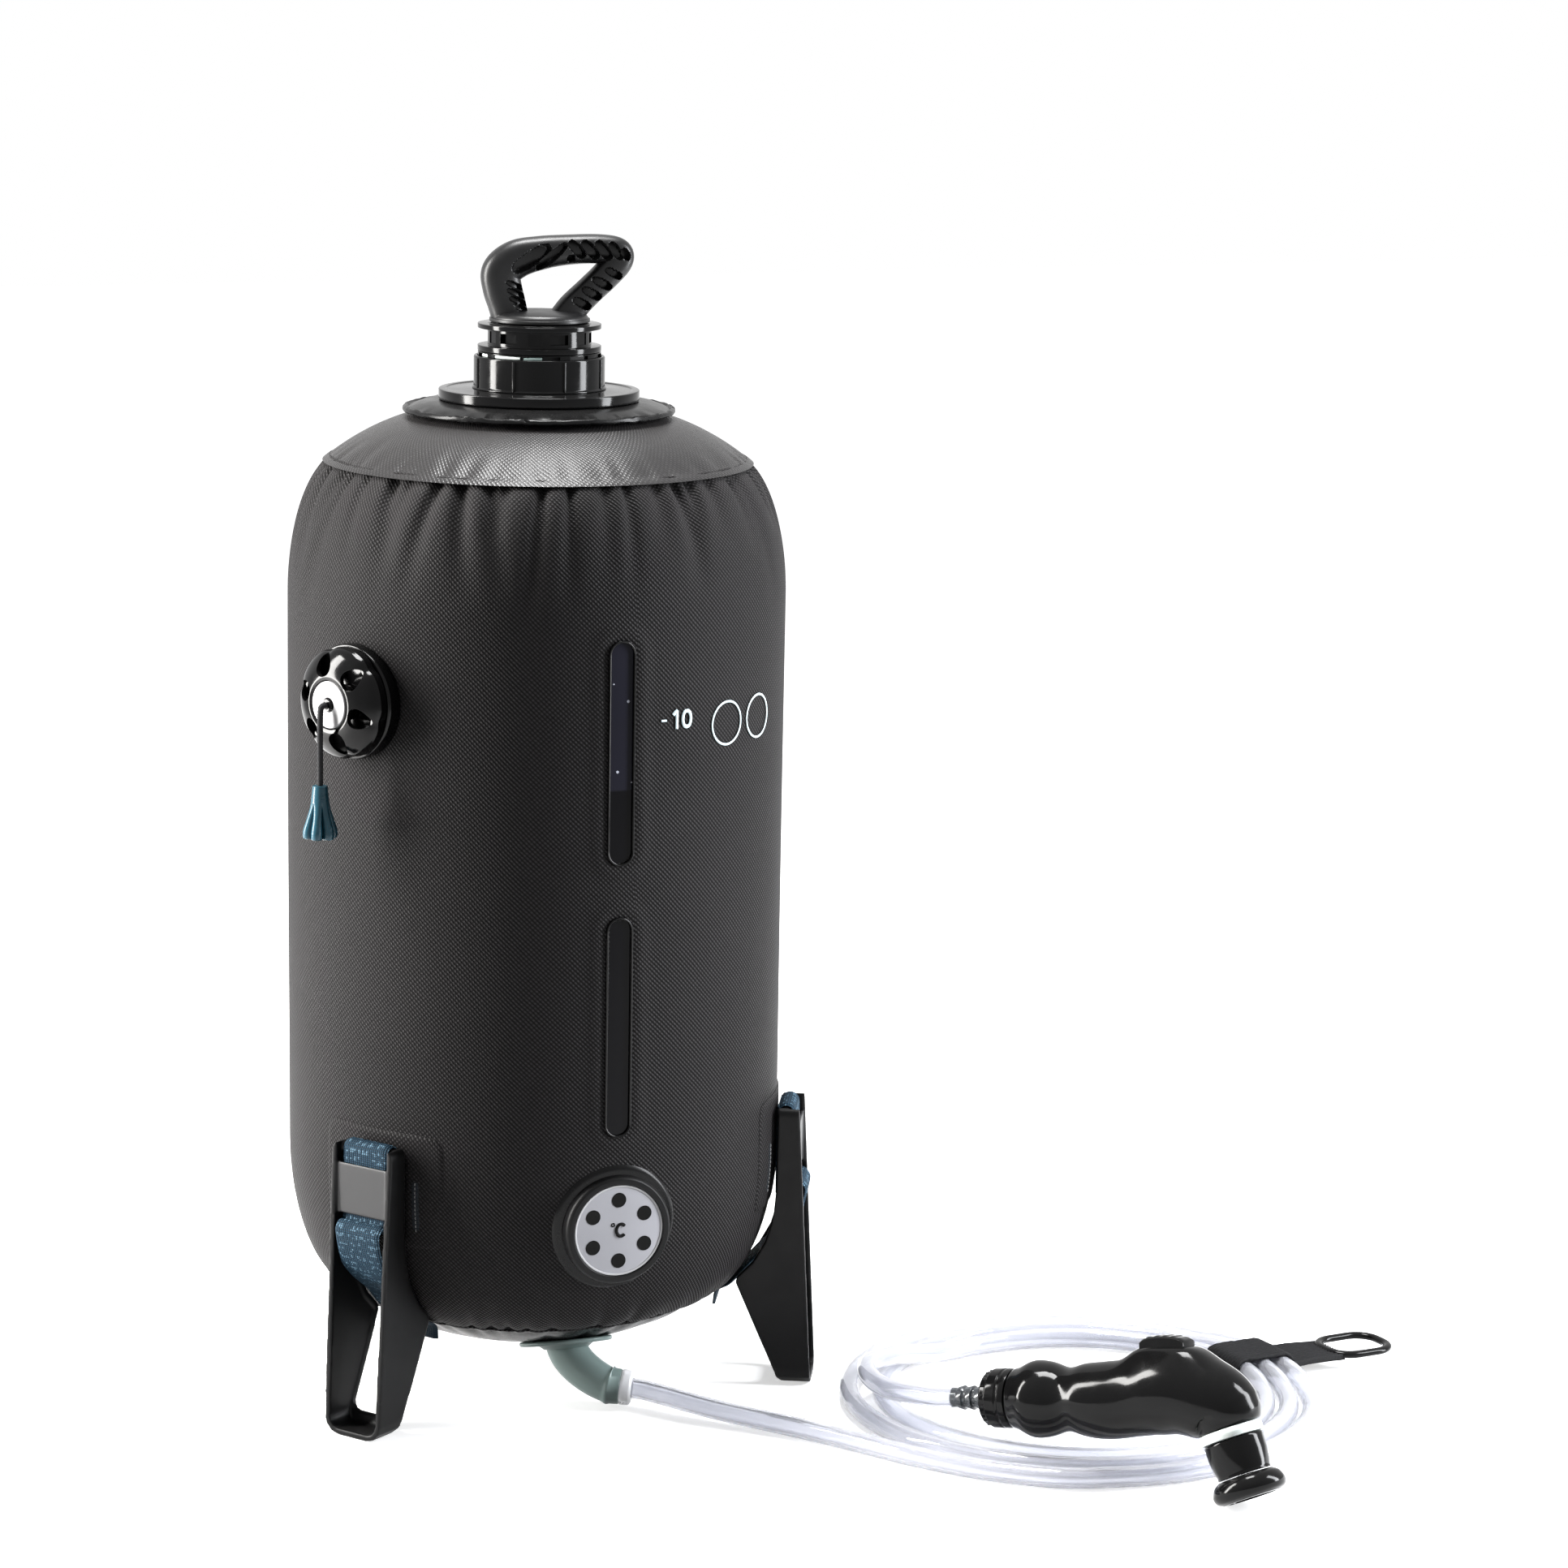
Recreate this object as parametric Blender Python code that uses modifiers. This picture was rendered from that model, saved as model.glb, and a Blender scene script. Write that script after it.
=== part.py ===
"""A pressurised camp shower: a round fabric water bag on three legs, pumped from the top.

Metres, +Z up. The bag's axis stands at SPOT, its front, with the level windows, faces -Y,
and an azimuth is counted from the front towards +X. Every piece is laid out about the bag's
axis and hangs from one empty at SPOT, or from an empty on the axis of the joint it moves on.
"""

import math

import bmesh
import bpy
from mathutils import Matrix, Vector
from mathutils.geometry import interpolate_bezier

# The place of the bag's axis on the floor
SPOT = Vector((-0.0455, 0.0913, 0.0))

# Shared clearances and counts
GAP = 0.0003
RUNNING_GAP = 0.0005
OVERRUN = 0.002
MERGE = 0.00002
SHARP_ANGLE = math.radians(38)
BAG_STEPS = 36
ROUND_STEPS = 24
SMALL_STEPS = 16
WALL_BENDS = 5

# Fabric bag
BAG_RADIUS = 0.1105
FABRIC = 0.0011
SHOULDER_START = 0.3602
TOP_SEAM_RADIUS = 0.0920
TOP_SEAM_HEIGHT = 0.4196
SHOULDER_TURN = math.radians(75)
BASE_CURVE_START = 0.1110
BASE_SEAM_RADIUS = 0.0800
BASE_SEAM_HEIGHT = 0.0427
DOME_RISE = 0.0235
BASE_SAG = 0.0215
LINER = 0.0006
LINER_GAP = 0.0010

# Filler neck and the welded ring around it
WELD_RADIUS = 0.0601
WELD_RISE = 0.0223
WELD_HEIGHT = TOP_SEAM_HEIGHT + WELD_RISE
WELD_THICKNESS = 0.0012
WELD_BEAD = 0.0008
FLANGE_RADIUS = 0.0444
FLANGE_RISE = 0.0306
FLANGE_TOP = TOP_SEAM_HEIGHT + FLANGE_RISE
FLANGE_THICKNESS = 0.0045
NECK_BORE = 0.0235
NECK_WALL = 0.0027
NECK_RISE = 0.0406
NECK_TOP = TOP_SEAM_HEIGHT + NECK_RISE
NECK_TAIL = 0.0070
GASKET_THICKNESS = 0.0010

# Screw collar
COLLAR_RADIUS = 0.0290
COLLAR_RIB = 0.0007
COLLAR_RIBS = 8
COLLAR_HEIGHT = 0.0128
COLLAR_LIP = 0.0015

# Pump unit
PUMP_SEAT_RADIUS = 0.0278
PUMP_SEAT_THICKNESS = 0.0015
CAGE_RADIUS = 0.0272
CAGE_WALL = 0.0011
CAGE_WINDOWS = 10
CAGE_WINDOW_SHARE = 0.66
CAGE_HEIGHT = 0.0040
SEAL_WALL = 0.0015
DISC_RADIUS = 0.0273
DISC_THICKNESS = 0.0024
WAIST_RADIUS = 0.0229
WAIST_HEIGHT = 0.0074
WAIST_WALL = 0.0022
WAIST_WINDOWS = 6
WAIST_WINDOW_WIDTH = 0.0085
BARREL_RADIUS = 0.0205
BARREL_WALL = 0.0015
BARREL_LENGTH = 0.176
PLUG_LENGTH = 0.0140
FOOT_THICKNESS = 0.0060
FOOT_HOLES = 5
FOOT_HOLE_RADIUS = 0.0016
FOOT_HOLE_RING = 0.0075
FLAP_RADIUS = 0.0120
FLAP_THICKNESS = 0.0015
FLAP_STEM_RADIUS = 0.0020
FLAP_TRAVEL = 0.0015

# Plunger
ROD_RADIUS = 0.0045
PISTON_HEIGHT = 0.0120
PISTON_GAP = 0.0006
PISTON_REST = 0.0060
GROOVE_DEPTH = 0.0022
GROOVE_HEIGHT = 0.0030
HANDLE_BASE_RADIUS = 0.0216
HANDLE_BASE_HEIGHT = 0.0058
HANDLE_BAR_RADIUS = 0.0068
HANDLE_HEADING = math.radians(-12)
HANDLE_REACH_LEFT = 0.0180
HANDLE_REACH_RIGHT = 0.0335
HANDLE_RISE = 0.0265
HANDLE_FOOT_SPREAD = 0.0125

# Level windows and thermometer
WINDOW_AZIMUTH = math.radians(-3.5)
WINDOW_WIDTH = 0.0120
WINDOW_LENGTH = 0.0977
WINDOW_DEPTH = 0.0014
WINDOW_LIP = 0.0013
UPPER_WINDOW_CENTRE = 0.3057
LOWER_WINDOW_CENTRE = 0.1857
THERMOMETER_HEIGHT = 0.0960
PATCH_RADIUS = 0.0285
PATCH_THICKNESS = 0.0010
BEZEL_RADIUS = 0.0227
BEZEL_DEPTH = 0.0042
BEZEL_LIP = 0.0030
DIAL_RADIUS = 0.0197
DIAL_RECESS = 0.0008
DIAL_THICKNESS = 0.0014

# Vent valve
VALVE_AZIMUTH = math.radians(-67)
VALVE_HEIGHT = 0.3232
BOSS_RADIUS = 0.0246
BOSS_REACH = 0.0045
BOSS_BORE = 0.0050
SEAT_HEIGHT = 0.0012
VALVE_CAP_RADIUS = 0.0242
VALVE_CAP_SIDE = 0.0050
VALVE_CAP_DEPTH = 0.0118
VALVE_CAP_WALL = 0.0018
VALVE_FACE_RADIUS = 0.0125
VENT_HOLES = 6
VENT_HOLE_RING = 0.0163
VENT_HOLE_LENGTH = 0.0080
VENT_HOLE_WIDTH = 0.0060
INSERT_RADIUS = 0.0102
INSERT_THICKNESS = 0.0016
STEM_RADIUS = 0.0026
STEM_PROUD = 0.0012
STEM_DISC_RADIUS = 0.0080
STEM_DISC_THICKNESS = 0.0018
SPRING_RADIUS = 0.0042
SPRING_WIRE = 0.0008
STEM_TRAVEL = 0.0040
PULL_CORD_RADIUS = 0.0014
PULL_CORD_REACH = 0.0032
TOGGLE_DROP = 0.0345
TOGGLE_LENGTH = 0.0228
TOGGLE_TOP_RADIUS = 0.0035
TOGGLE_BASE_RADIUS = 0.0076
TOGGLE_FLUTES = 6
TOGGLE_FLUTE_RADIUS = 0.0018

# Legs and their webbing
LEG_COUNT = 3
FIRST_LEG_AZIMUTH = math.radians(-60)
LEG_HEIGHT = 0.1300
LEG_WIDTH = 0.0334
LEG_WALL = 0.0026
LEG_TOP_DEPTH = 0.0100
LEG_FOOT_DEPTH = 0.0165
LEG_SPLAY = 0.0069
LEG_BAG_GAP = 0.0020
LEG_CURVE_START = 0.0925
SADDLE_GAP = 0.0021
SADDLE_END_TURN = math.radians(62)
SADDLE_CORNER_DROP = 0.0025
SLOT_WIDTH = 0.0270
SLOT_BOTTOM = 0.0070
LEG_NARROWING = 0.0012
FOOT_ROUNDING = 0.0075
HEEL_ROUNDING = 0.0060
TOP_ROUNDING = 0.0030
BAR_RADIUS = 0.0025
BAR_DROP = 0.0027
PLATE_DROP = 0.0086
PLATE_LENGTH = 0.0228
PLATE_TOP = LEG_HEIGHT - PLATE_DROP
PLATE_BOTTOM = PLATE_TOP - PLATE_LENGTH
PLATE_THICKNESS = 0.0012
PLATE_RECESS = 0.0004
WEBBING_WIDTH = 0.0248
WEBBING_THICKNESS = 0.0014
WEBBING_BEND_GAP = 0.0003
WEBBING_BAG_GAP = 0.0013
WEBBING_TAIL_REACH = 0.0045
WEBBING_TAIL_DROP = 0.0065
# The webbing's loop under the plate: outwards as shares of the way in to the seam, down as shares of the way down to it
SLING_SHARES = (
    (0.012, 0.055),
    (0.066, 0.105),
    (0.066, 0.160),
    (0.031, 0.277),
    (-0.031, 0.400),
    (-0.150, 0.515),
    (-0.290, 0.603),
    (-0.430, 0.690),
)
ANCHOR_WIDTH = 0.0660
ANCHOR_HEIGHT = 0.0515
ANCHOR_THICKNESS = 0.0006
ANCHOR_DROP = 0.0200
ANCHOR_CENTRE = LEG_HEIGHT - ANCHOR_DROP

# Outlet
OUTLET_AZIMUTH = math.radians(-5)
OUTLET_REACH = 0.0500
OUTLET_TILT = math.radians(17)
OUTLET_FLANGE_RADIUS = 0.0210
OUTLET_FLANGE_THICKNESS = 0.0012
OUTLET_BORE = 0.0060
OUTLET_NECK_RADIUS = 0.0092
OUTLET_MOUTH_RADIUS = 0.0078
OUTLET_HEADING = math.radians(-31)
OUTLET_DIP = math.radians(5)
OUTLET_END = Vector((0.0135, -0.0703, 0.0092))
BACKNUT_RADIUS = 0.0150
BACKNUT_HEIGHT = 0.0050
HOSE_COLLAR_RADIUS = 0.0081
HOSE_COLLAR_LENGTH = 0.0050

# Hose: outside diameter, coil and the points of its free stretches, about the bag's axis
HOSE_RADIUS = 0.0045
HOSE_FLOOR_GAP = 0.0001
HOSE_SPACING = 0.0200
COIL_CENTRE = Vector((0.2024, -0.1453, 0.0))
COIL_RADIUS = 0.1107
COIL_PITCH = 0.0125
COIL_GATHER = 0.2
COIL_TURNS = 2.55
COIL_POINTS_A_TURN = 24
COIL_START = math.radians(-110)
TIE_ANGLE = math.radians(2.5)
TIE_LIFT = 0.0021
TIE_LIFT_SPREAD = math.radians(26)
LEAD_ROUTE = (
    (0.0434, -0.1062, 0.0060),
    (0.0666, -0.1364, 0.0046),
    (0.0839, -0.1651, 0.0046),
    (0.0987, -0.1923, 0.0046),
    (0.1185, -0.2194, 0.0046),
    (0.1412, -0.2397, 0.0046),
)
TAIL_ROUTE = (
    (0.1692, -0.0742, 0.0065),
    (0.1394, -0.0929, 0.0150),
    (0.1197, -0.1053, 0.0165),
    (0.1094, -0.1421, 0.0190),
)
TIE_WIDTH = 0.0255
TIE_ROOM = 0.0008
TIE_THICKNESS = 0.0012
TIE_TONGUE = 0.0240
TIE_RING_LENGTH = 0.0340
TIE_RING_WIDTH = 0.0290
TIE_RING_WIRE = 0.0019

# Handset
HANDSET_INLET = Vector((0.1266, -0.1763, 0.0225))
HANDSET_HEADING = math.radians(-54.8)
HANDSET_PITCH = math.radians(9.3)
HANDSET_ROLL = math.radians(11.1)
BARB_LENGTH = 0.0170
BARB_RADIUS = 0.0052
BARB_RIDGES = 3
INLET_COLLAR_LENGTH = 0.0130
INLET_COLLAR_RADIUS = 0.0130
GRIP_BULB_RADIUS = 0.0168
GRIP_WAIST_RADIUS = 0.0140
GRIP_RADIUS = 0.0168
HEAD_REACH = 0.1276
HEAD_ANGLE = math.radians(71.4)
HEAD_SHOULDER_RADIUS = 0.0180
HEAD_RADIUS = 0.0133
HEAD_JOINT = 0.0115
WATERWAY_RADIUS = 0.0035
BAND_WIDTH = 0.0032
SLEEVE_RADIUS = 0.0130
SLEEVE_LENGTH = 0.0165
KNOB_RADIUS = 0.0160
KNOB_LENGTH = 0.0100
SPRAY_PLATE_RADIUS = 0.0105
SPRAY_PLATE_THICKNESS = 0.0015
SPRAY_HOLES = 8
SPRAY_HOLE_RADIUS = 0.0007
BUTTON_REACH = 0.1034
BUTTON_LENGTH = 0.0205
BUTTON_WIDTH = 0.0120
BUTTON_TOP = 0.0280
BUTTON_DEPTH = 0.0140
BUTTON_TRAVEL = 0.0025
BUTTON_GAP = 0.0004
PIN_RADIUS = 0.0015
BUTTON_SPRING_RADIUS = 0.0030
BUTTON_SPRING_WALL = 0.0008


def start():
    """Empty the scene and make the collections and the empty that everything hangs from."""
    for obj in list(bpy.data.objects):
        bpy.data.objects.remove(obj)
    parts = bpy.data.collections.new("camp_shower_bag")
    cutters = bpy.data.collections.new("cutters")
    for group in (parts, cutters):
        bpy.context.scene.collection.children.link(group)
    cutters.hide_render = True
    base = bpy.data.objects.new("shower_base", None)
    base.location = SPOT
    parts.objects.link(base)
    return parts, cutters, base


PARTS, CUTTERS, BASE = start()


def finish(name, colour, roughness, metallic=0.0):
    """A plain Principled material."""
    material = bpy.data.materials.new(name)
    material.use_nodes = True
    shader = material.node_tree.nodes["Principled BSDF"]
    shader.inputs["Base Color"].default_value = (*colour, 1.0)
    shader.inputs["Roughness"].default_value = roughness
    shader.inputs["Metallic"].default_value = metallic
    return material


CLOTH = finish("charcoal_coated_cloth", (0.055, 0.052, 0.052), 0.6)
PANEL = finish("black_coated_panel", (0.02, 0.02, 0.022), 0.4)
FILM = finish("grey_liner_film", (0.25, 0.26, 0.27), 0.4)
BLACK = finish("black_gloss_plastic", (0.012, 0.012, 0.013), 0.15)
SATIN = finish("black_satin_plastic", (0.02, 0.02, 0.021), 0.4)
TEAL = finish("grey_teal_plastic", (0.18, 0.27, 0.27), 0.4)
PALE = finish("pale_plastic", (0.62, 0.65, 0.63), 0.4)
SILVER = finish("silver_dial", (0.6, 0.61, 0.62), 0.35, 0.8)
BLUE = finish("blue_plastic", (0.02, 0.12, 0.25), 0.4)
WEBBING = finish("blue_webbing", (0.02, 0.07, 0.13), 0.8)
RUBBER = finish("black_rubber", (0.02, 0.02, 0.02), 0.7)
STEEL = finish("spring_steel", (0.6, 0.6, 0.6), 0.3, 1.0)
CLEAR = finish("clear_hose", (0.75, 0.77, 0.82), 0.15)
PILE = finish("black_hook_and_loop", (0.012, 0.012, 0.012), 0.9)


def pivot(name, point):
    """An empty on a joint's axis, for the pieces that move on it."""
    empty = bpy.data.objects.new(name, None)
    empty.location = point
    empty.parent = BASE
    PARTS.objects.link(empty)
    return empty


def seat(obj, place, material=None, joint=None):
    """Hang an object from the base, or from its joint's empty, at a place about the bag's axis."""
    for group in list(obj.users_collection):
        group.objects.unlink(obj)
    PARTS.objects.link(obj)
    obj.parent = joint or BASE
    shift = Matrix.Translation(-joint.location) if joint else Matrix.Identity(4)
    obj.matrix_local = shift @ place
    if obj.type == "MESH" and obj.data.polygons:
        obj.data.shade_smooth()
        obj.data.set_sharp_from_angle(angle=SHARP_ANGLE)
    if material:
        obj.data.materials.clear()
        obj.data.materials.append(material)
    return obj


def cutter(obj):
    """Make an object a hidden tool."""
    for group in list(obj.users_collection):
        group.objects.unlink(obj)
    CUTTERS.objects.link(obj)
    obj.hide_render = True
    obj.display_type = "WIRE"
    return obj


def combine(target, tool, operation="DIFFERENCE"):
    """Cut, join or intersect a piece with a tool."""
    modifier = target.modifiers.new(operation.title(), "BOOLEAN")
    modifier.operation = operation
    modifier.object = cutter(tool)
    return target


def turned(name, outline, steps=ROUND_STEPS, closed=False):
    """A turned shape about local Z. The outline runs down its outer side."""
    mesh = bpy.data.meshes.new(name)
    edges = [(i, i + 1) for i in range(len(outline) - 1)]
    if closed:
        edges.append((len(outline) - 1, 0))
    mesh.from_pydata([(radius, 0, height) for radius, height in outline], edges, [])
    obj = bpy.data.objects.new(name, mesh)
    screw = obj.modifiers.new("Turn", "SCREW")
    screw.steps = steps
    screw.render_steps = steps
    screw.use_merge_vertices = True
    screw.merge_threshold = MERGE
    return obj


def drum(name, radius, low, high, steps=ROUND_STEPS):
    """A solid disc or rod about local Z."""
    return turned(name, [(0, high), (radius, high), (radius, low), (0, low)], steps)


def ring(name, inner, outer, low, high, steps=ROUND_STEPS):
    """A plain ring about local Z."""
    outline = [(inner, high), (outer, high), (outer, low), (inner, low)]
    return turned(name, outline, steps, closed=True)


def block(name, size, centre=(0, 0, 0), turn=Matrix.Identity(4)):
    """A box with its size in its mesh."""
    mesh = bpy.data.meshes.new(name)
    shape = bmesh.new()
    bmesh.ops.create_cube(shape, size=1)
    bmesh.ops.scale(shape, vec=Vector(size), verts=shape.verts)
    bmesh.ops.transform(shape, matrix=Matrix.Translation(centre) @ turn, verts=shape.verts)
    shape.to_mesh(mesh)
    shape.free()
    return bpy.data.objects.new(name, mesh)


def soften(obj, width, segments=1):
    """Round the sharp edges."""
    bevel = obj.modifiers.new("Round", "BEVEL")
    bevel.width = width
    bevel.segments = segments
    bevel.limit_method = "ANGLE"
    bevel.angle_limit = math.radians(40)
    return obj


def thicken(obj, thickness, offset=-1):
    """Give an open surface its thickness."""
    solid = obj.modifiers.new("Thickness", "SOLIDIFY")
    solid.thickness = thickness
    solid.offset = offset
    solid.use_even_offset = True
    return obj


def plate(name, outlines, thickness):
    """A flat piece from closed outlines in local XY, a hole being an outline inside the first."""
    curve = bpy.data.curves.new(name, "CURVE")
    curve.dimensions = "2D"
    curve.fill_mode = "BOTH"
    curve.extrude = thickness / 2
    for outline in outlines:
        spline = curve.splines.new("POLY")
        spline.points.add(len(outline) - 1)
        spline.use_cyclic_u = True
        for point, (x, y) in zip(spline.points, outline):
            point.co = (x, y, 0, 1)
    return bpy.data.objects.new(name, curve)


def tube(name, points, radius, sides=2, widths=None, closed=False):
    """A round bar or cord along points. Widths are shares of the radius."""
    curve = bpy.data.curves.new(name, "CURVE")
    curve.dimensions = "3D"
    curve.bevel_depth = radius
    curve.bevel_resolution = sides
    curve.use_fill_caps = True
    spline = curve.splines.new("POLY")
    spline.points.add(len(points) - 1)
    spline.use_cyclic_u = closed
    for i, (point, place) in enumerate(zip(spline.points, points)):
        point.co = (*place, 1)
        point.radius = widths[i] if widths else 1.0
    return bpy.data.objects.new(name, curve)


def as_mesh(obj):
    """The same piece as a closed mesh, so that it can be cut or joined."""
    PARTS.objects.link(obj)
    bpy.context.view_layer.update()
    graph = bpy.context.evaluated_depsgraph_get()
    mesh = bpy.data.meshes.new_from_object(obj.evaluated_get(graph))
    shape = bmesh.new()
    shape.from_mesh(mesh)
    bmesh.ops.remove_doubles(shape, verts=shape.verts, dist=MERGE)
    bmesh.ops.recalc_face_normals(shape, faces=shape.faces)
    shape.to_mesh(mesh)
    shape.free()
    name = obj.name
    solid = bpy.data.objects.new(name + "_mesh", mesh)
    solid.matrix_world = obj.matrix_world
    bpy.data.objects.remove(obj)
    solid.name = name
    return solid


def joined(name, pieces):
    """One mesh from several separate solids, each at its own local place."""
    shape = bmesh.new()
    for piece, place in pieces:
        mesh = piece.data.copy()
        mesh.transform(place)
        shape.from_mesh(mesh)
        bpy.data.meshes.remove(mesh)
        bpy.data.objects.remove(piece)
    mesh = bpy.data.meshes.new(name)
    shape.to_mesh(mesh)
    shape.free()
    return bpy.data.objects.new(name, mesh)


def arc(centre, radius, first, last, count):
    """Points of an arc, ends included."""
    steps = [first + (last - first) * i / (count - 1) for i in range(count)]
    return [(centre[0] + radius * math.cos(a), centre[1] + radius * math.sin(a)) for a in steps]


def stadium(width, length, count=7):
    """A slot outline with round ends, long in Y."""
    radius = width / 2
    straight = length / 2 - radius
    top = arc((0, straight), radius, 0, math.pi, count)
    return top + arc((0, -straight), radius, math.pi, 2 * math.pi, count)


def smooth_path(route, spacing, ends=None):
    """Points at an even spacing along a smooth curve through the route, between straight ends."""
    route = [Vector(point) for point in route]
    before, after = ends or (route[0] * 2 - route[1], route[-1] * 2 - route[-2])
    line = [before, *route, after]
    fine = []
    for p0, p1, p2, p3 in zip(line, line[1:], line[2:], line[3:]):
        third = (p2 - p1).length / 3
        lean_in = (p2 - p0).normalized() * third
        lean_out = (p3 - p1).normalized() * third
        fine += interpolate_bezier(p1, p1 + lean_in, p2 - lean_out, p2, 24)[:-1]
    fine.append(route[-1])
    lengths = [0.0]
    for a, b in zip(fine, fine[1:]):
        lengths.append(lengths[-1] + (b - a).length)
    count = max(2, round(lengths[-1] / spacing))
    path = []
    index = 0
    for step in range(count + 1):
        target = lengths[-1] * step / count
        while index < len(fine) - 2 and lengths[index + 1] < target:
            index += 1
        span = lengths[index + 1] - lengths[index]
        path.append(fine[index].lerp(fine[index + 1], min(1.0, (target - lengths[index]) / span)))
    return [ends[0], *path, ends[1]] if ends else path


def rounded(width, low, high, low_radius, high_radius, narrowing=0, count=4):
    """A closed outline between two heights, with its corners rounded, wide in X and narrower at its foot."""
    half = width / 2
    right = arc((half - narrowing - low_radius, low + low_radius), low_radius, -math.pi / 2, 0, count)
    right += arc((half - high_radius, high - high_radius), high_radius, 0, math.pi / 2, count)
    return right + [(-x, y) for x, y in reversed(right)]


def around(azimuth, reach, height):
    """A point at an azimuth from the front."""
    return Vector((reach * math.sin(azimuth), -reach * math.cos(azimuth), height))


def facing_out(azimuth, reach, height):
    """Local Z faces out of the bag, Y is up and X runs along the wall."""
    side = Vector((math.cos(azimuth), math.sin(azimuth), 0))
    out = around(azimuth, 1, 0)
    turn = Matrix((side, Vector((0, 0, 1)), out)).transposed().to_4x4()
    return Matrix.Translation(around(azimuth, reach, height)) @ turn


def along(direction, origin):
    """Local Z runs along a direction."""
    turn = Vector(direction).to_track_quat("Z", "Y").to_matrix().to_4x4()
    return Matrix.Translation(origin) @ turn


HERE = Matrix.Identity(4)


# The bag's own outline, which everything on its wall follows


def shoulder_point(turn, offset=0):
    """A point on the shoulder, 0 at the straight wall, offset outwards."""
    width = BAG_RADIUS - TOP_SEAM_RADIUS
    rise = TOP_SEAM_HEIGHT - SHOULDER_START
    low = math.cos(SHOULDER_TURN)
    radius = TOP_SEAM_RADIUS + width * (math.cos(turn) - low) / (1 - low)
    height = SHOULDER_START + rise * math.sin(turn) / math.sin(SHOULDER_TURN)
    normal = Vector((rise * math.cos(turn) / math.sin(SHOULDER_TURN), width * math.sin(turn) / (1 - low)))
    normal = normal.normalized() * offset
    return radius + normal.x, height + normal.y


def base_point(turn, offset=0):
    """A point on the curve under the wall, 0 at the straight wall, offset outwards."""
    width = BAG_RADIUS - BASE_SEAM_RADIUS
    drop = BASE_CURVE_START - BASE_SEAM_HEIGHT
    normal = Vector((math.cos(turn) / width, -math.sin(turn) / drop)).normalized()
    radius = BASE_SEAM_RADIUS + width * math.cos(turn)
    height = BASE_CURVE_START - drop * math.sin(turn)
    return radius + normal.x * offset, height + normal.y * offset


def wall_outline(offset=0, bends=WALL_BENDS):
    """The side panel's outline from the top seam down to the base seam."""
    top = [shoulder_point(SHOULDER_TURN * (1 - i / bends), offset) for i in range(bends)]
    base = [base_point(math.pi / 2 * i / bends, offset) for i in range(bends + 1)]
    return top + [(BAG_RADIUS + offset, SHOULDER_START)] + base


def dome_height(radius):
    """Height of the top panel's outer face at a radius."""
    share = 1 - (radius / TOP_SEAM_RADIUS) ** 3
    return TOP_SEAM_HEIGHT + FABRIC + GAP + DOME_RISE * share


def base_height(radius):
    """Height of the bottom panel's outer face at a radius."""
    share = 1 - (radius / BASE_SEAM_RADIUS) ** 2
    return BASE_SEAM_HEIGHT - FABRIC - GAP - BASE_SAG * share ** 0.8


def fabric_bag():
    """Side, top and bottom panels and the liner inside them."""
    side = thicken(turned("side_panel", wall_outline(), BAG_STEPS), FABRIC)
    seat(side, HERE, CLOTH)

    bore = NECK_BORE + NECK_WALL + GAP
    radii = [bore + (TOP_SEAM_RADIUS - bore) * i / 3 for i in range(4)]
    top = turned("top_panel", [(r, dome_height(r)) for r in radii], BAG_STEPS)
    seat(thicken(top, FABRIC), HERE, CLOTH)

    radii = [BASE_SEAM_RADIUS * (1 - i / 4) for i in range(5)]
    bottom = turned("bottom_panel", [(r, base_height(r)) for r in radii], BAG_STEPS)
    seat(thicken(bottom, FABRIC), HERE, PANEL)

    inset = -(FABRIC + LINER_GAP)
    low = [(r, base_height(r) + FABRIC + LINER_GAP) for r in (radii[1], radii[3], 0)]
    high = [(r, dome_height(r) - FABRIC - LINER_GAP) for r in (bore + LINER_GAP, (bore + TOP_SEAM_RADIUS) / 2)]
    wall = wall_outline(inset, 2)
    liner = turned("water_liner", high + wall + low, SMALL_STEPS)
    seat(thicken(liner, LINER), HERE, FILM)
    return side, bottom, liner


# Top of the bag: welded ring, filler neck and collar


def filler_neck():
    """The welded ring, the flanged neck and its gasket."""
    low = WELD_HEIGHT - WELD_THICKNESS
    under = FLANGE_TOP - FLANGE_THICKNESS - GAP
    inner = NECK_BORE + NECK_WALL + GAP
    outline = [
        (inner, under),
        (FLANGE_RADIUS, under),
        (WELD_RADIUS - 2 * WELD_BEAD, WELD_HEIGHT),
        (WELD_RADIUS - WELD_BEAD, WELD_HEIGHT + WELD_BEAD),
        (WELD_RADIUS, WELD_HEIGHT),
        (WELD_RADIUS, low),
        (FLANGE_RADIUS, max(low, dome_height(FLANGE_RADIUS) + GAP)),
        (inner, dome_height(inner) + GAP),
    ]
    seat(turned("welded_ring", outline, BAG_STEPS, closed=True), HERE, PANEL)

    neck = NECK_BORE + NECK_WALL
    flange_low = FLANGE_TOP - FLANGE_THICKNESS
    outline = [
        (NECK_BORE, NECK_TOP),
        (neck, NECK_TOP),
        (neck, FLANGE_TOP),
        (FLANGE_RADIUS, FLANGE_TOP),
        (FLANGE_RADIUS, flange_low),
        (neck, flange_low),
        (neck, flange_low - NECK_TAIL),
        (NECK_BORE, flange_low - NECK_TAIL),
    ]
    seat(turned("filler_neck", outline, BAG_STEPS, closed=True), HERE, BLACK)

    low = NECK_TOP + GAP
    gasket = ring("neck_gasket", NECK_BORE, neck, low, low + GASKET_THICKNESS)
    seat(gasket, HERE, RUBBER)


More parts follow.
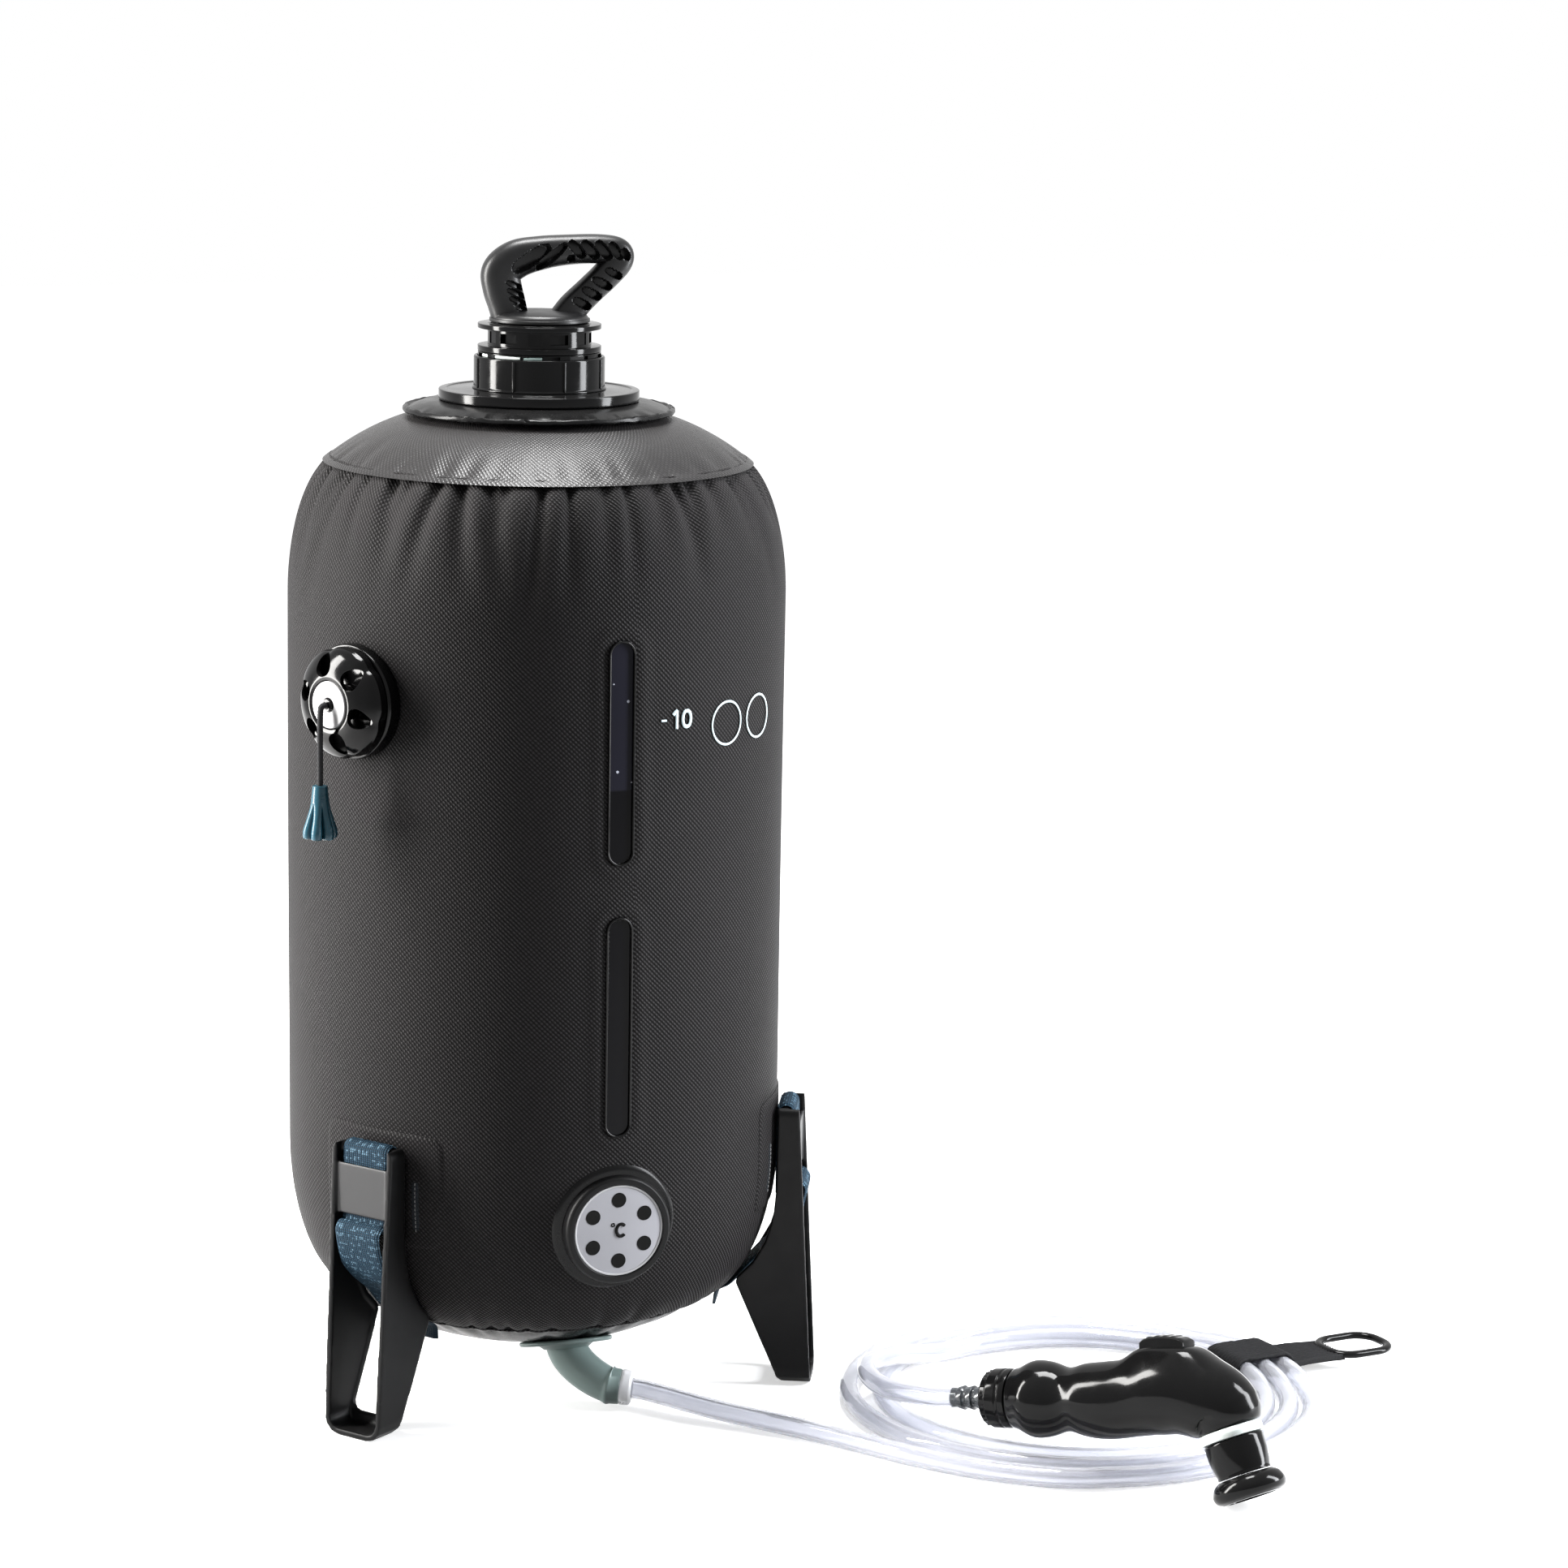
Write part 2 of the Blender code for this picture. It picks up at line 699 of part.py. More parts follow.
def pump_levels():
    """Heights of the pump head's stack, from its seat upwards."""
    seat_low = NECK_TOP + 2 * GAP + GASKET_THICKNESS
    cage_low = seat_low + PUMP_SEAT_THICKNESS
    disc_low = cage_low + CAGE_HEIGHT
    waist_low = disc_low + DISC_THICKNESS
    cap_low = waist_low + WAIST_HEIGHT
    return seat_low, cage_low, disc_low, waist_low, cap_low, cap_low + DISC_THICKNESS


def screw_collar():
    """The ribbed ring that screws the pump down on the neck."""
    seat_low, cage_low = pump_levels()[:2]
    low = FLANGE_TOP + GAP
    inner = NECK_BORE + NECK_WALL + GAP
    room = PUMP_SEAT_RADIUS + GAP
    lip = CAGE_RADIUS + GAP
    top = cage_low + GAP + COLLAR_LIP
    outline = [
        (lip, top),
        (COLLAR_RADIUS, top),
        (COLLAR_RADIUS, low),
        (inner, low),
        (inner, seat_low - GAP),
        (room, seat_low - GAP),
        (room, cage_low + GAP),
        (lip, cage_low + GAP),
    ]
    collar = turned("screw_collar", outline, ROUND_STEPS, closed=True)
    ribs = []
    for i in range(COLLAR_RIBS):
        turn = Matrix.Rotation(math.tau * i / COLLAR_RIBS, 4, "Z")
        size = (2 * COLLAR_RIB, 2 * COLLAR_RIB, top - low - 2 * COLLAR_RIB)
        centre = (COLLAR_RADIUS, 0, (top + low) / 2)
        ribs.append((block("rib", size, centre), turn))
    combine(collar, seat(joined("collar_ribs", ribs), HERE), "UNION")
    joint = pivot("collar_axis", (0, 0, low))
    seat(collar, HERE, BLACK, joint)


def pump_unit():
    """Pump head, its sealing ring, barrel, barrel foot and check flap."""
    seat_low, cage_low, disc_low, waist_low, cap_low, cap_top = pump_levels()
    plug_low = seat_low - PLUG_LENGTH
    plug = NECK_BORE - RUNNING_GAP
    bore = ROD_RADIUS + RUNNING_GAP
    core = CAGE_RADIUS - CAGE_WALL - GAP - SEAL_WALL - GAP
    joint = pivot("pump_axis", (0, 0, seat_low))
    outline = [
        (bore, cap_top),
        (DISC_RADIUS, cap_top),
        (DISC_RADIUS, cap_low),
        (WAIST_RADIUS, cap_low),
        (WAIST_RADIUS, waist_low),
        (DISC_RADIUS, waist_low),
        (DISC_RADIUS, disc_low),
        (core, disc_low),
        (core, cage_low),
        (PUMP_SEAT_RADIUS, cage_low),
        (PUMP_SEAT_RADIUS, seat_low),
        (plug, seat_low),
        (plug, plug_low),
        (bore, plug_low),
    ]
    head = turned("pump_head", outline, ROUND_STEPS, closed=True)
    inside = WAIST_RADIUS - WAIST_WALL
    slots = []
    for i in range(WAIST_WINDOWS):
        turn = Matrix.Rotation(math.tau * (i + 1 / 2) / WAIST_WINDOWS, 4, "Z")
        size = (2 * WAIST_WALL, WAIST_WINDOW_WIDTH, WAIST_HEIGHT - 2 * WAIST_WALL)
        slots.append((block("slot", size, (inside + WAIST_WALL, 0, (waist_low + cap_low) / 2)), turn))
    combine(head, seat(joined("waist_windows", slots), HERE))
    seat(head, HERE, BLACK, joint)

    seal_outer = CAGE_RADIUS - CAGE_WALL - GAP
    seal = ring("seal_ring", seal_outer - SEAL_WALL, seal_outer, cage_low + GAP, disc_low - GAP)
    seat(seal, HERE, PALE, joint)

    cage = ring("cage_ring", CAGE_RADIUS - CAGE_WALL, CAGE_RADIUS, cage_low + GAP, disc_low - GAP)
    gaps = []
    for i in range(CAGE_WINDOWS):
        turn = Matrix.Rotation(math.tau * i / CAGE_WINDOWS, 4, "Z")
        wide = math.tau * CAGE_RADIUS / CAGE_WINDOWS * CAGE_WINDOW_SHARE
        size = (3 * CAGE_WALL, wide, CAGE_HEIGHT - 2 * CAGE_WALL)
        gaps.append((block("gap", size, (CAGE_RADIUS, 0, (cage_low + disc_low) / 2)), turn))
    combine(cage, seat(joined("cage_windows", gaps), HERE))
    seat(cage, HERE, BLACK, joint)

    top = plug_low - GAP
    bottom = top - BARREL_LENGTH
    barrel = ring("pump_barrel", BARREL_RADIUS - BARREL_WALL, BARREL_RADIUS, bottom, top)
    seat(barrel, HERE, PALE, joint)

    foot_top = bottom - GAP
    foot_low = foot_top - FOOT_THICKNESS
    foot = ring("barrel_foot", FLAP_STEM_RADIUS + RUNNING_GAP, BARREL_RADIUS, foot_low, foot_top)
    holes = []
    for i in range(FOOT_HOLES):
        turn = Matrix.Rotation(math.tau * i / FOOT_HOLES, 4, "Z")
        hole = block("hole", (2 * FOOT_HOLE_RADIUS,) * 2 + (FOOT_THICKNESS + 2 * OVERRUN,))
        place = Matrix.Translation((FOOT_HOLE_RING, 0, (foot_top + foot_low) / 2))
        holes.append((hole, turn @ place))
    combine(foot, seat(joined("foot_holes", holes), HERE))
    seat(foot, HERE, BLACK, joint)

    head_low = foot_low - GAP
    stem_top = foot_top - FLAP_TRAVEL
    outline = [
        (0, stem_top),
        (FLAP_STEM_RADIUS, stem_top),
        (FLAP_STEM_RADIUS, head_low),
        (FLAP_RADIUS, head_low),
        (FLAP_RADIUS, head_low - FLAP_THICKNESS),
        (0, head_low - FLAP_THICKNESS),
    ]
    flap = turned("check_flap", outline, SMALL_STEPS)
    seat(flap, HERE, RUBBER, pivot("flap_axis", (0, 0, head_low)))
    return plug_low, bottom, cap_top


def handle_route():
    """The loop of the handle in its own plane: across, up."""
    left = HANDLE_REACH_LEFT
    right = HANDLE_REACH_RIGHT
    rise = HANDLE_RISE
    foot = HANDLE_FOOT_SPREAD
    corner_share = 0.62
    shoulder_share = 0.9
    return [
        (-foot, 0),
        (-left * shoulder_share, rise * corner_share / 2),
        (-left, rise * corner_share),
        (-left / 2, rise * shoulder_share),
        (right * corner_share / 2, rise),
        (right * shoulder_share, rise),
        (right, rise * shoulder_share),
        (right * corner_share, rise * corner_share / 2),
        (foot, 0),
    ]


def plunger(plug_low, barrel_low, cap_top):
    """Handle, rod, piston and piston ring."""
    base_low = cap_top + GAP
    twist = pivot("handle_axis", (0, 0, base_low))
    stroke = pivot("piston_axis", (0, 0, barrel_low + PISTON_REST))
    dome = [
        (0, base_low + HANDLE_BASE_HEIGHT),
        (HANDLE_BASE_RADIUS * 0.55, base_low + HANDLE_BASE_HEIGHT),
        (HANDLE_BASE_RADIUS * 0.9, base_low + HANDLE_BASE_HEIGHT * 0.7),
        (HANDLE_BASE_RADIUS, base_low + HANDLE_BASE_HEIGHT * 0.35),
        (HANDLE_BASE_RADIUS, base_low),
        (0, base_low),
    ]
    handle = turned("pump_handle", dome, ROUND_STEPS)
    plane = Matrix.Rotation(HANDLE_HEADING, 4, "Z")
    lift = base_low + HANDLE_BASE_HEIGHT * 0.85
    loop = [plane @ Vector((across, 0, lift + up)) for across, up in handle_route()]
    path = smooth_path(loop, HANDLE_BAR_RADIUS * 0.9)
    bar = as_mesh(tube("handle_loop", path, HANDLE_BAR_RADIUS, sides=3))
    combine(handle, seat(bar, HERE), "UNION")
    seat(handle, HERE, SATIN, twist)

    piston_low = barrel_low + PISTON_REST
    piston_top = piston_low + PISTON_HEIGHT
    rod_top = base_low - GAP
    rod = drum("plunger_rod", ROD_RADIUS, piston_top + GAP, rod_top, SMALL_STEPS)
    seat(rod, HERE, STEEL, twist)

    wide = BARREL_RADIUS - BARREL_WALL - PISTON_GAP
    groove = wide - GROOVE_DEPTH
    middle = (piston_low + piston_top) / 2
    outline = [
        (0, piston_top),
        (wide, piston_top),
        (wide, middle + GROOVE_HEIGHT / 2),
        (groove, middle + GROOVE_HEIGHT / 2),
        (groove, middle - GROOVE_HEIGHT / 2),
        (wide, middle - GROOVE_HEIGHT / 2),
        (wide, piston_low),
        (0, piston_low),
    ]
    seat(turned("piston", outline, ROUND_STEPS), HERE, BLACK, stroke)
    low = middle - GROOVE_HEIGHT / 2 + GAP
    outer = BARREL_RADIUS - BARREL_WALL - GAP
    seal = ring("piston_ring", groove + GAP, outer, low, middle + GROOVE_HEIGHT / 2 - GAP)
    seat(seal, HERE, RUBBER, stroke)


# On the wall: level windows, thermometer and vent valve


def window(name, centre):
    """A raised stadium frame and the clear strip inside it."""
    reach = BAG_RADIUS + GAP + WINDOW_DEPTH / 2
    place = facing_out(WINDOW_AZIMUTH, reach, centre)
    outer = stadium(WINDOW_WIDTH, WINDOW_LENGTH)
    hole = stadium(WINDOW_WIDTH - 2 * WINDOW_LIP, WINDOW_LENGTH - 2 * WINDOW_LIP)
    seat(plate(name + "_frame", [outer, hole], WINDOW_DEPTH), place, BLACK)
    inset = WINDOW_LIP + GAP
    strip = stadium(WINDOW_WIDTH - 2 * inset, WINDOW_LENGTH - 2 * inset)
    thin = WINDOW_DEPTH * 0.7
    sunk = Matrix.Translation((0, 0, (thin - WINDOW_DEPTH) / 2))
    seat(plate(name, [strip], thin), place @ sunk, CLEAR)


def wall_skin(name, inner, outer, low, high):
    """A shell that follows the wall between two offsets, as a tool for patches."""
    turns = [math.pi / 2 * i / WALL_BENDS for i in range(WALL_BENDS + 1)]
    base = [t for t in turns if base_point(t)[1] > low]
    lines = []
    for offset in (outer, inner):
        line = [(BAG_RADIUS + offset, high)] + [base_point(t, offset) for t in base]
        lines.append(line)
    return turned(name, lines[0] + lines[1][::-1], BAG_STEPS, closed=True)


def wall_body(name, offset):
    """The whole bag's outer body, swollen by an offset, as a tool for what lies against it."""
    outline = [(0, SHOULDER_START), (BAG_RADIUS + offset, SHOULDER_START)]
    outline += [base_point(math.pi / 2 * i / WALL_BENDS, offset) for i in range(WALL_BENDS + 1)]
    outline.append((0, BASE_SEAM_HEIGHT))
    return turned(name, outline, BAG_STEPS)


def thermometer():
    """A round patch on the wall, the bezel on it and its silver dial."""
    place = facing_out(WINDOW_AZIMUTH, BAG_RADIUS, THERMOMETER_HEIGHT)
    low = THERMOMETER_HEIGHT - PATCH_RADIUS - OVERRUN
    high = THERMOMETER_HEIGHT + PATCH_RADIUS + OVERRUN
    patch = drum("thermometer_patch", PATCH_RADIUS, -3 * BEZEL_DEPTH, 3 * BEZEL_DEPTH)
    skin = wall_skin("patch_skin", GAP, GAP + PATCH_THICKNESS, low, high)
    combine(patch, seat(skin, HERE), "INTERSECT")
    seat(patch, place, PANEL)

    front = BEZEL_DEPTH
    outline = [
        (DIAL_RADIUS + GAP, front),
        (BEZEL_RADIUS - BEZEL_LIP / 4, front),
        (BEZEL_RADIUS, front - BEZEL_LIP / 4),
        (BEZEL_RADIUS, -3 * BEZEL_DEPTH),
        (0, -3 * BEZEL_DEPTH),
        (0, front - DIAL_RECESS - DIAL_THICKNESS - GAP),
        (DIAL_RADIUS + GAP, front - DIAL_RECESS - DIAL_THICKNESS - GAP),
    ]
    bezel = turned("thermometer_bezel", outline + [outline[0]], ROUND_STEPS)
    backing = wall_body("bezel_backing", 2 * GAP + PATCH_THICKNESS)
    combine(bezel, seat(backing, HERE))
    seat(bezel, place, SATIN)

    low = front - DIAL_RECESS - DIAL_THICKNESS
    dial = drum("thermometer_dial", DIAL_RADIUS, low, front - DIAL_RECESS)
    seat(dial, place, SILVER)


def vent_valve(side, liner):
    """Welded boss, vented cap, pale insert, sprung stem, cord and toggle."""
    place = facing_out(VALVE_AZIMUTH, BAG_RADIUS, VALVE_HEIGHT)
    hole = drum("boss_hole", BOSS_BORE + NECK_WALL, -BOSS_RADIUS, BOSS_RADIUS, SMALL_STEPS)
    combine(side, seat(hole, place))
    through = drum("liner_hole", BOSS_BORE + NECK_WALL, -BOSS_RADIUS, BOSS_RADIUS, SMALL_STEPS)
    combine(liner, seat(through, place))

    face = BOSS_REACH
    seat_top = face + SEAT_HEIGHT
    land = BOSS_BORE + SEAT_HEIGHT
    outline = [
        (BOSS_BORE, seat_top),
        (land, seat_top),
        (land, face),
        (BOSS_RADIUS, face),
        (BOSS_RADIUS, -BOSS_REACH),
        (BOSS_BORE, -BOSS_REACH),
    ]
    boss = turned("valve_boss", outline, ROUND_STEPS, closed=True)
    combine(boss, seat(wall_body("boss_backing", GAP), HERE))
    seat(boss, place, BLACK)

    low = face + GAP
    top = face + VALVE_CAP_DEPTH
    side_top = face + VALVE_CAP_SIDE
    wall = VALVE_CAP_WALL
    insert = INSERT_RADIUS + GAP
    outline = [
        (insert, top),
        (VALVE_FACE_RADIUS, top),
        ((VALVE_FACE_RADIUS + VALVE_CAP_RADIUS) / 2, top - (top - side_top) * 0.25),
        (VALVE_CAP_RADIUS - wall / 2, side_top + (top - side_top) * 0.2),
        (VALVE_CAP_RADIUS, side_top),
        (VALVE_CAP_RADIUS, low),
        (VALVE_CAP_RADIUS - wall, low),
        (VALVE_CAP_RADIUS - wall, side_top),
        ((VALVE_FACE_RADIUS + VALVE_CAP_RADIUS) / 2 - wall / 2, top - (top - side_top) * 0.25 - wall),
        (VALVE_FACE_RADIUS - wall / 2, top - wall),
        (insert, top - wall),
    ]
    cap = turned("valve_cap", outline, ROUND_STEPS, closed=True)
    holes = []
    for i in range(VENT_HOLES):
        drop = plate("vent", [stadium(VENT_HOLE_WIDTH, VENT_HOLE_LENGTH, 5)], 2 * VALVE_CAP_DEPTH)
        turn = Matrix.Rotation(math.tau * (i + 1 / 4) / VENT_HOLES, 4, "Z")
        holes.append((as_mesh(drop), turn @ Matrix.Translation((0, VENT_HOLE_RING, top))))
    combine(cap, seat(joined("vent_holes", holes), place))
    seat(cap, place, BLACK)

    eye = STEM_RADIUS + RUNNING_GAP
    low_face = top - INSERT_THICKNESS
    insert_ring = ring("valve_insert", eye, INSERT_RADIUS, low_face, top)
    seat(insert_ring, place, PALE)

    axis_point = around(VALVE_AZIMUTH, BAG_RADIUS, VALVE_HEIGHT)
    pull = pivot("vent_axis", axis_point)
    disc_low = seat_top + GAP
    disc_top = disc_low + STEM_DISC_THICKNESS
    stem_top = top + STEM_PROUD
    outline = [
        (0, stem_top),
        (STEM_RADIUS, stem_top),
        (STEM_RADIUS, disc_top),
        (STEM_DISC_RADIUS, disc_top),
        (STEM_DISC_RADIUS, disc_low),
        (0, disc_low),
    ]
    seat(turned("vent_stem", outline, SMALL_STEPS), place, BLACK, pull)

    spring = ring(
        "vent_spring", SPRING_RADIUS - SPRING_WIRE, SPRING_RADIUS, disc_top + GAP, low_face - GAP, SMALL_STEPS
    )
    seat(spring, place, STEEL)

    swing = pivot("toggle_axis", axis_point)
    reach = stem_top + GAP
    out = reach + PULL_CORD_REACH
    knot = Vector((0, 0, reach))
    end = Vector((0, GAP - TOGGLE_DROP, out))
    route = [
        (0, 0, reach + PULL_CORD_RADIUS),
        (0, -PULL_CORD_REACH / 2, out - PULL_CORD_RADIUS / 4),
        (0, -TOGGLE_DROP / 3, out),
        (0, -TOGGLE_DROP * 2 / 3, out),
        (0, 2 * PULL_CORD_RADIUS - TOGGLE_DROP, out),
    ]
    path = smooth_path(route, 2 * PULL_CORD_RADIUS, (knot, end))
    cord = tube("pull_cord", path, PULL_CORD_RADIUS)
    seat(cord, place, RUBBER, swing)

    end = TOGGLE_LENGTH
    outline = [
        (0, 0),
        (TOGGLE_TOP_RADIUS, 0),
        (TOGGLE_TOP_RADIUS * 1.15, -end * 0.3),
        (TOGGLE_BASE_RADIUS * 0.8, -end * 0.6),
        (TOGGLE_BASE_RADIUS, -end * 0.86),
        (TOGGLE_BASE_RADIUS * 0.8, -end),
        (0, -end),
    ]
    toggle = turned("pull_toggle", outline, SMALL_STEPS)
    hang = place @ Matrix.Translation((0, -TOGGLE_DROP, out)) @ Matrix.Rotation(-math.pi / 2, 4, "X")
    flutes = []
    for i in range(TOGGLE_FLUTES):
        turn = Matrix.Rotation(math.tau * i / TOGGLE_FLUTES, 4, "Z")
        groove = block("flute", (TOGGLE_FLUTE_RADIUS, TOGGLE_FLUTE_RADIUS, end))
        lay = Matrix.Translation((TOGGLE_BASE_RADIUS, 0, -end * 0.9)) @ Matrix.Rotation(math.pi / 4, 4, "Z")
        flutes.append((groove, turn @ lay))
    combine(toggle, seat(joined("toggle_flutes", flutes), hang))
    seat(toggle, hang, BLUE, swing)


# Legs and webbing


def leg_levels():
    """Outer reach at the leg's top, and the hinge bar's centre, as reach and height."""
    inner = BAG_RADIUS + LEG_BAG_GAP
    outer = inner + LEG_TOP_DEPTH
    bar_reach = inner + BAR_RADIUS + WEBBING_THICKNESS - WEBBING_BEND_GAP / 2
    return inner, outer, bar_reach, LEG_HEIGHT - BAR_DROP


def saddle(wall):
    """A leg's inner edge where it curves in under the bag, as reach and height."""
    inner = leg_levels()[0]
    width = inner - BASE_SEAM_RADIUS
    drop = LEG_CURVE_START - BASE_SEAM_HEIGHT - SADDLE_GAP
    points = []
    for i in range(5):
        turn = SADDLE_END_TURN * i / 4
        out = Vector((math.cos(turn) / width, -math.sin(turn) / drop)).normalized() * wall
        reach = BASE_SEAM_RADIUS + width * math.cos(turn) + out.x
        points.append((reach, LEG_CURVE_START - drop * math.sin(turn) + out.y))
    return points


def leg_outline(wall=0):
    """The leg from the side, as reach and height. A wall draws the inner edge outwards."""
    inner, outer, _, _ = leg_levels()
    curve = saddle(wall)
    corner = (curve[-1][0] - SADDLE_CORNER_DROP / 4, curve[-1][1] - SADDLE_CORNER_DROP)
    foot_outer = outer + LEG_SPLAY
    foot_inner = foot_outer - LEG_FOOT_DEPTH
    if wall:
        corner = (corner[0] + wall, corner[1])
    heel = HEEL_ROUNDING - wall
    base = arc((foot_inner + HEEL_ROUNDING, HEEL_ROUNDING), heel, math.pi, math.pi * 3 / 2, 4)
    base.append((foot_outer + wall, wall))
    return [(inner + wall, LEG_HEIGHT + wall)] + [(inner + wall, curve[0][1])] + curve[1:] + [corner] + base + [
        (outer + wall, LEG_HEIGHT + wall)
    ]


def leg_and_webbing(number):
    """One leg frame, and the webbing that wraps its bar and ties it to the bag."""
    azimuth = FIRST_LEG_AZIMUTH + math.tau * number / LEG_COUNT
    _, outer, bar_reach, bar_height = leg_levels()
    upright = facing_out(azimuth, 0, 0)
    # The side outline lies in reach and height, so its plate turns to stand across local X
    stand = upright @ Matrix.Rotation(-math.pi / 2, 4, "Y")

    frame = as_mesh(plate("leg_%d" % (number + 1), [leg_outline()], LEG_WIDTH))
    channel = as_mesh(plate("leg_channel_%d" % number, [leg_outline(LEG_WALL)], LEG_WIDTH))
    deep = 2 * (outer + LEG_SPLAY)
    rail = (LEG_WIDTH - SLOT_WIDTH) / 2
    top = LEG_HEIGHT + 2 * TOP_ROUNDING
    inside = LEG_WIDTH - 2 * LEG_WALL
    shapes = []
    for tag, outline in (
        ("front", rounded(LEG_WIDTH, 0, LEG_HEIGHT, FOOT_ROUNDING, TOP_ROUNDING, LEG_NARROWING)),
        ("hollow", rounded(inside, LEG_WALL, top, FOOT_ROUNDING - LEG_WALL, TOP_ROUNDING, LEG_NARROWING)),
        ("slot", rounded(SLOT_WIDTH, SLOT_BOTTOM, top, FOOT_ROUNDING - rail, TOP_ROUNDING, LEG_NARROWING)),
    ):
        shapes.append(seat(as_mesh(plate("leg_%s_%d" % (tag, number), [outline], deep)), upright))
    front, hollow, slot = shapes
    combine(channel, hollow, "INTERSECT")
    combine(frame, seat(channel, stand))
    combine(frame, slot)
    span = LEG_WIDTH - LEG_WALL
    lay = upright @ Matrix.Translation((0, bar_height, bar_reach)) @ Matrix.Rotation(math.pi / 2, 4, "Y")
    bar = drum("leg_bar_%d" % number, BAR_RADIUS, -span / 2, span / 2, 12)
    combine(frame, seat(bar, lay), "UNION")
    plate_reach = outer - PLATE_RECESS - PLATE_THICKNESS / 2
    web = block(
        "leg_plate_%d" % number,
        (span, PLATE_TOP - PLATE_BOTTOM, PLATE_THICKNESS),
        (0, (PLATE_TOP + PLATE_BOTTOM) / 2, plate_reach),
    )
    combine(frame, seat(web, upright), "UNION")
    combine(frame, front, "INTERSECT")
    joint = pivot("leg_axis_%d" % (number + 1), around(azimuth, bar_reach, bar_height))
    seat(frame, stand, SATIN, joint)

    skin_low = ANCHOR_CENTRE - ANCHOR_HEIGHT
    skin_high = ANCHOR_CENTRE + ANCHOR_HEIGHT
    size = (ANCHOR_WIDTH, ANCHOR_HEIGHT, BAG_RADIUS)
    patch = block("anchor_patch_%d" % (number + 1), size, (0, ANCHOR_CENTRE, BAG_RADIUS))
    skin = wall_skin("anchor_skin_%d" % number, GAP, GAP + ANCHOR_THICKNESS, skin_low, skin_high)
    combine(patch, seat(skin, HERE), "INTERSECT")
    seat(patch, upright, PANEL)

    strap = webbing("leg_webbing_%d" % (number + 1))
    seat(strap, stand, WEBBING)


def webbing_route():
    """The webbing's middle line in reach and height, from the anchor, over the bar and under the bag."""
    _, outer, bar_reach, bar_height = leg_levels()
    bend = BAR_RADIUS + WEBBING_BEND_GAP + WEBBING_THICKNESS / 2
    back = bar_reach - bend
    behind_plate = outer - PLATE_RECESS - PLATE_THICKNESS - GAP - WEBBING_THICKNESS / 2
    over_bar = arc((bar_reach, bar_height), bend, math.pi, 0, 7)
    depth = outer - BASE_SEAM_RADIUS
    fall = PLATE_BOTTOM - BASE_SEAM_HEIGHT
    sling = [(outer + out * depth, PLATE_BOTTOM - down * fall) for out, down in SLING_SHARES]
    under = [base_point(math.radians(turn), WEBBING_BAG_GAP) for turn in (60, 70, 80)]
    tail = (BASE_SEAM_RADIUS + WEBBING_TAIL_REACH, BASE_SEAM_HEIGHT - WEBBING_TAIL_DROP)
    behind = [(behind_plate, PLATE_TOP), (behind_plate, PLATE_BOTTOM - WEBBING_THICKNESS)]
    sewn = BAG_RADIUS + 2 * GAP + ANCHOR_THICKNESS + WEBBING_THICKNESS / 2
    anchor = [(sewn, ANCHOR_CENTRE - ANCHOR_HEIGHT * 0.4), (sewn, ANCHOR_CENTRE - ANCHOR_HEIGHT * 0.15)]
    return anchor + over_bar + behind + sling + under + [tail]


def webbing(name):
    """A ribbon swept along its middle line, with its width across the leg."""
    line = smooth_path([(r, h, 0) for r, h in webbing_route()], WEBBING_THICKNESS * 1.5)
    shape = bmesh.new()
    rows = []
    for i, point in enumerate(line):
        rows.append([shape.verts.new((point.x, point.y, z)) for z in (WEBBING_WIDTH / 2, -WEBBING_WIDTH / 2)])
        if i:
            shape.faces.new((rows[-2][0], rows[-1][0], rows[-1][1], rows[-2][1]))
    mesh = bpy.data.meshes.new(name)
    shape.to_mesh(mesh)
    shape.free()
    return thicken(bpy.data.objects.new(name, mesh), WEBBING_THICKNESS, 0)


# Outlet and hose


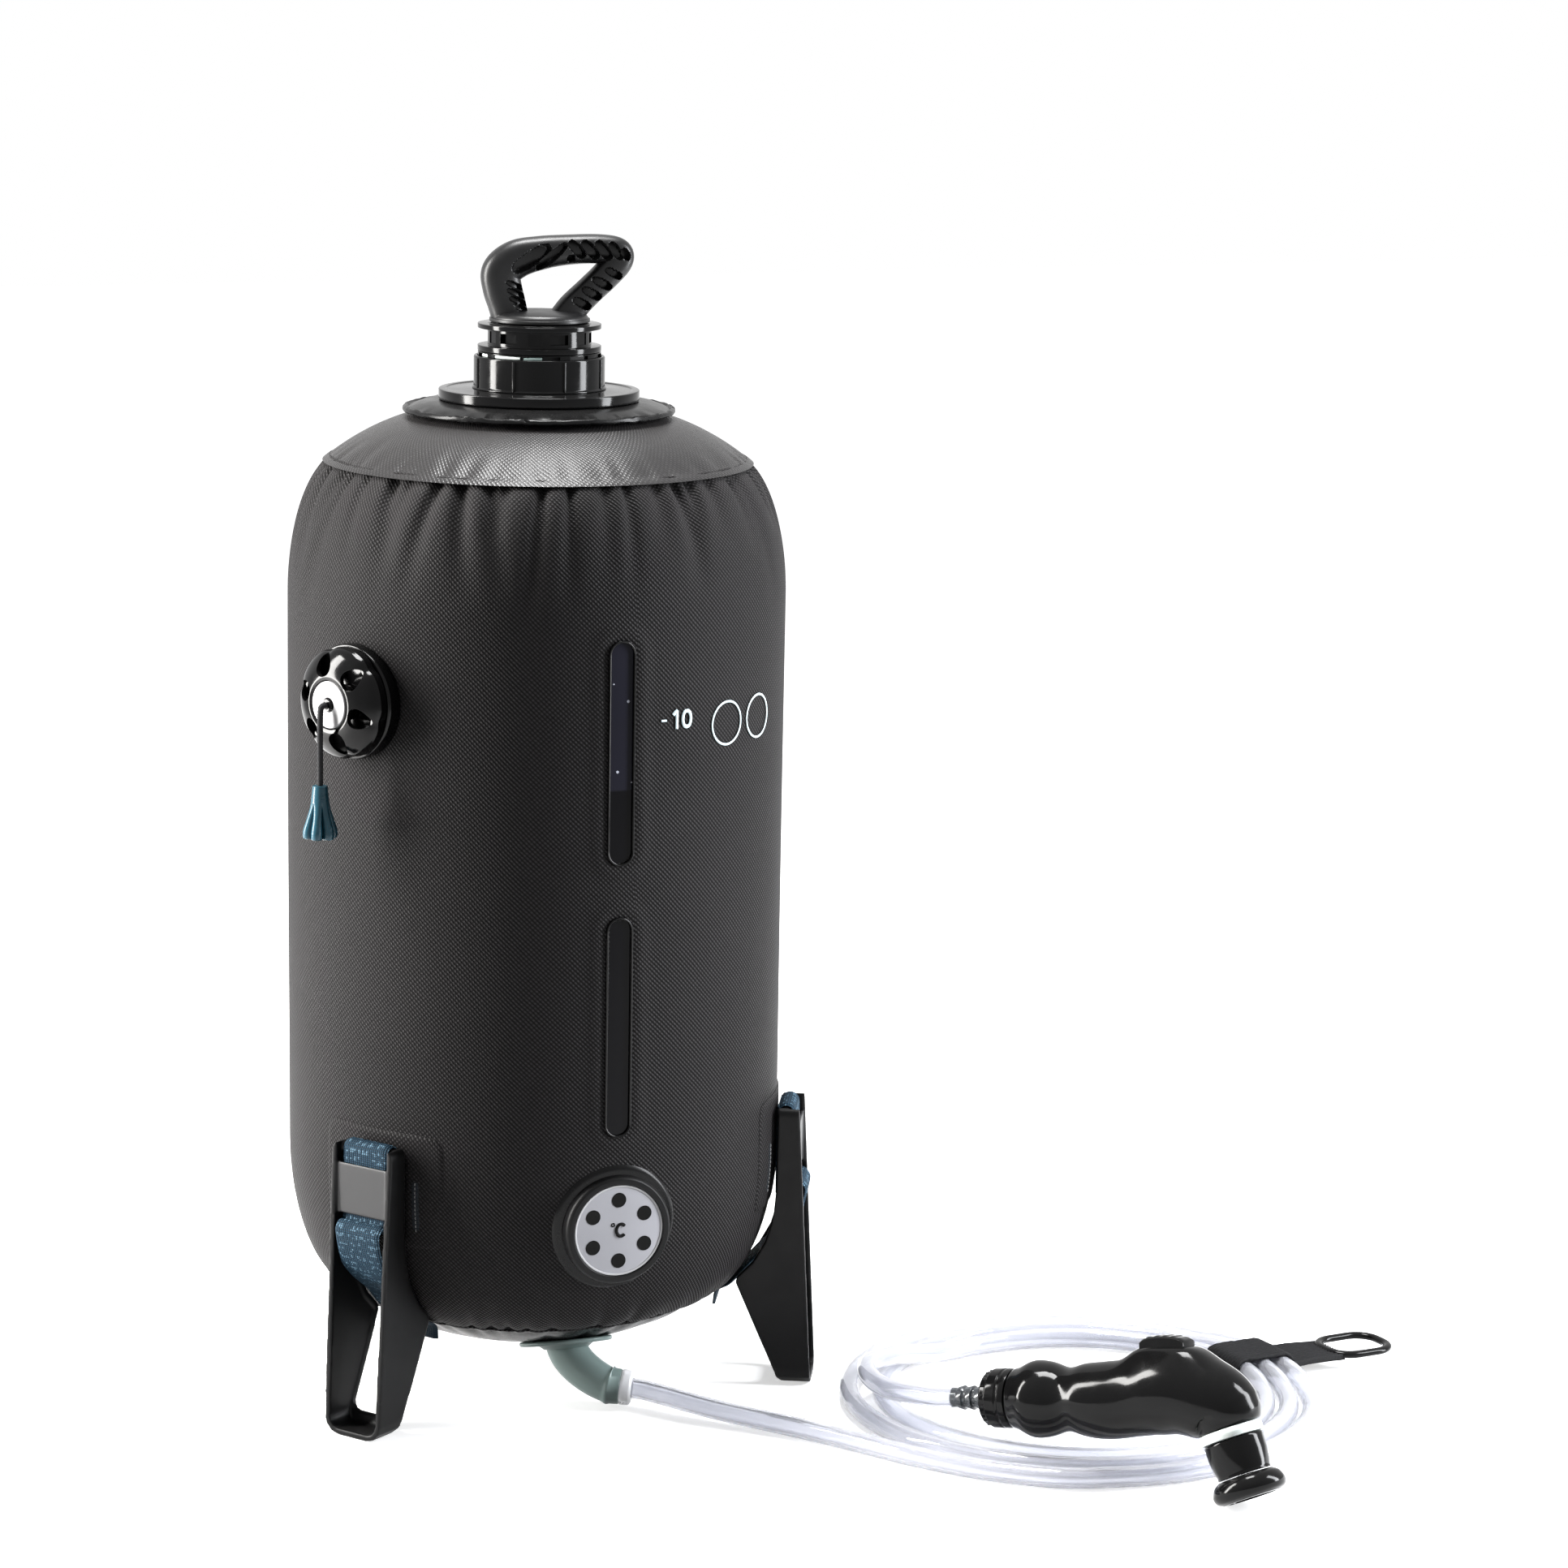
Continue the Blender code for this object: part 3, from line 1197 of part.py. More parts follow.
def outlet(bottom, liner):
    """Flanged elbow under the bag, its backnut inside and the pale collar at its mouth."""
    reach = OUTLET_REACH
    tilt = facing_out(OUTLET_AZIMUTH, reach, base_height(reach)) @ Matrix.Rotation(-OUTLET_TILT, 4, "X")
    flange_top = BACKNUT_HEIGHT / 2
    # Local Y points up out of the bag's bottom, so discs stand across it
    upward = tilt @ Matrix.Rotation(-math.pi / 2, 4, "X")
    low = -OUTLET_FLANGE_THICKNESS
    direction = Vector((math.cos(OUTLET_HEADING), math.sin(OUTLET_HEADING), -math.sin(OUTLET_DIP))).normalized()
    neck_start = upward @ Vector((0, 0, low / 2))
    down = (upward.to_3x3() @ Vector((0, 0, -1))).normalized()
    knee = neck_start + down * OUTLET_NECK_RADIUS * 1.1
    straight = OUTLET_END - direction * OUTLET_MOUTH_RADIUS / 2
    bend = interpolate_bezier(neck_start, knee, straight - direction * OUTLET_MOUTH_RADIUS / 2, straight, 9)
    points = [*bend, OUTLET_END]
    shares = [1 + (OUTLET_MOUTH_RADIUS / OUTLET_NECK_RADIUS - 1) * i / 9 for i in range(10)]
    elbow = as_mesh(tube("outlet_elbow", points, OUTLET_NECK_RADIUS, 3, shares))
    flange = drum("outlet_flange", OUTLET_FLANGE_RADIUS, low, flange_top)
    combine(elbow, seat(flange, upward), "UNION")
    wall = thicken(turned("outlet_backing", [(r, base_height(r)) for r in
                   (BASE_SEAM_RADIUS * (1 - i / 4) for i in range(5))], BAG_STEPS), BACKNUT_HEIGHT)
    inner = [neck_start - down * 2 * OVERRUN] + points[1:-1] + [OUTLET_END + direction * OVERRUN]
    bore = as_mesh(tube("outlet_bore", inner, OUTLET_BORE / 2))
    combine(elbow, seat(bore, HERE))
    combine(elbow, seat(wall, HERE))
    seat(elbow, HERE, TEAL)

    hole = drum("outlet_hole", OUTLET_BORE, -BACKNUT_HEIGHT, BACKNUT_HEIGHT, SMALL_STEPS)
    combine(bottom, seat(hole, upward))
    through = drum("liner_outlet_hole", OUTLET_BORE, -BACKNUT_HEIGHT, 3 * BACKNUT_HEIGHT, SMALL_STEPS)
    combine(liner, seat(through, upward))

    start_face = OUTLET_END + direction * GAP
    collar_place = along(direction, start_face)
    collar = ring("hose_collar", HOSE_RADIUS + GAP, HOSE_COLLAR_RADIUS, 0, HOSE_COLLAR_LENGTH, SMALL_STEPS)
    seat(soften(collar, HOSE_COLLAR_RADIUS / 12), collar_place, PALE)
    return start_face + direction * GAP, direction


def coil_point(turn):
    """A point of the coil after a number of turns."""
    angle = COIL_START + math.tau * turn
    lean = math.cos(angle - TIE_ANGLE)
    radius = COIL_RADIUS - COIL_PITCH * turn * (1 - COIL_GATHER * lean)
    away = abs((angle - TIE_ANGLE + math.pi) % math.tau - math.pi) / TIE_LIFT_SPREAD
    lift = TIE_LIFT * max(0, 1 - away ** 4) ** 2
    height = HOSE_RADIUS + HOSE_FLOOR_GAP + lift
    return COIL_CENTRE + Vector((radius * math.cos(angle), radius * math.sin(angle), height))


def least_self_gap(points, radius, skip):
    """The least space between parts of a tube that aren't neighbours along it."""
    least = math.inf
    for i, a in enumerate(points):
        for b in points[i + skip:]:
            least = min(least, (a - b).length - 2 * radius)
    return least


def free_stretch(first, leaving, route, last, arriving):
    """A smooth path through a route, with a straight diameter at each end."""
    straight = 2 * HOSE_RADIUS
    middle = [first + leaving * straight, *route, last - arriving * straight]
    return smooth_path(middle, HOSE_SPACING, (first, last))


def hose(start_point, start_direction):
    """The hose in three pieces: its lead from the bag, its loops, and its end at the handset."""
    count = round(COIL_TURNS * COIL_POINTS_A_TURN)
    loops = [coil_point(COIL_TURNS * i / count) for i in range(count + 1)]
    print("least gap of the coil to itself, mm:", round(1000 * least_self_gap(loops, HOSE_RADIUS, 12), 2))
    seat(tube("hose_coil", loops, HOSE_RADIUS, 1), HERE, CLEAR)

    entering = (loops[1] - loops[0]).normalized()
    leaving = (loops[-1] - loops[-2]).normalized()
    lead_end = loops[0] - entering * GAP
    lead = free_stretch(start_point, start_direction, LEAD_ROUTE, lead_end, entering)
    seat(tube("hose_lead", lead, HOSE_RADIUS), HERE, CLEAR)

    handle = handset_place().to_3x3() @ Vector((1, 0, 0))
    tail_end = handset_place().to_translation() - handle * GAP
    tail = free_stretch(loops[-1] + leaving * GAP, leaving, TAIL_ROUTE, tail_end, handle)
    seat(tube("hose_tail", tail, HOSE_RADIUS), HERE, CLEAR)


def tied_strands():
    """Middle points of the straight pieces of the outer and inner strands under the tie."""
    first = math.floor((TIE_ANGLE - COIL_START) / math.tau * COIL_POINTS_A_TURN)
    pieces = [(coil_point(i / COIL_POINTS_A_TURN), coil_point((i + 1) / COIL_POINTS_A_TURN))
              for i in (first, first + 2 * COIL_POINTS_A_TURN)]
    return [(a + b) / 2 for a, b in pieces]


def tie_place():
    """At the middle strand under the tie: X runs outwards, Y along the hose, Z up."""
    outer, inner = tied_strands()
    return Matrix.Translation((outer + inner) / 2) @ Matrix.Rotation(TIE_ANGLE, 4, "Z")


def hose_tie():
    """A hook-and-loop band round the loops, its tongue and the plastic ring on it."""
    place = tie_place()
    outer, inner = tied_strands()
    half_span = (outer - inner).length / 2 + HOSE_RADIUS + TIE_ROOM
    height = HOSE_RADIUS + RUNNING_GAP
    outer_half = half_span + TIE_THICKNESS
    outline = stadium(2 * (height + TIE_THICKNESS), 2 * outer_half, 7)
    hole = stadium(2 * height, 2 * half_span, 7)
    # The outline is long in Y, so it is turned to lie along X and swept along the hose
    stand = place @ Matrix.Rotation(math.pi / 2, 4, "X") @ Matrix.Rotation(math.pi / 2, 4, "Z")
    band = as_mesh(plate("hose_tie", [outline, hole], TIE_WIDTH))
    tongue = block(
        "tie_tongue",
        (TIE_TONGUE, TIE_WIDTH, 2 * TIE_THICKNESS),
        (outer_half - TIE_THICKNESS / 2 + TIE_TONGUE / 2, 0, 0),
    )
    combine(band, seat(tongue, place), "UNION")
    seat(band, stand, PILE)

    reach = outer_half + TIE_TONGUE + GAP
    half_long = TIE_RING_LENGTH / 2 - TIE_RING_WIRE
    half_wide = TIE_RING_WIDTH / 2 - TIE_RING_WIRE
    corner = min(half_long, half_wide) * 0.7
    path = []
    for sx, sy, first in ((1, 1, 0), (-1, 1, 1), (-1, -1, 2), (1, -1, 3)):
        centre = (sx * (half_long - corner), sy * (half_wide - corner))
        for x, y in arc(centre, corner, first * math.pi / 2, (first + 1) * math.pi / 2, 4):
            path.append(Vector((reach + TIE_RING_LENGTH / 2 + x, y, 0)))
    loop = tube("tie_ring", path, TIE_RING_WIRE, closed=True)
    seat(loop, place, BLACK)


# Handset


def handset_place():
    """At the hose's end: X runs along the handle, Z up through the button."""
    turn = Matrix.Rotation(HANDSET_HEADING, 4, "Z") @ Matrix.Rotation(-HANDSET_PITCH, 4, "Y")
    return Matrix.Translation(HANDSET_INLET) @ turn @ Matrix.Rotation(-HANDSET_ROLL, 4, "X")


def head_place():
    """At the crossing of the handle's and the head's axes: Z runs down the head."""
    turn = Matrix.Rotation(math.pi / 2 + HEAD_ANGLE, 4, "Y")
    return handset_place() @ Matrix.Translation((HEAD_REACH, 0, 0)) @ turn


def handset_line():
    """The body's middle line and radii: along the handle, up, radius."""
    first = BARB_LENGTH + INLET_COLLAR_LENGTH + GAP
    grip = BUTTON_REACH - first
    down_head = [
        (HEAD_REACH + HEAD_JOINT * math.cos(HEAD_ANGLE) * share, -HEAD_JOINT * math.sin(HEAD_ANGLE) * share)
        for share in (0.65, 1)
    ]
    rise = HEAD_SHOULDER_RADIUS - HEAD_RADIUS
    return [
        (first, 0, INLET_COLLAR_RADIUS),
        (first + grip * 0.05, 0, GRIP_WAIST_RADIUS),
        (first + grip * 0.14, 0, GRIP_BULB_RADIUS),
        (first + grip * 0.24, 0, GRIP_BULB_RADIUS * 0.97),
        (first + grip * 0.36, 0, GRIP_WAIST_RADIUS),
        (first + grip * 0.48, 0, GRIP_RADIUS * 0.95),
        (first + grip * 0.62, 0, GRIP_RADIUS),
        (first + grip * 0.80, rise * 0.3, GRIP_RADIUS),
        (first + grip * 0.96, rise * 0.7, HEAD_SHOULDER_RADIUS * 0.99),
        (first + grip * 1.10, rise * 0.8, HEAD_SHOULDER_RADIUS),
        (HEAD_REACH - HEAD_RADIUS * 0.35, rise * 0.1, HEAD_SHOULDER_RADIUS * 0.96),
        (HEAD_REACH + HEAD_RADIUS * 0.14, -HEAD_JOINT * 0.3, HEAD_SHOULDER_RADIUS * 0.88),
        (*down_head[0], HEAD_RADIUS * 1.05),
        (*down_head[1], HEAD_RADIUS),
    ]


def handset():
    """Hose barb, inlet collar, body, button with its spring and pin, band, sleeve and spray knob."""
    place = handset_place()
    lengthwise = place @ Matrix.Rotation(math.pi / 2, 4, "Y")
    barb_bore = WATERWAY_RADIUS - RUNNING_GAP
    pitch = BARB_LENGTH / (BARB_RIDGES + 1)
    outline = [(barb_bore, BARB_LENGTH), (BARB_RADIUS, BARB_LENGTH)]
    for i in range(BARB_RIDGES):
        high = BARB_LENGTH - pitch * (i + 1 / 2)
        outline += [(BARB_RADIUS, high), (BARB_RADIUS * 0.86, high), (BARB_RADIUS, high - pitch * 0.6)]
    outline += [(BARB_RADIUS * 0.86, 0), (barb_bore, 0)]
    seat(turned("hose_barb", outline, SMALL_STEPS, closed=True), lengthwise, CLEAR)

    low = BARB_LENGTH + GAP
    step = INLET_COLLAR_RADIUS * 0.9
    outline = [
        (WATERWAY_RADIUS, BARB_LENGTH + INLET_COLLAR_LENGTH),
        (INLET_COLLAR_RADIUS, BARB_LENGTH + INLET_COLLAR_LENGTH),
        (INLET_COLLAR_RADIUS, low + INLET_COLLAR_LENGTH * 0.28),
        (step, low + INLET_COLLAR_LENGTH * 0.24),
        (step, low),
        (WATERWAY_RADIUS, low),
    ]
    seat(turned("inlet_collar", outline, ROUND_STEPS, closed=True), lengthwise, BLACK)

    line = handset_line()
    points = [(x, 0, z) for x, z, _ in line]
    shares = [radius / GRIP_RADIUS for _, _, radius in line]
    body = as_mesh(tube("handset_body", points, GRIP_RADIUS, 4, shares))
    inner = [(points[0][0] - OVERRUN, 0, 0)] + points[1:-1]
    down = Vector((math.cos(HEAD_ANGLE), 0, -math.sin(HEAD_ANGLE)))
    inner.append(Vector(points[-1]) + down * OVERRUN)
    waterway = as_mesh(tube("waterway", inner, WATERWAY_RADIUS, 1))
    combine(body, seat(waterway, place))
    pocket_floor = BUTTON_TOP - BUTTON_DEPTH - BUTTON_TRAVEL - GAP
    pocket_top = BUTTON_TOP + OVERRUN
    size = (BUTTON_LENGTH + 2 * BUTTON_GAP, BUTTON_WIDTH + 2 * BUTTON_GAP, pocket_top - pocket_floor)
    pocket = block("button_pocket", size, (BUTTON_REACH, 0, (pocket_top + pocket_floor) / 2))
    combine(body, seat(pocket, place))
    pin_hole = drum("pin_hole", PIN_RADIUS + RUNNING_GAP, 0, BUTTON_TOP, 8)
    upright = place @ Matrix.Translation((BUTTON_REACH, 0, 0))
    combine(body, seat(pin_hole, upright))
    seat(body, place, BLACK)

    press = pivot("button_axis", place @ Vector((BUTTON_REACH, 0, BUTTON_TOP)))
    under = BUTTON_TOP - BUTTON_DEPTH
    button = block(
        "thumb_button", (BUTTON_LENGTH, BUTTON_WIDTH, BUTTON_DEPTH), (BUTTON_REACH, 0, (BUTTON_TOP + under) / 2)
    )
    soften(button, BUTTON_WIDTH / 8, 2)
    well_top = under + BUTTON_DEPTH / 2
    well = ring("spring_well", PIN_RADIUS + GAP, BUTTON_SPRING_RADIUS + GAP, under - OVERRUN, well_top, 12)
    combine(button, seat(well, upright))
    seat(button, place, BLACK, press)
    pin_low = WATERWAY_RADIUS * 0.7 + line[8][1]
    pin = drum("valve_pin", PIN_RADIUS, pin_low, under - GAP, 8)
    seat(pin, upright, STEEL, press)
    spring_top = well_top - GAP
    spring = ring(
        "button_spring",
        BUTTON_SPRING_RADIUS - BUTTON_SPRING_WALL,
        BUTTON_SPRING_RADIUS,
        pocket_floor + GAP,
        spring_top,
        12,
    )
    seat(spring, upright, STEEL)

    down_head = head_place()
    low = HEAD_JOINT + GAP
    high = low + BAND_WIDTH
    seat(ring("head_band", WATERWAY_RADIUS, HEAD_RADIUS, low, high), down_head, PALE)
    low = high + GAP
    high = low + SLEEVE_LENGTH
    seat(ring("head_sleeve", WATERWAY_RADIUS, SLEEVE_RADIUS, low, high), down_head, BLACK)
    low = high + GAP
    high = low + KNOB_LENGTH
    recess = high - SPRAY_PLATE_THICKNESS * 1.4
    plate_edge = SPRAY_PLATE_RADIUS + GAP
    outline = [
        (plate_edge, high),
        (KNOB_RADIUS * 0.8, high),
        (KNOB_RADIUS * 0.96, high - KNOB_LENGTH * 0.18),
        (KNOB_RADIUS, high - KNOB_LENGTH * 0.42),
        (KNOB_RADIUS * 0.95, high - KNOB_LENGTH * 0.72),
        (KNOB_RADIUS * 0.84, low),
        (WATERWAY_RADIUS, low),
        (WATERWAY_RADIUS, recess - GAP - SPRAY_PLATE_THICKNESS),
        (plate_edge, recess - GAP - SPRAY_PLATE_THICKNESS),
    ]
    spin = pivot("spray_axis", down_head @ Vector((0, 0, low)))
    seat(turned("spray_knob", outline, ROUND_STEPS, closed=True), down_head, BLACK, spin)
    face = drum("spray_plate", SPRAY_PLATE_RADIUS, recess - SPRAY_PLATE_THICKNESS, recess)
    holes = []
    for i in range(SPRAY_HOLES):
        turn = Matrix.Rotation(math.tau * i / SPRAY_HOLES, 4, "Z")
        hole = block("jet", (2 * SPRAY_HOLE_RADIUS,) * 2 + (4 * SPRAY_PLATE_THICKNESS,))
        holes.append((hole, turn @ Matrix.Translation((SPRAY_PLATE_RADIUS * 0.7, 0, recess))))
    combine(face, seat(joined("spray_holes", holes), down_head))
    seat(face, down_head, SATIN, spin)


def main():
    side, bottom, liner = fabric_bag()
    filler_neck()
    screw_collar()
    plunger(*pump_unit())
    window("upper_window", UPPER_WINDOW_CENTRE)
    window("lower_window", LOWER_WINDOW_CENTRE)
    thermometer()
    vent_valve(side, liner)
    for number in range(LEG_COUNT):
        leg_and_webbing(number)
    hose(*outlet(bottom, liner))
    hose_tie()
    handset()


main()
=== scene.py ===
"""The looks of a pressurised camp shower, built round its packed solids.

Metres, +Z up. Sizes are laid out about the bag's axis, with the floor at 0, and an azimuth
is counted from the bag's front towards +X. BAG brings them to where the solids stand.
"""

import math

import bmesh
import bpy
import numpy as np
from mathutils import Matrix, Vector
from mathutils.geometry import interpolate_bezier


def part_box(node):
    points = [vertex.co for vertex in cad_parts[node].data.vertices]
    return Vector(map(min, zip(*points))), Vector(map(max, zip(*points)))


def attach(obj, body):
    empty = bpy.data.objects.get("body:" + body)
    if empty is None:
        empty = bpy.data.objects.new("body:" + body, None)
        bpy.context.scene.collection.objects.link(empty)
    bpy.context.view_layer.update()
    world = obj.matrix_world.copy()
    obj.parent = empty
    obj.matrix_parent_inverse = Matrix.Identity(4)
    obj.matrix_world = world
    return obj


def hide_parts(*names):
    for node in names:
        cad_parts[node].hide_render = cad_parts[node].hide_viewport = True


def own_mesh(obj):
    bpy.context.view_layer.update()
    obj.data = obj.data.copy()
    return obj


bl_info = {
    "name": "Camp shower bag",
    "version": (1, 0, 0),
    "blender": (4, 5, 0),
    "location": "View3D > Sidebar > Camp shower",
    "description": "Cloth, hose, trim and stage of a pressurised camp shower",
    "category": "Object",
}

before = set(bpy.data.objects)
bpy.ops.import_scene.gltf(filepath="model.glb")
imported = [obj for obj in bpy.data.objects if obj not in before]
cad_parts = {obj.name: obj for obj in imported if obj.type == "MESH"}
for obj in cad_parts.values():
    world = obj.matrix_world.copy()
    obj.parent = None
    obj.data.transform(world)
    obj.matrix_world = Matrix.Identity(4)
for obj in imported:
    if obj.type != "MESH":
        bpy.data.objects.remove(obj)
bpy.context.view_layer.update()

# The bag's axis on the floor
NECK_LOW, NECK_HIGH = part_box("filler_neck")
AXIS = (NECK_LOW + NECK_HIGH) / 2
BAG = Matrix.Translation((AXIS.x, AXIS.y, 0))

# Columns round the side panel, and round the other panels
SIDE_COLUMNS = 320
PANEL_COLUMNS = 240
# Seeds of the puckers at each seam, shared by the cloths that meet there
TOP_FOLDS = 7
BASE_FOLDS = 11

# Bag, as the solids have it
BAG_RADIUS = 0.1105
FABRIC = 0.0011
GAP = 0.0003
SHOULDER_START = 0.3602
TOP_SEAM_RADIUS = 0.0920
TOP_SEAM_HEIGHT = 0.4196
SHOULDER_TURN = math.radians(75)
BASE_CURVE_START = 0.1110
BASE_SEAM_RADIUS = 0.0800
BASE_SEAM_HEIGHT = 0.0427
DOME_RISE = 0.0235
BASE_SAG = 0.0215
WELD_RADIUS = 0.0601
WELD_HEIGHT = TOP_SEAM_HEIGHT + 0.0223
FLANGE_RADIUS = 0.0444
FLANGE_TOP = TOP_SEAM_HEIGHT + 0.0306
FLANGE_THICKNESS = 0.0045
NECK_BORE = 0.0235
NECK_OUTSIDE = 0.0262
NECK_TOP = TOP_SEAM_HEIGHT + 0.0406

# Pump, upwards from the collar
COLLAR_RADIUS = 0.0290
COLLAR_RIBS = 8
SEAT_LOW = NECK_TOP + 0.0016
CAGE_LOW = SEAT_LOW + 0.0015
DISC_LOW = CAGE_LOW + 0.0040
WAIST_LOW = DISC_LOW + 0.0024
CAP_LOW = WAIST_LOW + 0.0074
CAP_TOP = CAP_LOW + 0.0024
CAGE_RADIUS = 0.0272
DISC_RADIUS = 0.0273
WAIST_RADIUS = 0.0229
HANDLE_HEADING = math.radians(-12)
HANDLE_LOW = CAP_TOP + GAP

# Wall fittings
WINDOW_AZIMUTH = math.radians(-3.5)
WINDOW_WIDTH = 0.0120
WINDOW_LENGTH = 0.0977
WINDOW_CENTRES = {"upper_window": 0.3057, "lower_window": 0.1857}
THERMOMETER_HEIGHT = 0.0960
PATCH_RADIUS = 0.0285
BEZEL_RADIUS = 0.0227
BEZEL_DEPTH = 0.0042
DIAL_RADIUS = 0.0197
VALVE_AZIMUTH = math.radians(-67)
VALVE_HEIGHT = 0.3232
VALVE_FACE = 0.0045
VALVE_DEPTH = 0.0118
VALVE_RADIUS = 0.0242
VENT_WIRE = 0.0004
VENT_COIL_RADIUS = 0.0038
VENT_TURNS = 3
CORD_RADIUS = 0.0014
CORD_REACH = 0.0032
TOGGLE_DROP = 0.0345
TOGGLE_LENGTH = 0.0228

# Plain marks beside the upper window
MARK_HEIGHT = 0.3187
SIGN_HEIGHT = 0.3142
MARK_LIFT = 0.0009

# Legs and webbing
FIRST_LEG_AZIMUTH = math.radians(-60)
LEG_COUNT = 3
LEG_HEIGHT = 0.1300
LEG_INNER = 0.1125
LEG_OUTER = 0.1225
BAR_RADIUS = 0.0025
BAR_HEIGHT = LEG_HEIGHT - 0.0027
PLATE_TOP = LEG_HEIGHT - 0.0086
PLATE_BOTTOM = PLATE_TOP - 0.0228
WEBBING_WIDTH = 0.0248
WEBBING_THICKNESS = 0.0014
BAR_REACH = LEG_INNER + BAR_RADIUS + WEBBING_THICKNESS - 0.00015
# The webbing below the leg's plate: shares of the way out and of the way down
SLING_SHARES = (
    (0.012, 0.055),
    (0.066, 0.105),
    (0.066, 0.160),
    (0.031, 0.277),
    (-0.031, 0.400),
    (-0.150, 0.515),
    (-0.290, 0.603),
    (-0.430, 0.690),
)
ANCHOR_WIDTH = 0.0660
ANCHOR_HEIGHT = 0.0515
ANCHOR_CENTRE = 0.1100
STITCH_REACH = 0.0195

# Outlet and hose
OUTLET_AZIMUTH = math.radians(-5)
OUTLET_REACH = 0.0500
OUTLET_TILT = math.radians(17)
OUTLET_END = Vector((0.0135, -0.0703, 0.0092))
OUTLET_HEADING = math.radians(-31)
OUTLET_DIP = math.radians(5)
OUTLET_NECK_RADIUS = 0.0092
OUTLET_MOUTH_RADIUS = 0.0078
HOSE_RADIUS = 0.0045
HOSE_COLLAR_RADIUS = 0.0081
COIL_CENTRE = Vector((0.2024, -0.1453, 0.0))
COIL_RADIUS = 0.1107
COIL_PITCH = 0.0125
COIL_GATHER = 0.2
COIL_TURNS = 2.55
COIL_START = math.radians(-110)
TIE_ANGLE = math.radians(2.5)
TIE_LIFT = 0.0021
TIE_LIFT_SPREAD = math.radians(26)
# The hose from the outlet to the coil, and from the coil to the handset
LEAD_ROUTE = (
    (0.0434, -0.1062, 0.0060),
    (0.0666, -0.1364, 0.0046),
    (0.0839, -0.1651, 0.0046),
    (0.0987, -0.1923, 0.0046),
    (0.1185, -0.2194, 0.0046),
    (0.1412, -0.2397, 0.0046),
)
TAIL_ROUTE = (
    (0.1692, -0.0742, 0.0065),
    (0.1394, -0.0929, 0.0150),
    (0.1197, -0.1053, 0.0165),
    (0.1094, -0.1421, 0.0190),
)
TIE_WIDTH = 0.0255
TIE_THICKNESS = 0.0012
TIE_RIB_PITCH = 0.0021

# Handset
HANDSET_INLET = Vector((0.1266, -0.1763, 0.0225))
HANDSET_HEADING = math.radians(-54.8)
HANDSET_PITCH = math.radians(9.3)
HANDSET_ROLL = math.radians(11.1)
BARB_LENGTH = 0.0170
COLLAR_LENGTH = 0.0130
HEAD_REACH = 0.1276
HEAD_ANGLE = math.radians(71.4)
HEAD_JOINT = 0.0115
HEAD_RADIUS = 0.0133
HEAD_SHOULDER = 0.0180
SLEEVE_LENGTH = 0.0165
BUTTON_REACH = 0.1034
BUTTON_TOP = 0.0280

# Camera, about the bag's axis
CAMERA_PLACE = Vector((-0.76178, -1.84010, 0.65477))
CAMERA_RIGHT = Vector((0.90244, -0.43047, 0.01740))
CAMERA_UP = Vector((0.06552, 0.17704, 0.98202))
CAMERA_LENS = 103.448


# Stage
FLOOR_REACH = 6.0
FLOOR_DROP = 0.0002
FOCUS_HEIGHT = 0.26
# Azimuth in degrees, reach, height, width, length, its setting, and tint
LAMPS = {
    "left_softbox": (-110, 1.10, 0.62, 0.26, 1.2, "left_power", (1.0, 0.985, 0.96)),
    "right_softbox": (60, 1.20, 0.60, 0.28, 1.2, "right_power", (0.95, 0.97, 1.0)),
    "top_softbox": (157, 0.14, 1.50, 0.45, 0.45, "top_power", (1.0, 1.0, 1.0)),
}


# ---------------------------------------------------------------- meshes


def link(name, mesh, place=BAG):
    """A new object in the scene, with its place in its mesh."""
    mesh.transform(place)
    obj = bpy.data.objects.new(name, mesh)
    bpy.context.scene.collection.objects.link(obj)
    return obj


def settle(obj):
    """Apply an object's modifiers for good."""
    bpy.context.view_layer.update()
    graph = bpy.context.evaluated_depsgraph_get()
    mesh = bpy.data.meshes.new_from_object(
        obj.evaluated_get(graph), preserve_all_data_layers=True, depsgraph=graph
    )
    obj.modifiers.clear()
    obj.data = mesh
    return obj


def carve(target, tool, operation="DIFFERENCE"):
    """Cut or join two closed meshes for good."""
    modifier = target.modifiers.new("Carve", "BOOLEAN")
    modifier.object = tool
    modifier.operation = operation
    settle(target)
    bpy.data.objects.remove(tool)
    return target


def even_turns(count):
    """Even angles round a circle."""
    return np.arange(count) * math.tau / count


def sheet_mesh(name, points, uv=None, around=False, closed=False):
    """A mesh from a grid of points.

    Around joins the last column to the first, and closed the last row to the first.
    """
    rows, columns = points.shape[:2]
    if uv is None:
        uv = np.zeros((rows + 1, columns + 1, 2))
    mesh = bpy.data.meshes.new(name)
    r, c = np.meshgrid(np.arange(rows - (not closed)), np.arange(columns - (not around)), indexing="ij")
    r, c = r.ravel(), c.ravel()
    r2, c2 = (r + 1) % rows, (c + 1) % columns
    faces = np.stack([r * columns + c, r2 * columns + c, r2 * columns + c2, r * columns + c2], axis=1)
    mesh.from_pydata(points.reshape(-1, 3).tolist(), [], faces.tolist())
    corners = np.stack([uv[r, c], uv[r + 1, c], uv[r + 1, c + 1], uv[r, c + 1]], axis=1)
    layer = mesh.uv_layers.new(name="UVMap")
    layer.data.foreach_set("uv", corners.reshape(-1).astype(np.float32))
    return mesh


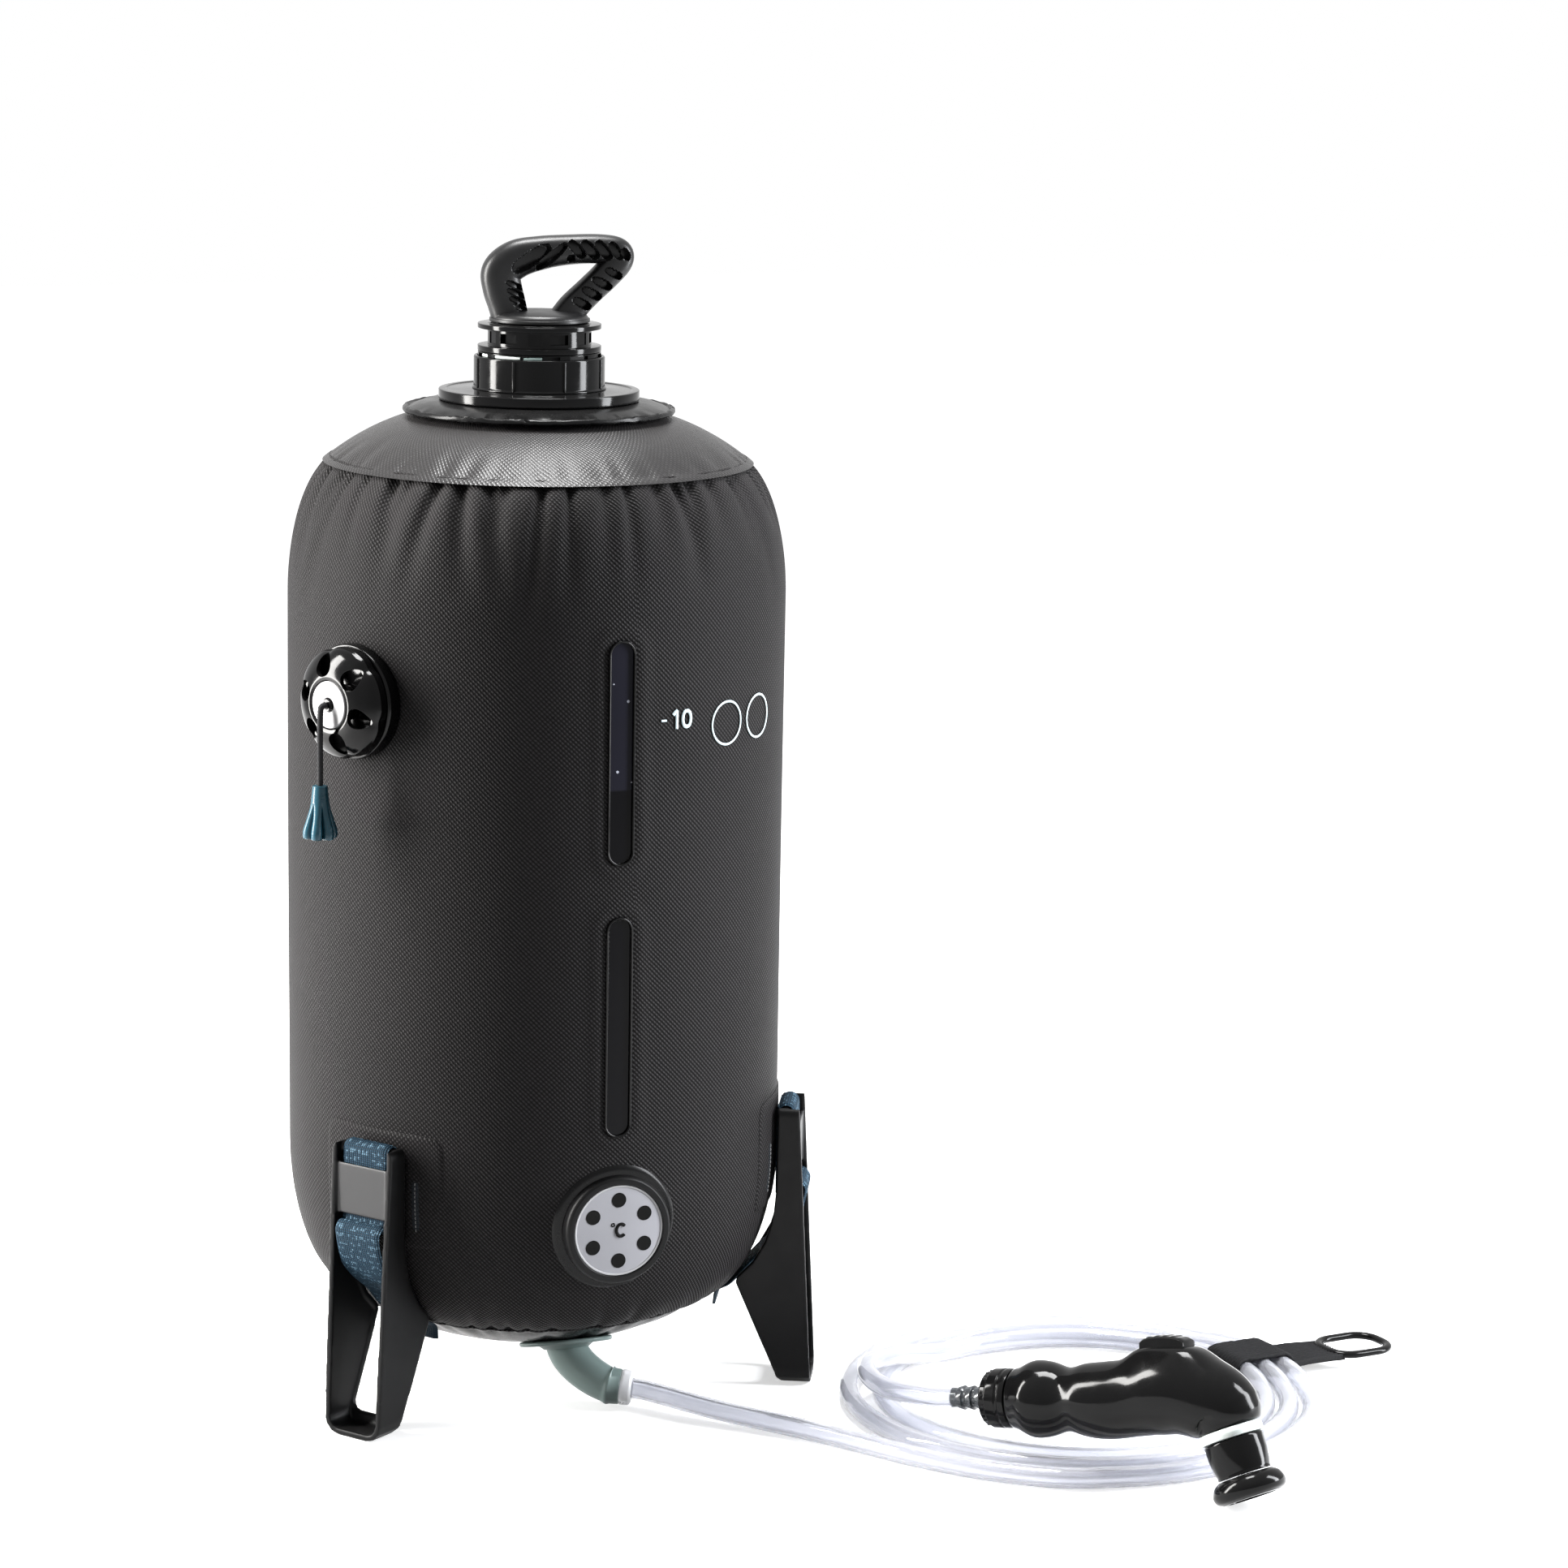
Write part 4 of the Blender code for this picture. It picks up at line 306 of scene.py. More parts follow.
def tidy(mesh, ends=False):
    """Weld doubled points, close open ends and turn the faces outwards."""
    shape = bmesh.new()
    shape.from_mesh(mesh)
    bmesh.ops.remove_doubles(shape, verts=shape.verts, dist=0.00001)
    bmesh.ops.dissolve_degenerate(shape, edges=shape.edges, dist=0.000002)
    if ends:
        bmesh.ops.holes_fill(shape, edges=[e for e in shape.edges if e.is_boundary], sides=0)
    bmesh.ops.recalc_face_normals(shape, faces=shape.faces)
    shape.to_mesh(mesh)
    shape.free()
    return mesh


def lengths_of(points):
    """Running length along points."""
    steps = np.linalg.norm(np.diff(points, axis=0), axis=1)
    return np.concatenate([[0.0], np.cumsum(steps)])


def evenly(points, spacing):
    """The same line with its points at an even spacing."""
    points = np.array(points, float)
    run = lengths_of(points)
    count = max(2, round(run[-1] / spacing)) + 1
    marks = np.linspace(0, run[-1], count)
    return np.stack([np.interp(marks, run, points[:, i]) for i in range(points.shape[1])], axis=1)


def flowing(points, count=12, loop=False):
    """A smooth curve through points of any dimension."""
    points = np.array(points, float)
    if loop:
        line = np.concatenate([points[-1:], points, points[:2]])
    else:
        line = np.concatenate([2 * points[:1] - points[1:2], points, 2 * points[-1:] - points[-2:-1]])
    t = np.linspace(0, 1, count, endpoint=False)[:, None]
    pieces = []
    for p0, p1, p2, p3 in zip(line, line[1:], line[2:], line[3:]):
        pieces.append(
            0.5 * (
                2 * p1 + (p2 - p0) * t + (
                    2 * p0 - 5 * p1 + 4 * p2 - p3
                ) * t**2 + (3 * p1 - p0 - 3 * p2 + p3) * t**3
            )
        )
    curve = np.concatenate(pieces)
    return curve if loop else np.concatenate([curve, points[-1:]])


def rounded(outline, radius, closed):
    """An outline with its sharp corners turned to small curves."""
    points = [np.array(p, float) for p in outline]
    count = len(points)
    result = []
    for i, b in enumerate(points):
        a, c = points[i - 1], points[(i + 1) % count]
        if not closed and i in (0, count - 1):
            result.append(b)
            continue
        back, on = a - b, c - b
        la, lc = np.linalg.norm(back), np.linalg.norm(on)
        straight = -np.dot(back, on) / max(la * lc, 1e-12)
        if straight > 0.96:
            result.append(b)
            continue
        reach = min(radius, 0.42 * la, 0.42 * lc)
        start, end = b + back / la * reach, b + on / lc * reach
        for t in (0, 0.25, 0.5, 0.75, 1):
            result.append((1 - t) ** 2 * start + 2 * t * (1 - t) * b + t**2 * end)
    return np.array(result)


def turned(name, outline, place=None, steps=72, rounding=0.0004, closed=False):
    """A turned piece about local Z from its outline of radius and height."""
    line = rounded(outline, rounding, closed) if rounding else np.array(outline, float)
    angle = even_turns(steps)
    points = np.stack(
        [
            line[:, None, 0] * np.cos(angle),
            line[:, None, 0] * np.sin(angle),
            np.repeat(line[:, 1:2], steps, axis=1),
        ],
        axis=2,
    )
    run = lengths_of(np.concatenate([line, line[:1]]))
    reach = line[:, 0].max()
    wide = np.arange(steps + 1) * math.tau / steps * reach
    uv = np.stack(np.meshgrid(wide, run, indexing="xy"), axis=2)
    mesh = sheet_mesh(name, points, uv, around=True, closed=closed)
    return link(name, tidy(mesh), BAG @ (place or Matrix.Identity(4)))


def swept(name, path, radii, place=None, sides=24, bore=None, flat=1.0, hint=(0, 0, 1), ends=True):
    """A tube along a path. Flat is its depth as a share of its width, and a bore makes it hollow."""
    path = np.array(path, float)
    count = len(path)
    radii = np.broadcast_to(np.array(radii, float), (count,))
    tangent = np.gradient(path, axis=0)
    tangent /= np.linalg.norm(tangent, axis=1)[:, None]
    side = np.cross(tangent[0], hint)
    frames = []
    for t in tangent:
        side = side - t * np.dot(side, t)
        side /= np.linalg.norm(side)
        frames.append((side, np.cross(side, t)))
    across = np.array([f[0] for f in frames])
    over = np.array([f[1] for f in frames])
    angle = even_turns(sides)
    rings = []
    for share in [1.0] if bore is None else [1.0, bore]:
        ring = (
            path[:, None]
            + across[:, None] * (np.cos(angle) * share)[None, :, None] * radii[:, None, None]
            + over[:, None] * (np.sin(angle) * share * flat)[None, :, None] * radii[:, None, None]
        )
        rings.append(ring)
    points = rings[0] if bore is None else np.concatenate([rings[0], rings[1][::-1]])
    run = lengths_of(path)
    run = run if bore is None else np.concatenate([run, run[::-1]])
    run = np.concatenate([run, run[:1]])
    wide = np.arange(sides + 1) * math.tau / sides * radii.max()
    uv = np.stack(np.meshgrid(wide, run, indexing="xy"), axis=2)
    mesh = sheet_mesh(name, points, uv, around=True, closed=bore is not None)
    return link(name, tidy(mesh, ends and bore is None), BAG @ (place or Matrix.Identity(4)))


def box_tool(name, size, centre, place=None):
    """A plain block to cut with."""
    shape = bmesh.new()
    bmesh.ops.create_cube(shape, size=1)
    bmesh.ops.scale(shape, vec=Vector(size), verts=shape.verts)
    bmesh.ops.translate(shape, vec=Vector(centre), verts=shape.verts)
    mesh = bpy.data.meshes.new(name)
    shape.to_mesh(mesh)
    shape.free()
    return link(name, mesh, BAG @ (place or Matrix.Identity(4)))


def merged(name, objects):
    """One piece from several loose ones."""
    shape = bmesh.new()
    for obj in objects:
        shape.from_mesh(obj.data)
        bpy.data.objects.remove(obj)
    mesh = bpy.data.meshes.new(name)
    shape.to_mesh(mesh)
    shape.free()
    return link(name, mesh, Matrix.Identity(4))


def outward(loop):
    """The way out of a flat closed loop at each of its points."""
    way = np.roll(loop, -1, axis=0) - np.roll(loop, 1, axis=0)
    way /= np.linalg.norm(way, axis=1)[:, None]
    level = [0 * way[:, 0]] * (loop.shape[1] - 2)
    return np.stack([way[:, 1], -way[:, 0], *level], axis=1)


def wire_loop(name, loop, wide, tall, sides, place):
    """A wire round a flat closed loop."""
    angle = even_turns(sides)
    points = (
        loop[:, None]
        + outward(loop)[:, None] * (wide * np.cos(angle))[None, :, None]
        + np.array([0, 0, 1.0]) * (tall * np.sin(angle))[None, :, None]
    )
    return link(name, tidy(sheet_mesh(name, points, around=True, closed=True)), place)


def remeshed(obj, voxel, rounds):
    """Rebuild a closed mesh from even small faces, and smooth it."""
    remesh = obj.modifiers.new("Fine", "REMESH")
    remesh.mode = "VOXEL"
    remesh.voxel_size = voxel
    smooth = obj.modifiers.new("Soft", "SMOOTH")
    smooth.factor = 0.5
    smooth.iterations = rounds
    settle(obj)


def softened(name, node, place, voxel, rounds):
    """A solid's own shape with moulded, soft edges."""
    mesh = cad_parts[node].data.copy()
    mesh.transform(place.inverted())
    obj = link(name, mesh, Matrix.Identity(4))
    obj.data.materials.clear()
    remeshed(obj, voxel, rounds)
    obj.data.transform(place)
    return obj


# ---------------------------------------------------------------- the bag's own form


def around(azimuth, reach, height):
    """A point at an azimuth from the front."""
    return Vector((reach * math.sin(azimuth), -reach * math.cos(azimuth), height))


def facing_out(azimuth, reach, height):
    """Local Z faces out of the bag, Y is up and X runs along the wall."""
    side = Vector((math.cos(azimuth), math.sin(azimuth), 0))
    turn = Matrix((side, Vector((0, 0, 1)), around(azimuth, 1, 0))).transposed().to_4x4()
    return Matrix.Translation(around(azimuth, reach, height)) @ turn


def along(direction, origin):
    """Local Z runs along a direction."""
    turn = Vector(direction).to_track_quat("Z", "Y").to_matrix().to_4x4()
    return Matrix.Translation(origin) @ turn


def dome_height(radius):
    """Height of the top panel's face at a radius."""
    return TOP_SEAM_HEIGHT + FABRIC + GAP + DOME_RISE * (1 - (radius / TOP_SEAM_RADIUS) ** 3)


def base_height(radius):
    """Height of the bottom panel's face at a radius."""
    share = np.clip(1 - (radius / BASE_SEAM_RADIUS) ** 2, 0, 1)
    return BASE_SEAM_HEIGHT - FABRIC - GAP - BASE_SAG * share**0.8


def base_point(turn, offset=0):
    """A point on the curve under the wall, as radius and height."""
    width = BAG_RADIUS - BASE_SEAM_RADIUS
    drop = BASE_CURVE_START - BASE_SEAM_HEIGHT
    normal = Vector((math.cos(turn) / width, -math.sin(turn) / drop)).normalized()
    radius = BASE_SEAM_RADIUS + width * math.cos(turn)
    return radius + normal.x * offset, BASE_CURVE_START - drop * math.sin(turn) + normal.y * offset


def wall_line(spacing):
    """The wall from the top seam to the base seam: radius, height, and the way out of the bag."""
    low = math.cos(SHOULDER_TURN)
    turns = np.linspace(SHOULDER_TURN, 0, 60)
    radius = TOP_SEAM_RADIUS + (BAG_RADIUS - TOP_SEAM_RADIUS) * (np.cos(turns) - low) / (1 - low)
    height = SHOULDER_START + (TOP_SEAM_HEIGHT - SHOULDER_START) * np.sin(turns) / math.sin(SHOULDER_TURN)
    base = np.array([base_point(math.pi / 2 * i / 60) for i in range(61)])
    line = evenly(np.concatenate([np.stack([radius, height], axis=1), base]), spacing)
    way = np.gradient(line, axis=0)
    way /= np.linalg.norm(way, axis=1)[:, None]
    return line, np.stack([-way[:, 1], way[:, 0]], axis=1)


def wall_at(heights, offset):
    """Radius and height on the wall for heights below its shoulder, moved out by an offset."""
    line, out = wall_line(0.001)
    order = np.argsort(line[:, 1])
    z, r = line[order, 1], line[order, 0]
    nr, nz = out[order, 0], out[order, 1]
    radius = np.interp(heights, z, r) + np.interp(heights, z, nr) * offset
    return radius, heights + np.interp(heights, z, nz) * offset


def folds(seed, count, depth, reach, width):
    """Puckers at a seam: azimuth, depth, reach down the cloth, width and lean of each."""
    random = np.random.default_rng(seed)
    azimuth = (np.arange(count) + random.uniform(-0.32, 0.32, count)) * math.tau / count
    return [
        (
            azimuth[i],
            depth * random.uniform(0.35, 1.25),
            reach * random.uniform(0.5, 1.25),
            width * random.uniform(0.7, 1.35),
            random.uniform(-0.22, 0.22),
        )
        for i in range(count)
    ]


def pucker(azimuth, run, radius, marks):
    """How far the folds draw the cloth in, at azimuths and at lengths from the seam."""
    drawn = np.zeros(np.broadcast(azimuth, run).shape)
    for centre, depth, reach, width, lean in marks:
        away = (azimuth - centre - lean * run / radius + math.pi) % math.tau - math.pi
        spread = width * (0.48 + 0.85 * run / reach)
        fade = np.clip(1 - run / reach, 0, 1) ** 1.2 * np.clip(run / 0.002 + 0.35, 0, 1)
        drawn += depth * fade * np.exp(-((away * radius / spread) ** 2))
    return drawn


# ---------------------------------------------------------------- node groups and materials


def add(tree, kind, links=None, **settings):
    """Add a node, with its settings and with values or sockets for its inputs."""
    node = tree.nodes.new(kind)
    for key, value in settings.items():
        setattr(node, key, value)
    for key, value in (links or {}).items():
        if isinstance(value, bpy.types.NodeSocket):
            tree.links.new(value, node.inputs[key])
        else:
            node.inputs[key].default_value = value
    return node


def calc(tree, operation, *values, clamp=False):
    """The result of one sum on values or sockets."""
    node = add(tree, "ShaderNodeMath", dict(enumerate(values)), operation=operation, use_clamp=clamp)
    return node.outputs[0]


def wave(tree, value, pitch):
    """A sine from 0 to 1 of a length, with a pitch."""
    turn = calc(tree, "MULTIPLY", calc(tree, "DIVIDE", value, pitch), math.tau)
    return calc(tree, "MULTIPLY_ADD", calc(tree, "SINE", turn), 0.5, 0.5)


def part(tree, vector, index):
    """One of the three numbers of a vector."""
    return add(tree, "ShaderNodeSeparateXYZ", {0: vector}).outputs[index]


def ranged(tree, value, low, high, to_low=0.0, to_high=1.0):
    """A value moved from one range to another."""
    links = {"Value": value, "From Min": low, "From Max": high, "To Min": to_low, "To Max": to_high}
    return add(tree, "ShaderNodeMapRange", links).outputs[0]


def blend(tree, share, one, other):
    """A mix of two colours."""
    node = add(tree, "ShaderNodeMix", {0: share, 6: one, 7: other}, data_type="RGBA")
    return node.outputs[2]


def where(tree, kind):
    """A texture's place: on the sheet (UV) or in the object (Object)."""
    return add(tree, "ShaderNodeTexCoord").outputs[kind]


def effect(name, inputs, outputs):
    """A new shader node group with named sockets: its tree, its inputs and its outputs."""
    tree = bpy.data.node_groups.new(name, "ShaderNodeTree")
    for title, kind, value in inputs:
        socket = tree.interface.new_socket(name=title, in_out="INPUT", socket_type="NodeSocket" + kind)
        if kind != "Vector":
            socket.default_value = value
    for title, kind in outputs:
        tree.interface.new_socket(name=title, in_out="OUTPUT", socket_type="NodeSocket" + kind)
    return tree, tree.nodes.new("NodeGroupInput").outputs, tree.nodes.new("NodeGroupOutput").inputs


def noise(tree, vector, scale, detail=3.0, roughness=0.55):
    """The grey value of a noise."""
    links = {"Scale": scale, "Detail": detail, "Roughness": roughness}
    if vector is not None:
        links["Vector"] = vector
    return add(tree, "ShaderNodeTexNoise", links).outputs["Fac"]


def tinted(tree, colour, share, low, high):
    """A colour made darker and lighter by a share from 0 to 1."""
    factor = add(tree, "ShaderNodeMapRange", {"Value": share, "To Min": low, "To Max": high}).outputs[0]
    return add(tree, "ShaderNodeVectorMath", {0: colour, "Scale": factor}, operation="SCALE").outputs[0]


def make_groups():
    """Build the effects that the materials share."""
    groups = {}

    tree, given, made = effect(
        "twill_weave",
        [("Colour", "Color", (0.05, 0.05, 0.05, 1)), ("Pitch", "Float", 0.001), ("Contrast", "Float", 0.4)],
        [("Colour", "Color"), ("Height", "Float")],
    )
    uv = where(tree, "UV")
    parts = add(tree, "ShaderNodeSeparateXYZ", {0: uv})
    wobble = calc(tree, "MULTIPLY", calc(tree, "SUBTRACT", noise(tree, uv, 40.0), 0.5), 0.0016)
    rise = calc(tree, "ADD", calc(tree, "ADD", parts.outputs[0], parts.outputs[1]), wobble)
    fall = calc(tree, "SUBTRACT", calc(tree, "MULTIPLY", parts.outputs[0], 0.9), parts.outputs[1])
    ribs = wave(tree, rise, given["Pitch"])
    knots = wave(tree, fall, calc(tree, "MULTIPLY", given["Pitch"], 1.15))
    height = calc(tree, "MULTIPLY", ribs, calc(tree, "MULTIPLY_ADD", knots, 0.6, 0.4))
    low = calc(tree, "SUBTRACT", 1.0, given["Contrast"])
    high = calc(tree, "ADD", 1.0, given["Contrast"])
    # The colour follows the weave's height: painted shade in the grooves and a painted highlight on the ribs.
    shade = tinted(tree, given["Colour"], height, low, high)
    blotch = tinted(tree, shade, noise(tree, uv, 25.0, 4.0), 0.86, 1.14)
    tree.links.new(blotch, made["Colour"])
    tree.links.new(height, made["Height"])
    groups["twill"] = tree

    tree, given, made = effect(
        "strap_weave",
        [
            ("Colour", "Color", (0.02, 0.07, 0.13, 1)),
            ("Fleck", "Color", (0.35, 0.45, 0.5, 1)),
            ("Pitch", "Float", 0.0011),
            ("Sewn from", "Float", -0.022),
        ],
        [("Colour", "Color"), ("Height", "Float")],
    )
    uv = where(tree, "UV")
    parts = add(tree, "ShaderNodeSeparateXYZ", {0: uv})
    across = wave(tree, parts.outputs[0], given["Pitch"])
    lengthwise = wave(tree, parts.outputs[1], calc(tree, "MULTIPLY", given["Pitch"], 0.9))
    height = calc(
        tree, "MULTIPLY", calc(tree, "POWER", across, 0.6), calc(tree, "MULTIPLY_ADD", lengthwise, 0.7, 0.3)
    )
    # Pale flecks in rows, only on the raised threads: painted highlights.
    cells = add(tree, "ShaderNodeTexVoronoi", {"Vector": uv, "Scale": 900.0, "Randomness": 0.55})
    speck = calc(tree, "GREATER_THAN", part(tree, cells.outputs["Color"], 0), 0.68)
    rows = calc(tree, "GREATER_THAN", wave(tree, parts.outputs[1], 0.0034), 0.35)
    lit = calc(tree, "MULTIPLY", calc(tree, "MULTIPLY", speck, rows), height)
    # Past this mark the strap's end, under the bag, is painted dark and loses its flecks: painted shade.
    sewn = calc(tree, "GREATER_THAN", parts.outputs[1], given["Sewn from"])
    lit = calc(tree, "MULTIPLY", lit, calc(tree, "SUBTRACT", 1.0, sewn))
    # The colour follows the weave's height: painted shade in the grooves.
    level = calc(tree, "MULTIPLY", height, calc(tree, "MULTIPLY_ADD", sewn, -0.8, 1.0))
    shade = tinted(tree, given["Colour"], level, 0.25, 1.35)
    mixed = blend(tree, lit, shade, given["Fleck"])
    tree.links.new(mixed, made["Colour"])
    tree.links.new(height, made["Height"])
    groups["strap"] = tree

    tree, given, made = effect(
        "moulded_grain",
        [("Colour", "Color", (0.02, 0.02, 0.02, 1)), ("Roughness", "Float", 0.3), ("Grain", "Float", 1400.0)],
        [("Colour", "Color"), ("Roughness", "Float"), ("Height", "Float")],
    )
    place = where(tree, "Object")
    fine = noise(tree, place, given["Grain"], 2.0)
    broad = noise(tree, place, 22.0, 3.0)
    smear = noise(tree, place, 75.0, 5.0, 0.7)
    tree.links.new(tinted(tree, given["Colour"], broad, 0.82, 1.18), made["Colour"])
    spread = ranged(tree, smear, 0.3, 0.75, -0.04, 0.09)
    tree.links.new(calc(tree, "ADD", given["Roughness"], spread, clamp=True), made["Roughness"])
    tree.links.new(fine, made["Height"])
    groups["grain"] = tree

    tree, given, made = effect(
        "edge_wear",
        [
            ("Colour", "Color", (0.02, 0.02, 0.02, 1)),
            ("Worn", "Color", (0.1, 0.1, 0.1, 1)),
            ("Amount", "Float", 0.5),
        ],
        [("Colour", "Color"), ("Mask", "Float")],
    )
    point = add(tree, "ShaderNodeNewGeometry").outputs["Pointiness"]
    edge = ranged(tree, point, 0.52, 0.62)
    broken = noise(tree, where(tree, "Object"), 160.0, 4.0, 0.65)
    mask = calc(tree, "MULTIPLY", calc(tree, "MULTIPLY", edge, broken), given["Amount"], clamp=True)
    mixed = blend(tree, mask, given["Colour"], given["Worn"])
    tree.links.new(mixed, made["Colour"])
    tree.links.new(mask, made["Mask"])
    groups["wear"] = tree

    tree, given, made = effect(
        "dust",
        [
            ("Colour", "Color", (0.02, 0.02, 0.02, 1)),
            ("Dust", "Color", (0.3, 0.29, 0.27, 1)),
            ("Amount", "Float", 0.1),
        ],
        [("Colour", "Color"), ("Mask", "Float")],
    )
    lift = part(tree, add(tree, "ShaderNodeNewGeometry").outputs["Normal"], 2)
    place = where(tree, "Object")
    upward = ranged(tree, lift, 0.2, 1.0)
    grains = calc(tree, "MULTIPLY", noise(tree, place, 260.0, 5.0, 0.75), noise(tree, place, 18.0, 2.0))
    mask = calc(tree, "MULTIPLY", calc(tree, "MULTIPLY", upward, grains), given["Amount"], clamp=True)
    mixed = blend(tree, mask, given["Colour"], given["Dust"])
    tree.links.new(mixed, made["Colour"])
    tree.links.new(mask, made["Mask"])
    groups["dust"] = tree

    tree, given, made = effect(
        "fine_pile",
        [("Colour", "Color", (0.012, 0.012, 0.012, 1)), ("Scale", "Float", 1500.0)],
        [("Colour", "Color"), ("Height", "Float")],
    )
    place = where(tree, "Object")
    tufts = noise(tree, place, given["Scale"], 4.0, 0.7)
    tree.links.new(tinted(tree, given["Colour"], tufts, 0.3, 2.6), made["Colour"])
    tree.links.new(tufts, made["Height"])
    groups["pile"] = tree
    return groups


def new_material(name, roughness, **sockets):
    """A material with its Principled shader: the tree and the shader."""
    material = bpy.data.materials.new(name)
    material.use_nodes = True
    tree = material.node_tree
    shader = tree.nodes["Principled BSDF"]
    shader.inputs["Roughness"].default_value = roughness
    for key, value in sockets.items():
        shader.inputs[key.replace("_", " ")].default_value = value
    return material, tree, shader


def use(tree, group, **inputs):
    """Place a shared effect in a material."""
    node = tree.nodes.new("ShaderNodeGroup")
    node.node_tree = group
    for key, value in inputs.items():
        if isinstance(value, bpy.types.NodeSocket):
            tree.links.new(value, node.inputs[key])
        else:
            node.inputs[key].default_value = value
    return node


def relief(tree, shader, height, strength, distance):
    """Let a height roughen the surface."""
    bump = add(tree, "ShaderNodeBump", {"Height": height, "Strength": strength, "Distance": distance})
    tree.links.new(bump.outputs[0], shader.inputs["Normal"])


def cloth(groups, name, colour, roughness, pitch, contrast, depth, **sockets):
    """Coated twill."""
    material, tree, shader = new_material(name, roughness, **sockets)
    weave = use(tree, groups["twill"], Colour=(*colour, 1), Pitch=pitch, Contrast=contrast)
    dusty = use(tree, groups["dust"], Colour=weave.outputs["Colour"], Amount=0.05)
    tree.links.new(dusty.outputs["Colour"], shader.inputs["Base Color"])
    sheen = add(
        tree,
        "ShaderNodeMapRange",
        {"Value": weave.outputs["Height"], "To Min": roughness + 0.2, "To Max": roughness - 0.1},
    )
    tree.links.new(sheen.outputs[0], shader.inputs["Roughness"])
    relief(tree, shader, weave.outputs["Height"], 0.9, depth)
    return material


def moulded(groups, name, colour, roughness, wear=0.35, grain=1400.0, depth=0.00003, dust=0.03, **sockets):
    """Moulded plastic or rubber."""
    material, tree, shader = new_material(name, roughness, **sockets)
    skin = use(tree, groups["grain"], Colour=(*colour, 1), Roughness=roughness, Grain=grain)
    worn = tuple(min(1.0, 0.05 + 1.5 * c) for c in colour)
    edges = use(tree, groups["wear"], Colour=skin.outputs["Colour"], Worn=(*worn, 1), Amount=wear)
    dusty = use(tree, groups["dust"], Colour=edges.outputs["Colour"], Amount=dust)
    tree.links.new(dusty.outputs["Colour"], shader.inputs["Base Color"])
    tree.links.new(skin.outputs["Roughness"], shader.inputs["Roughness"])
    relief(tree, shader, skin.outputs["Height"], 0.25, depth)
    return material


def strap_cloth(groups, name, colour, glint):
    """Woven webbing with pale flecks."""
    material, tree, shader = new_material(name, 0.75, Specular_IOR_Level=0.2)
    weave = use(tree, groups["strap"], Colour=(*colour, 1), Fleck=(*glint, 1))
    tree.links.new(weave.outputs["Colour"], shader.inputs["Base Color"])
    relief(tree, shader, weave.outputs["Height"], 0.8, 0.0004)
    return material


def pile_cloth(groups, name, colour, scale, depth):
    """Hook-and-loop tape or braided cord."""
    material, tree, shader = new_material(name, 0.6, Specular_IOR_Level=0.12)
    tufts = use(tree, groups["pile"], Colour=(*colour, 1), Scale=scale)
    tree.links.new(tufts.outputs["Colour"], shader.inputs["Base Color"])
    relief(tree, shader, tufts.outputs["Height"], 1.0, depth)
    return material


def clear_plastic(groups, name, colour, roughness, depth, clearness):
    """See-through plastic with a faint waviness."""
    material, tree, shader = new_material(name, roughness)
    shader.inputs["Base Color"].default_value = (*colour, 1)
    shader.inputs["Transmission Weight"].default_value = clearness
    shader.inputs["IOR"].default_value = 1.45
    skin = use(tree, groups["grain"], Colour=(*colour, 1), Roughness=roughness, Grain=90.0)
    tree.links.new(skin.outputs["Roughness"], shader.inputs["Roughness"])
    relief(tree, shader, skin.outputs["Height"], 0.4, depth)
    return material


def gauge_film(groups, name):
    """The dark, wet strip of a level window, darker below the water line, with drops above it."""
    material, tree, shader = new_material(name, 0.12, Specular_IOR_Level=0.07)
    uv = where(tree, "UV")
    height = part(tree, uv, 1)
    dry = ranged(tree, height, -0.0165, -0.0155)
    cells = add(tree, "ShaderNodeTexVoronoi", {"Vector": uv, "Scale": 260.0, "Randomness": 1.0})
    few = calc(tree, "GREATER_THAN", part(tree, cells.outputs["Color"], 1), 0.6)
    near = calc(tree, "LESS_THAN", cells.outputs["Distance"], 0.17)
    drops = calc(tree, "MULTIPLY", calc(tree, "MULTIPLY", few, near), dry)
    ground = blend(tree, dry, (0.002, 0.002, 0.003, 1), (0.013, 0.013, 0.021, 1))
    # The drops are painted pale: painted highlights on them.
    mixed = blend(tree, drops, ground, (0.5, 0.52, 0.6, 1))
    skin = use(tree, groups["grain"], Colour=mixed, Roughness=0.12, Grain=300.0)
    tree.links.new(skin.outputs["Colour"], shader.inputs["Base Color"])
    tree.links.new(skin.outputs["Roughness"], shader.inputs["Roughness"])
    relief(tree, shader, drops, 0.6, 0.0002)
    return material


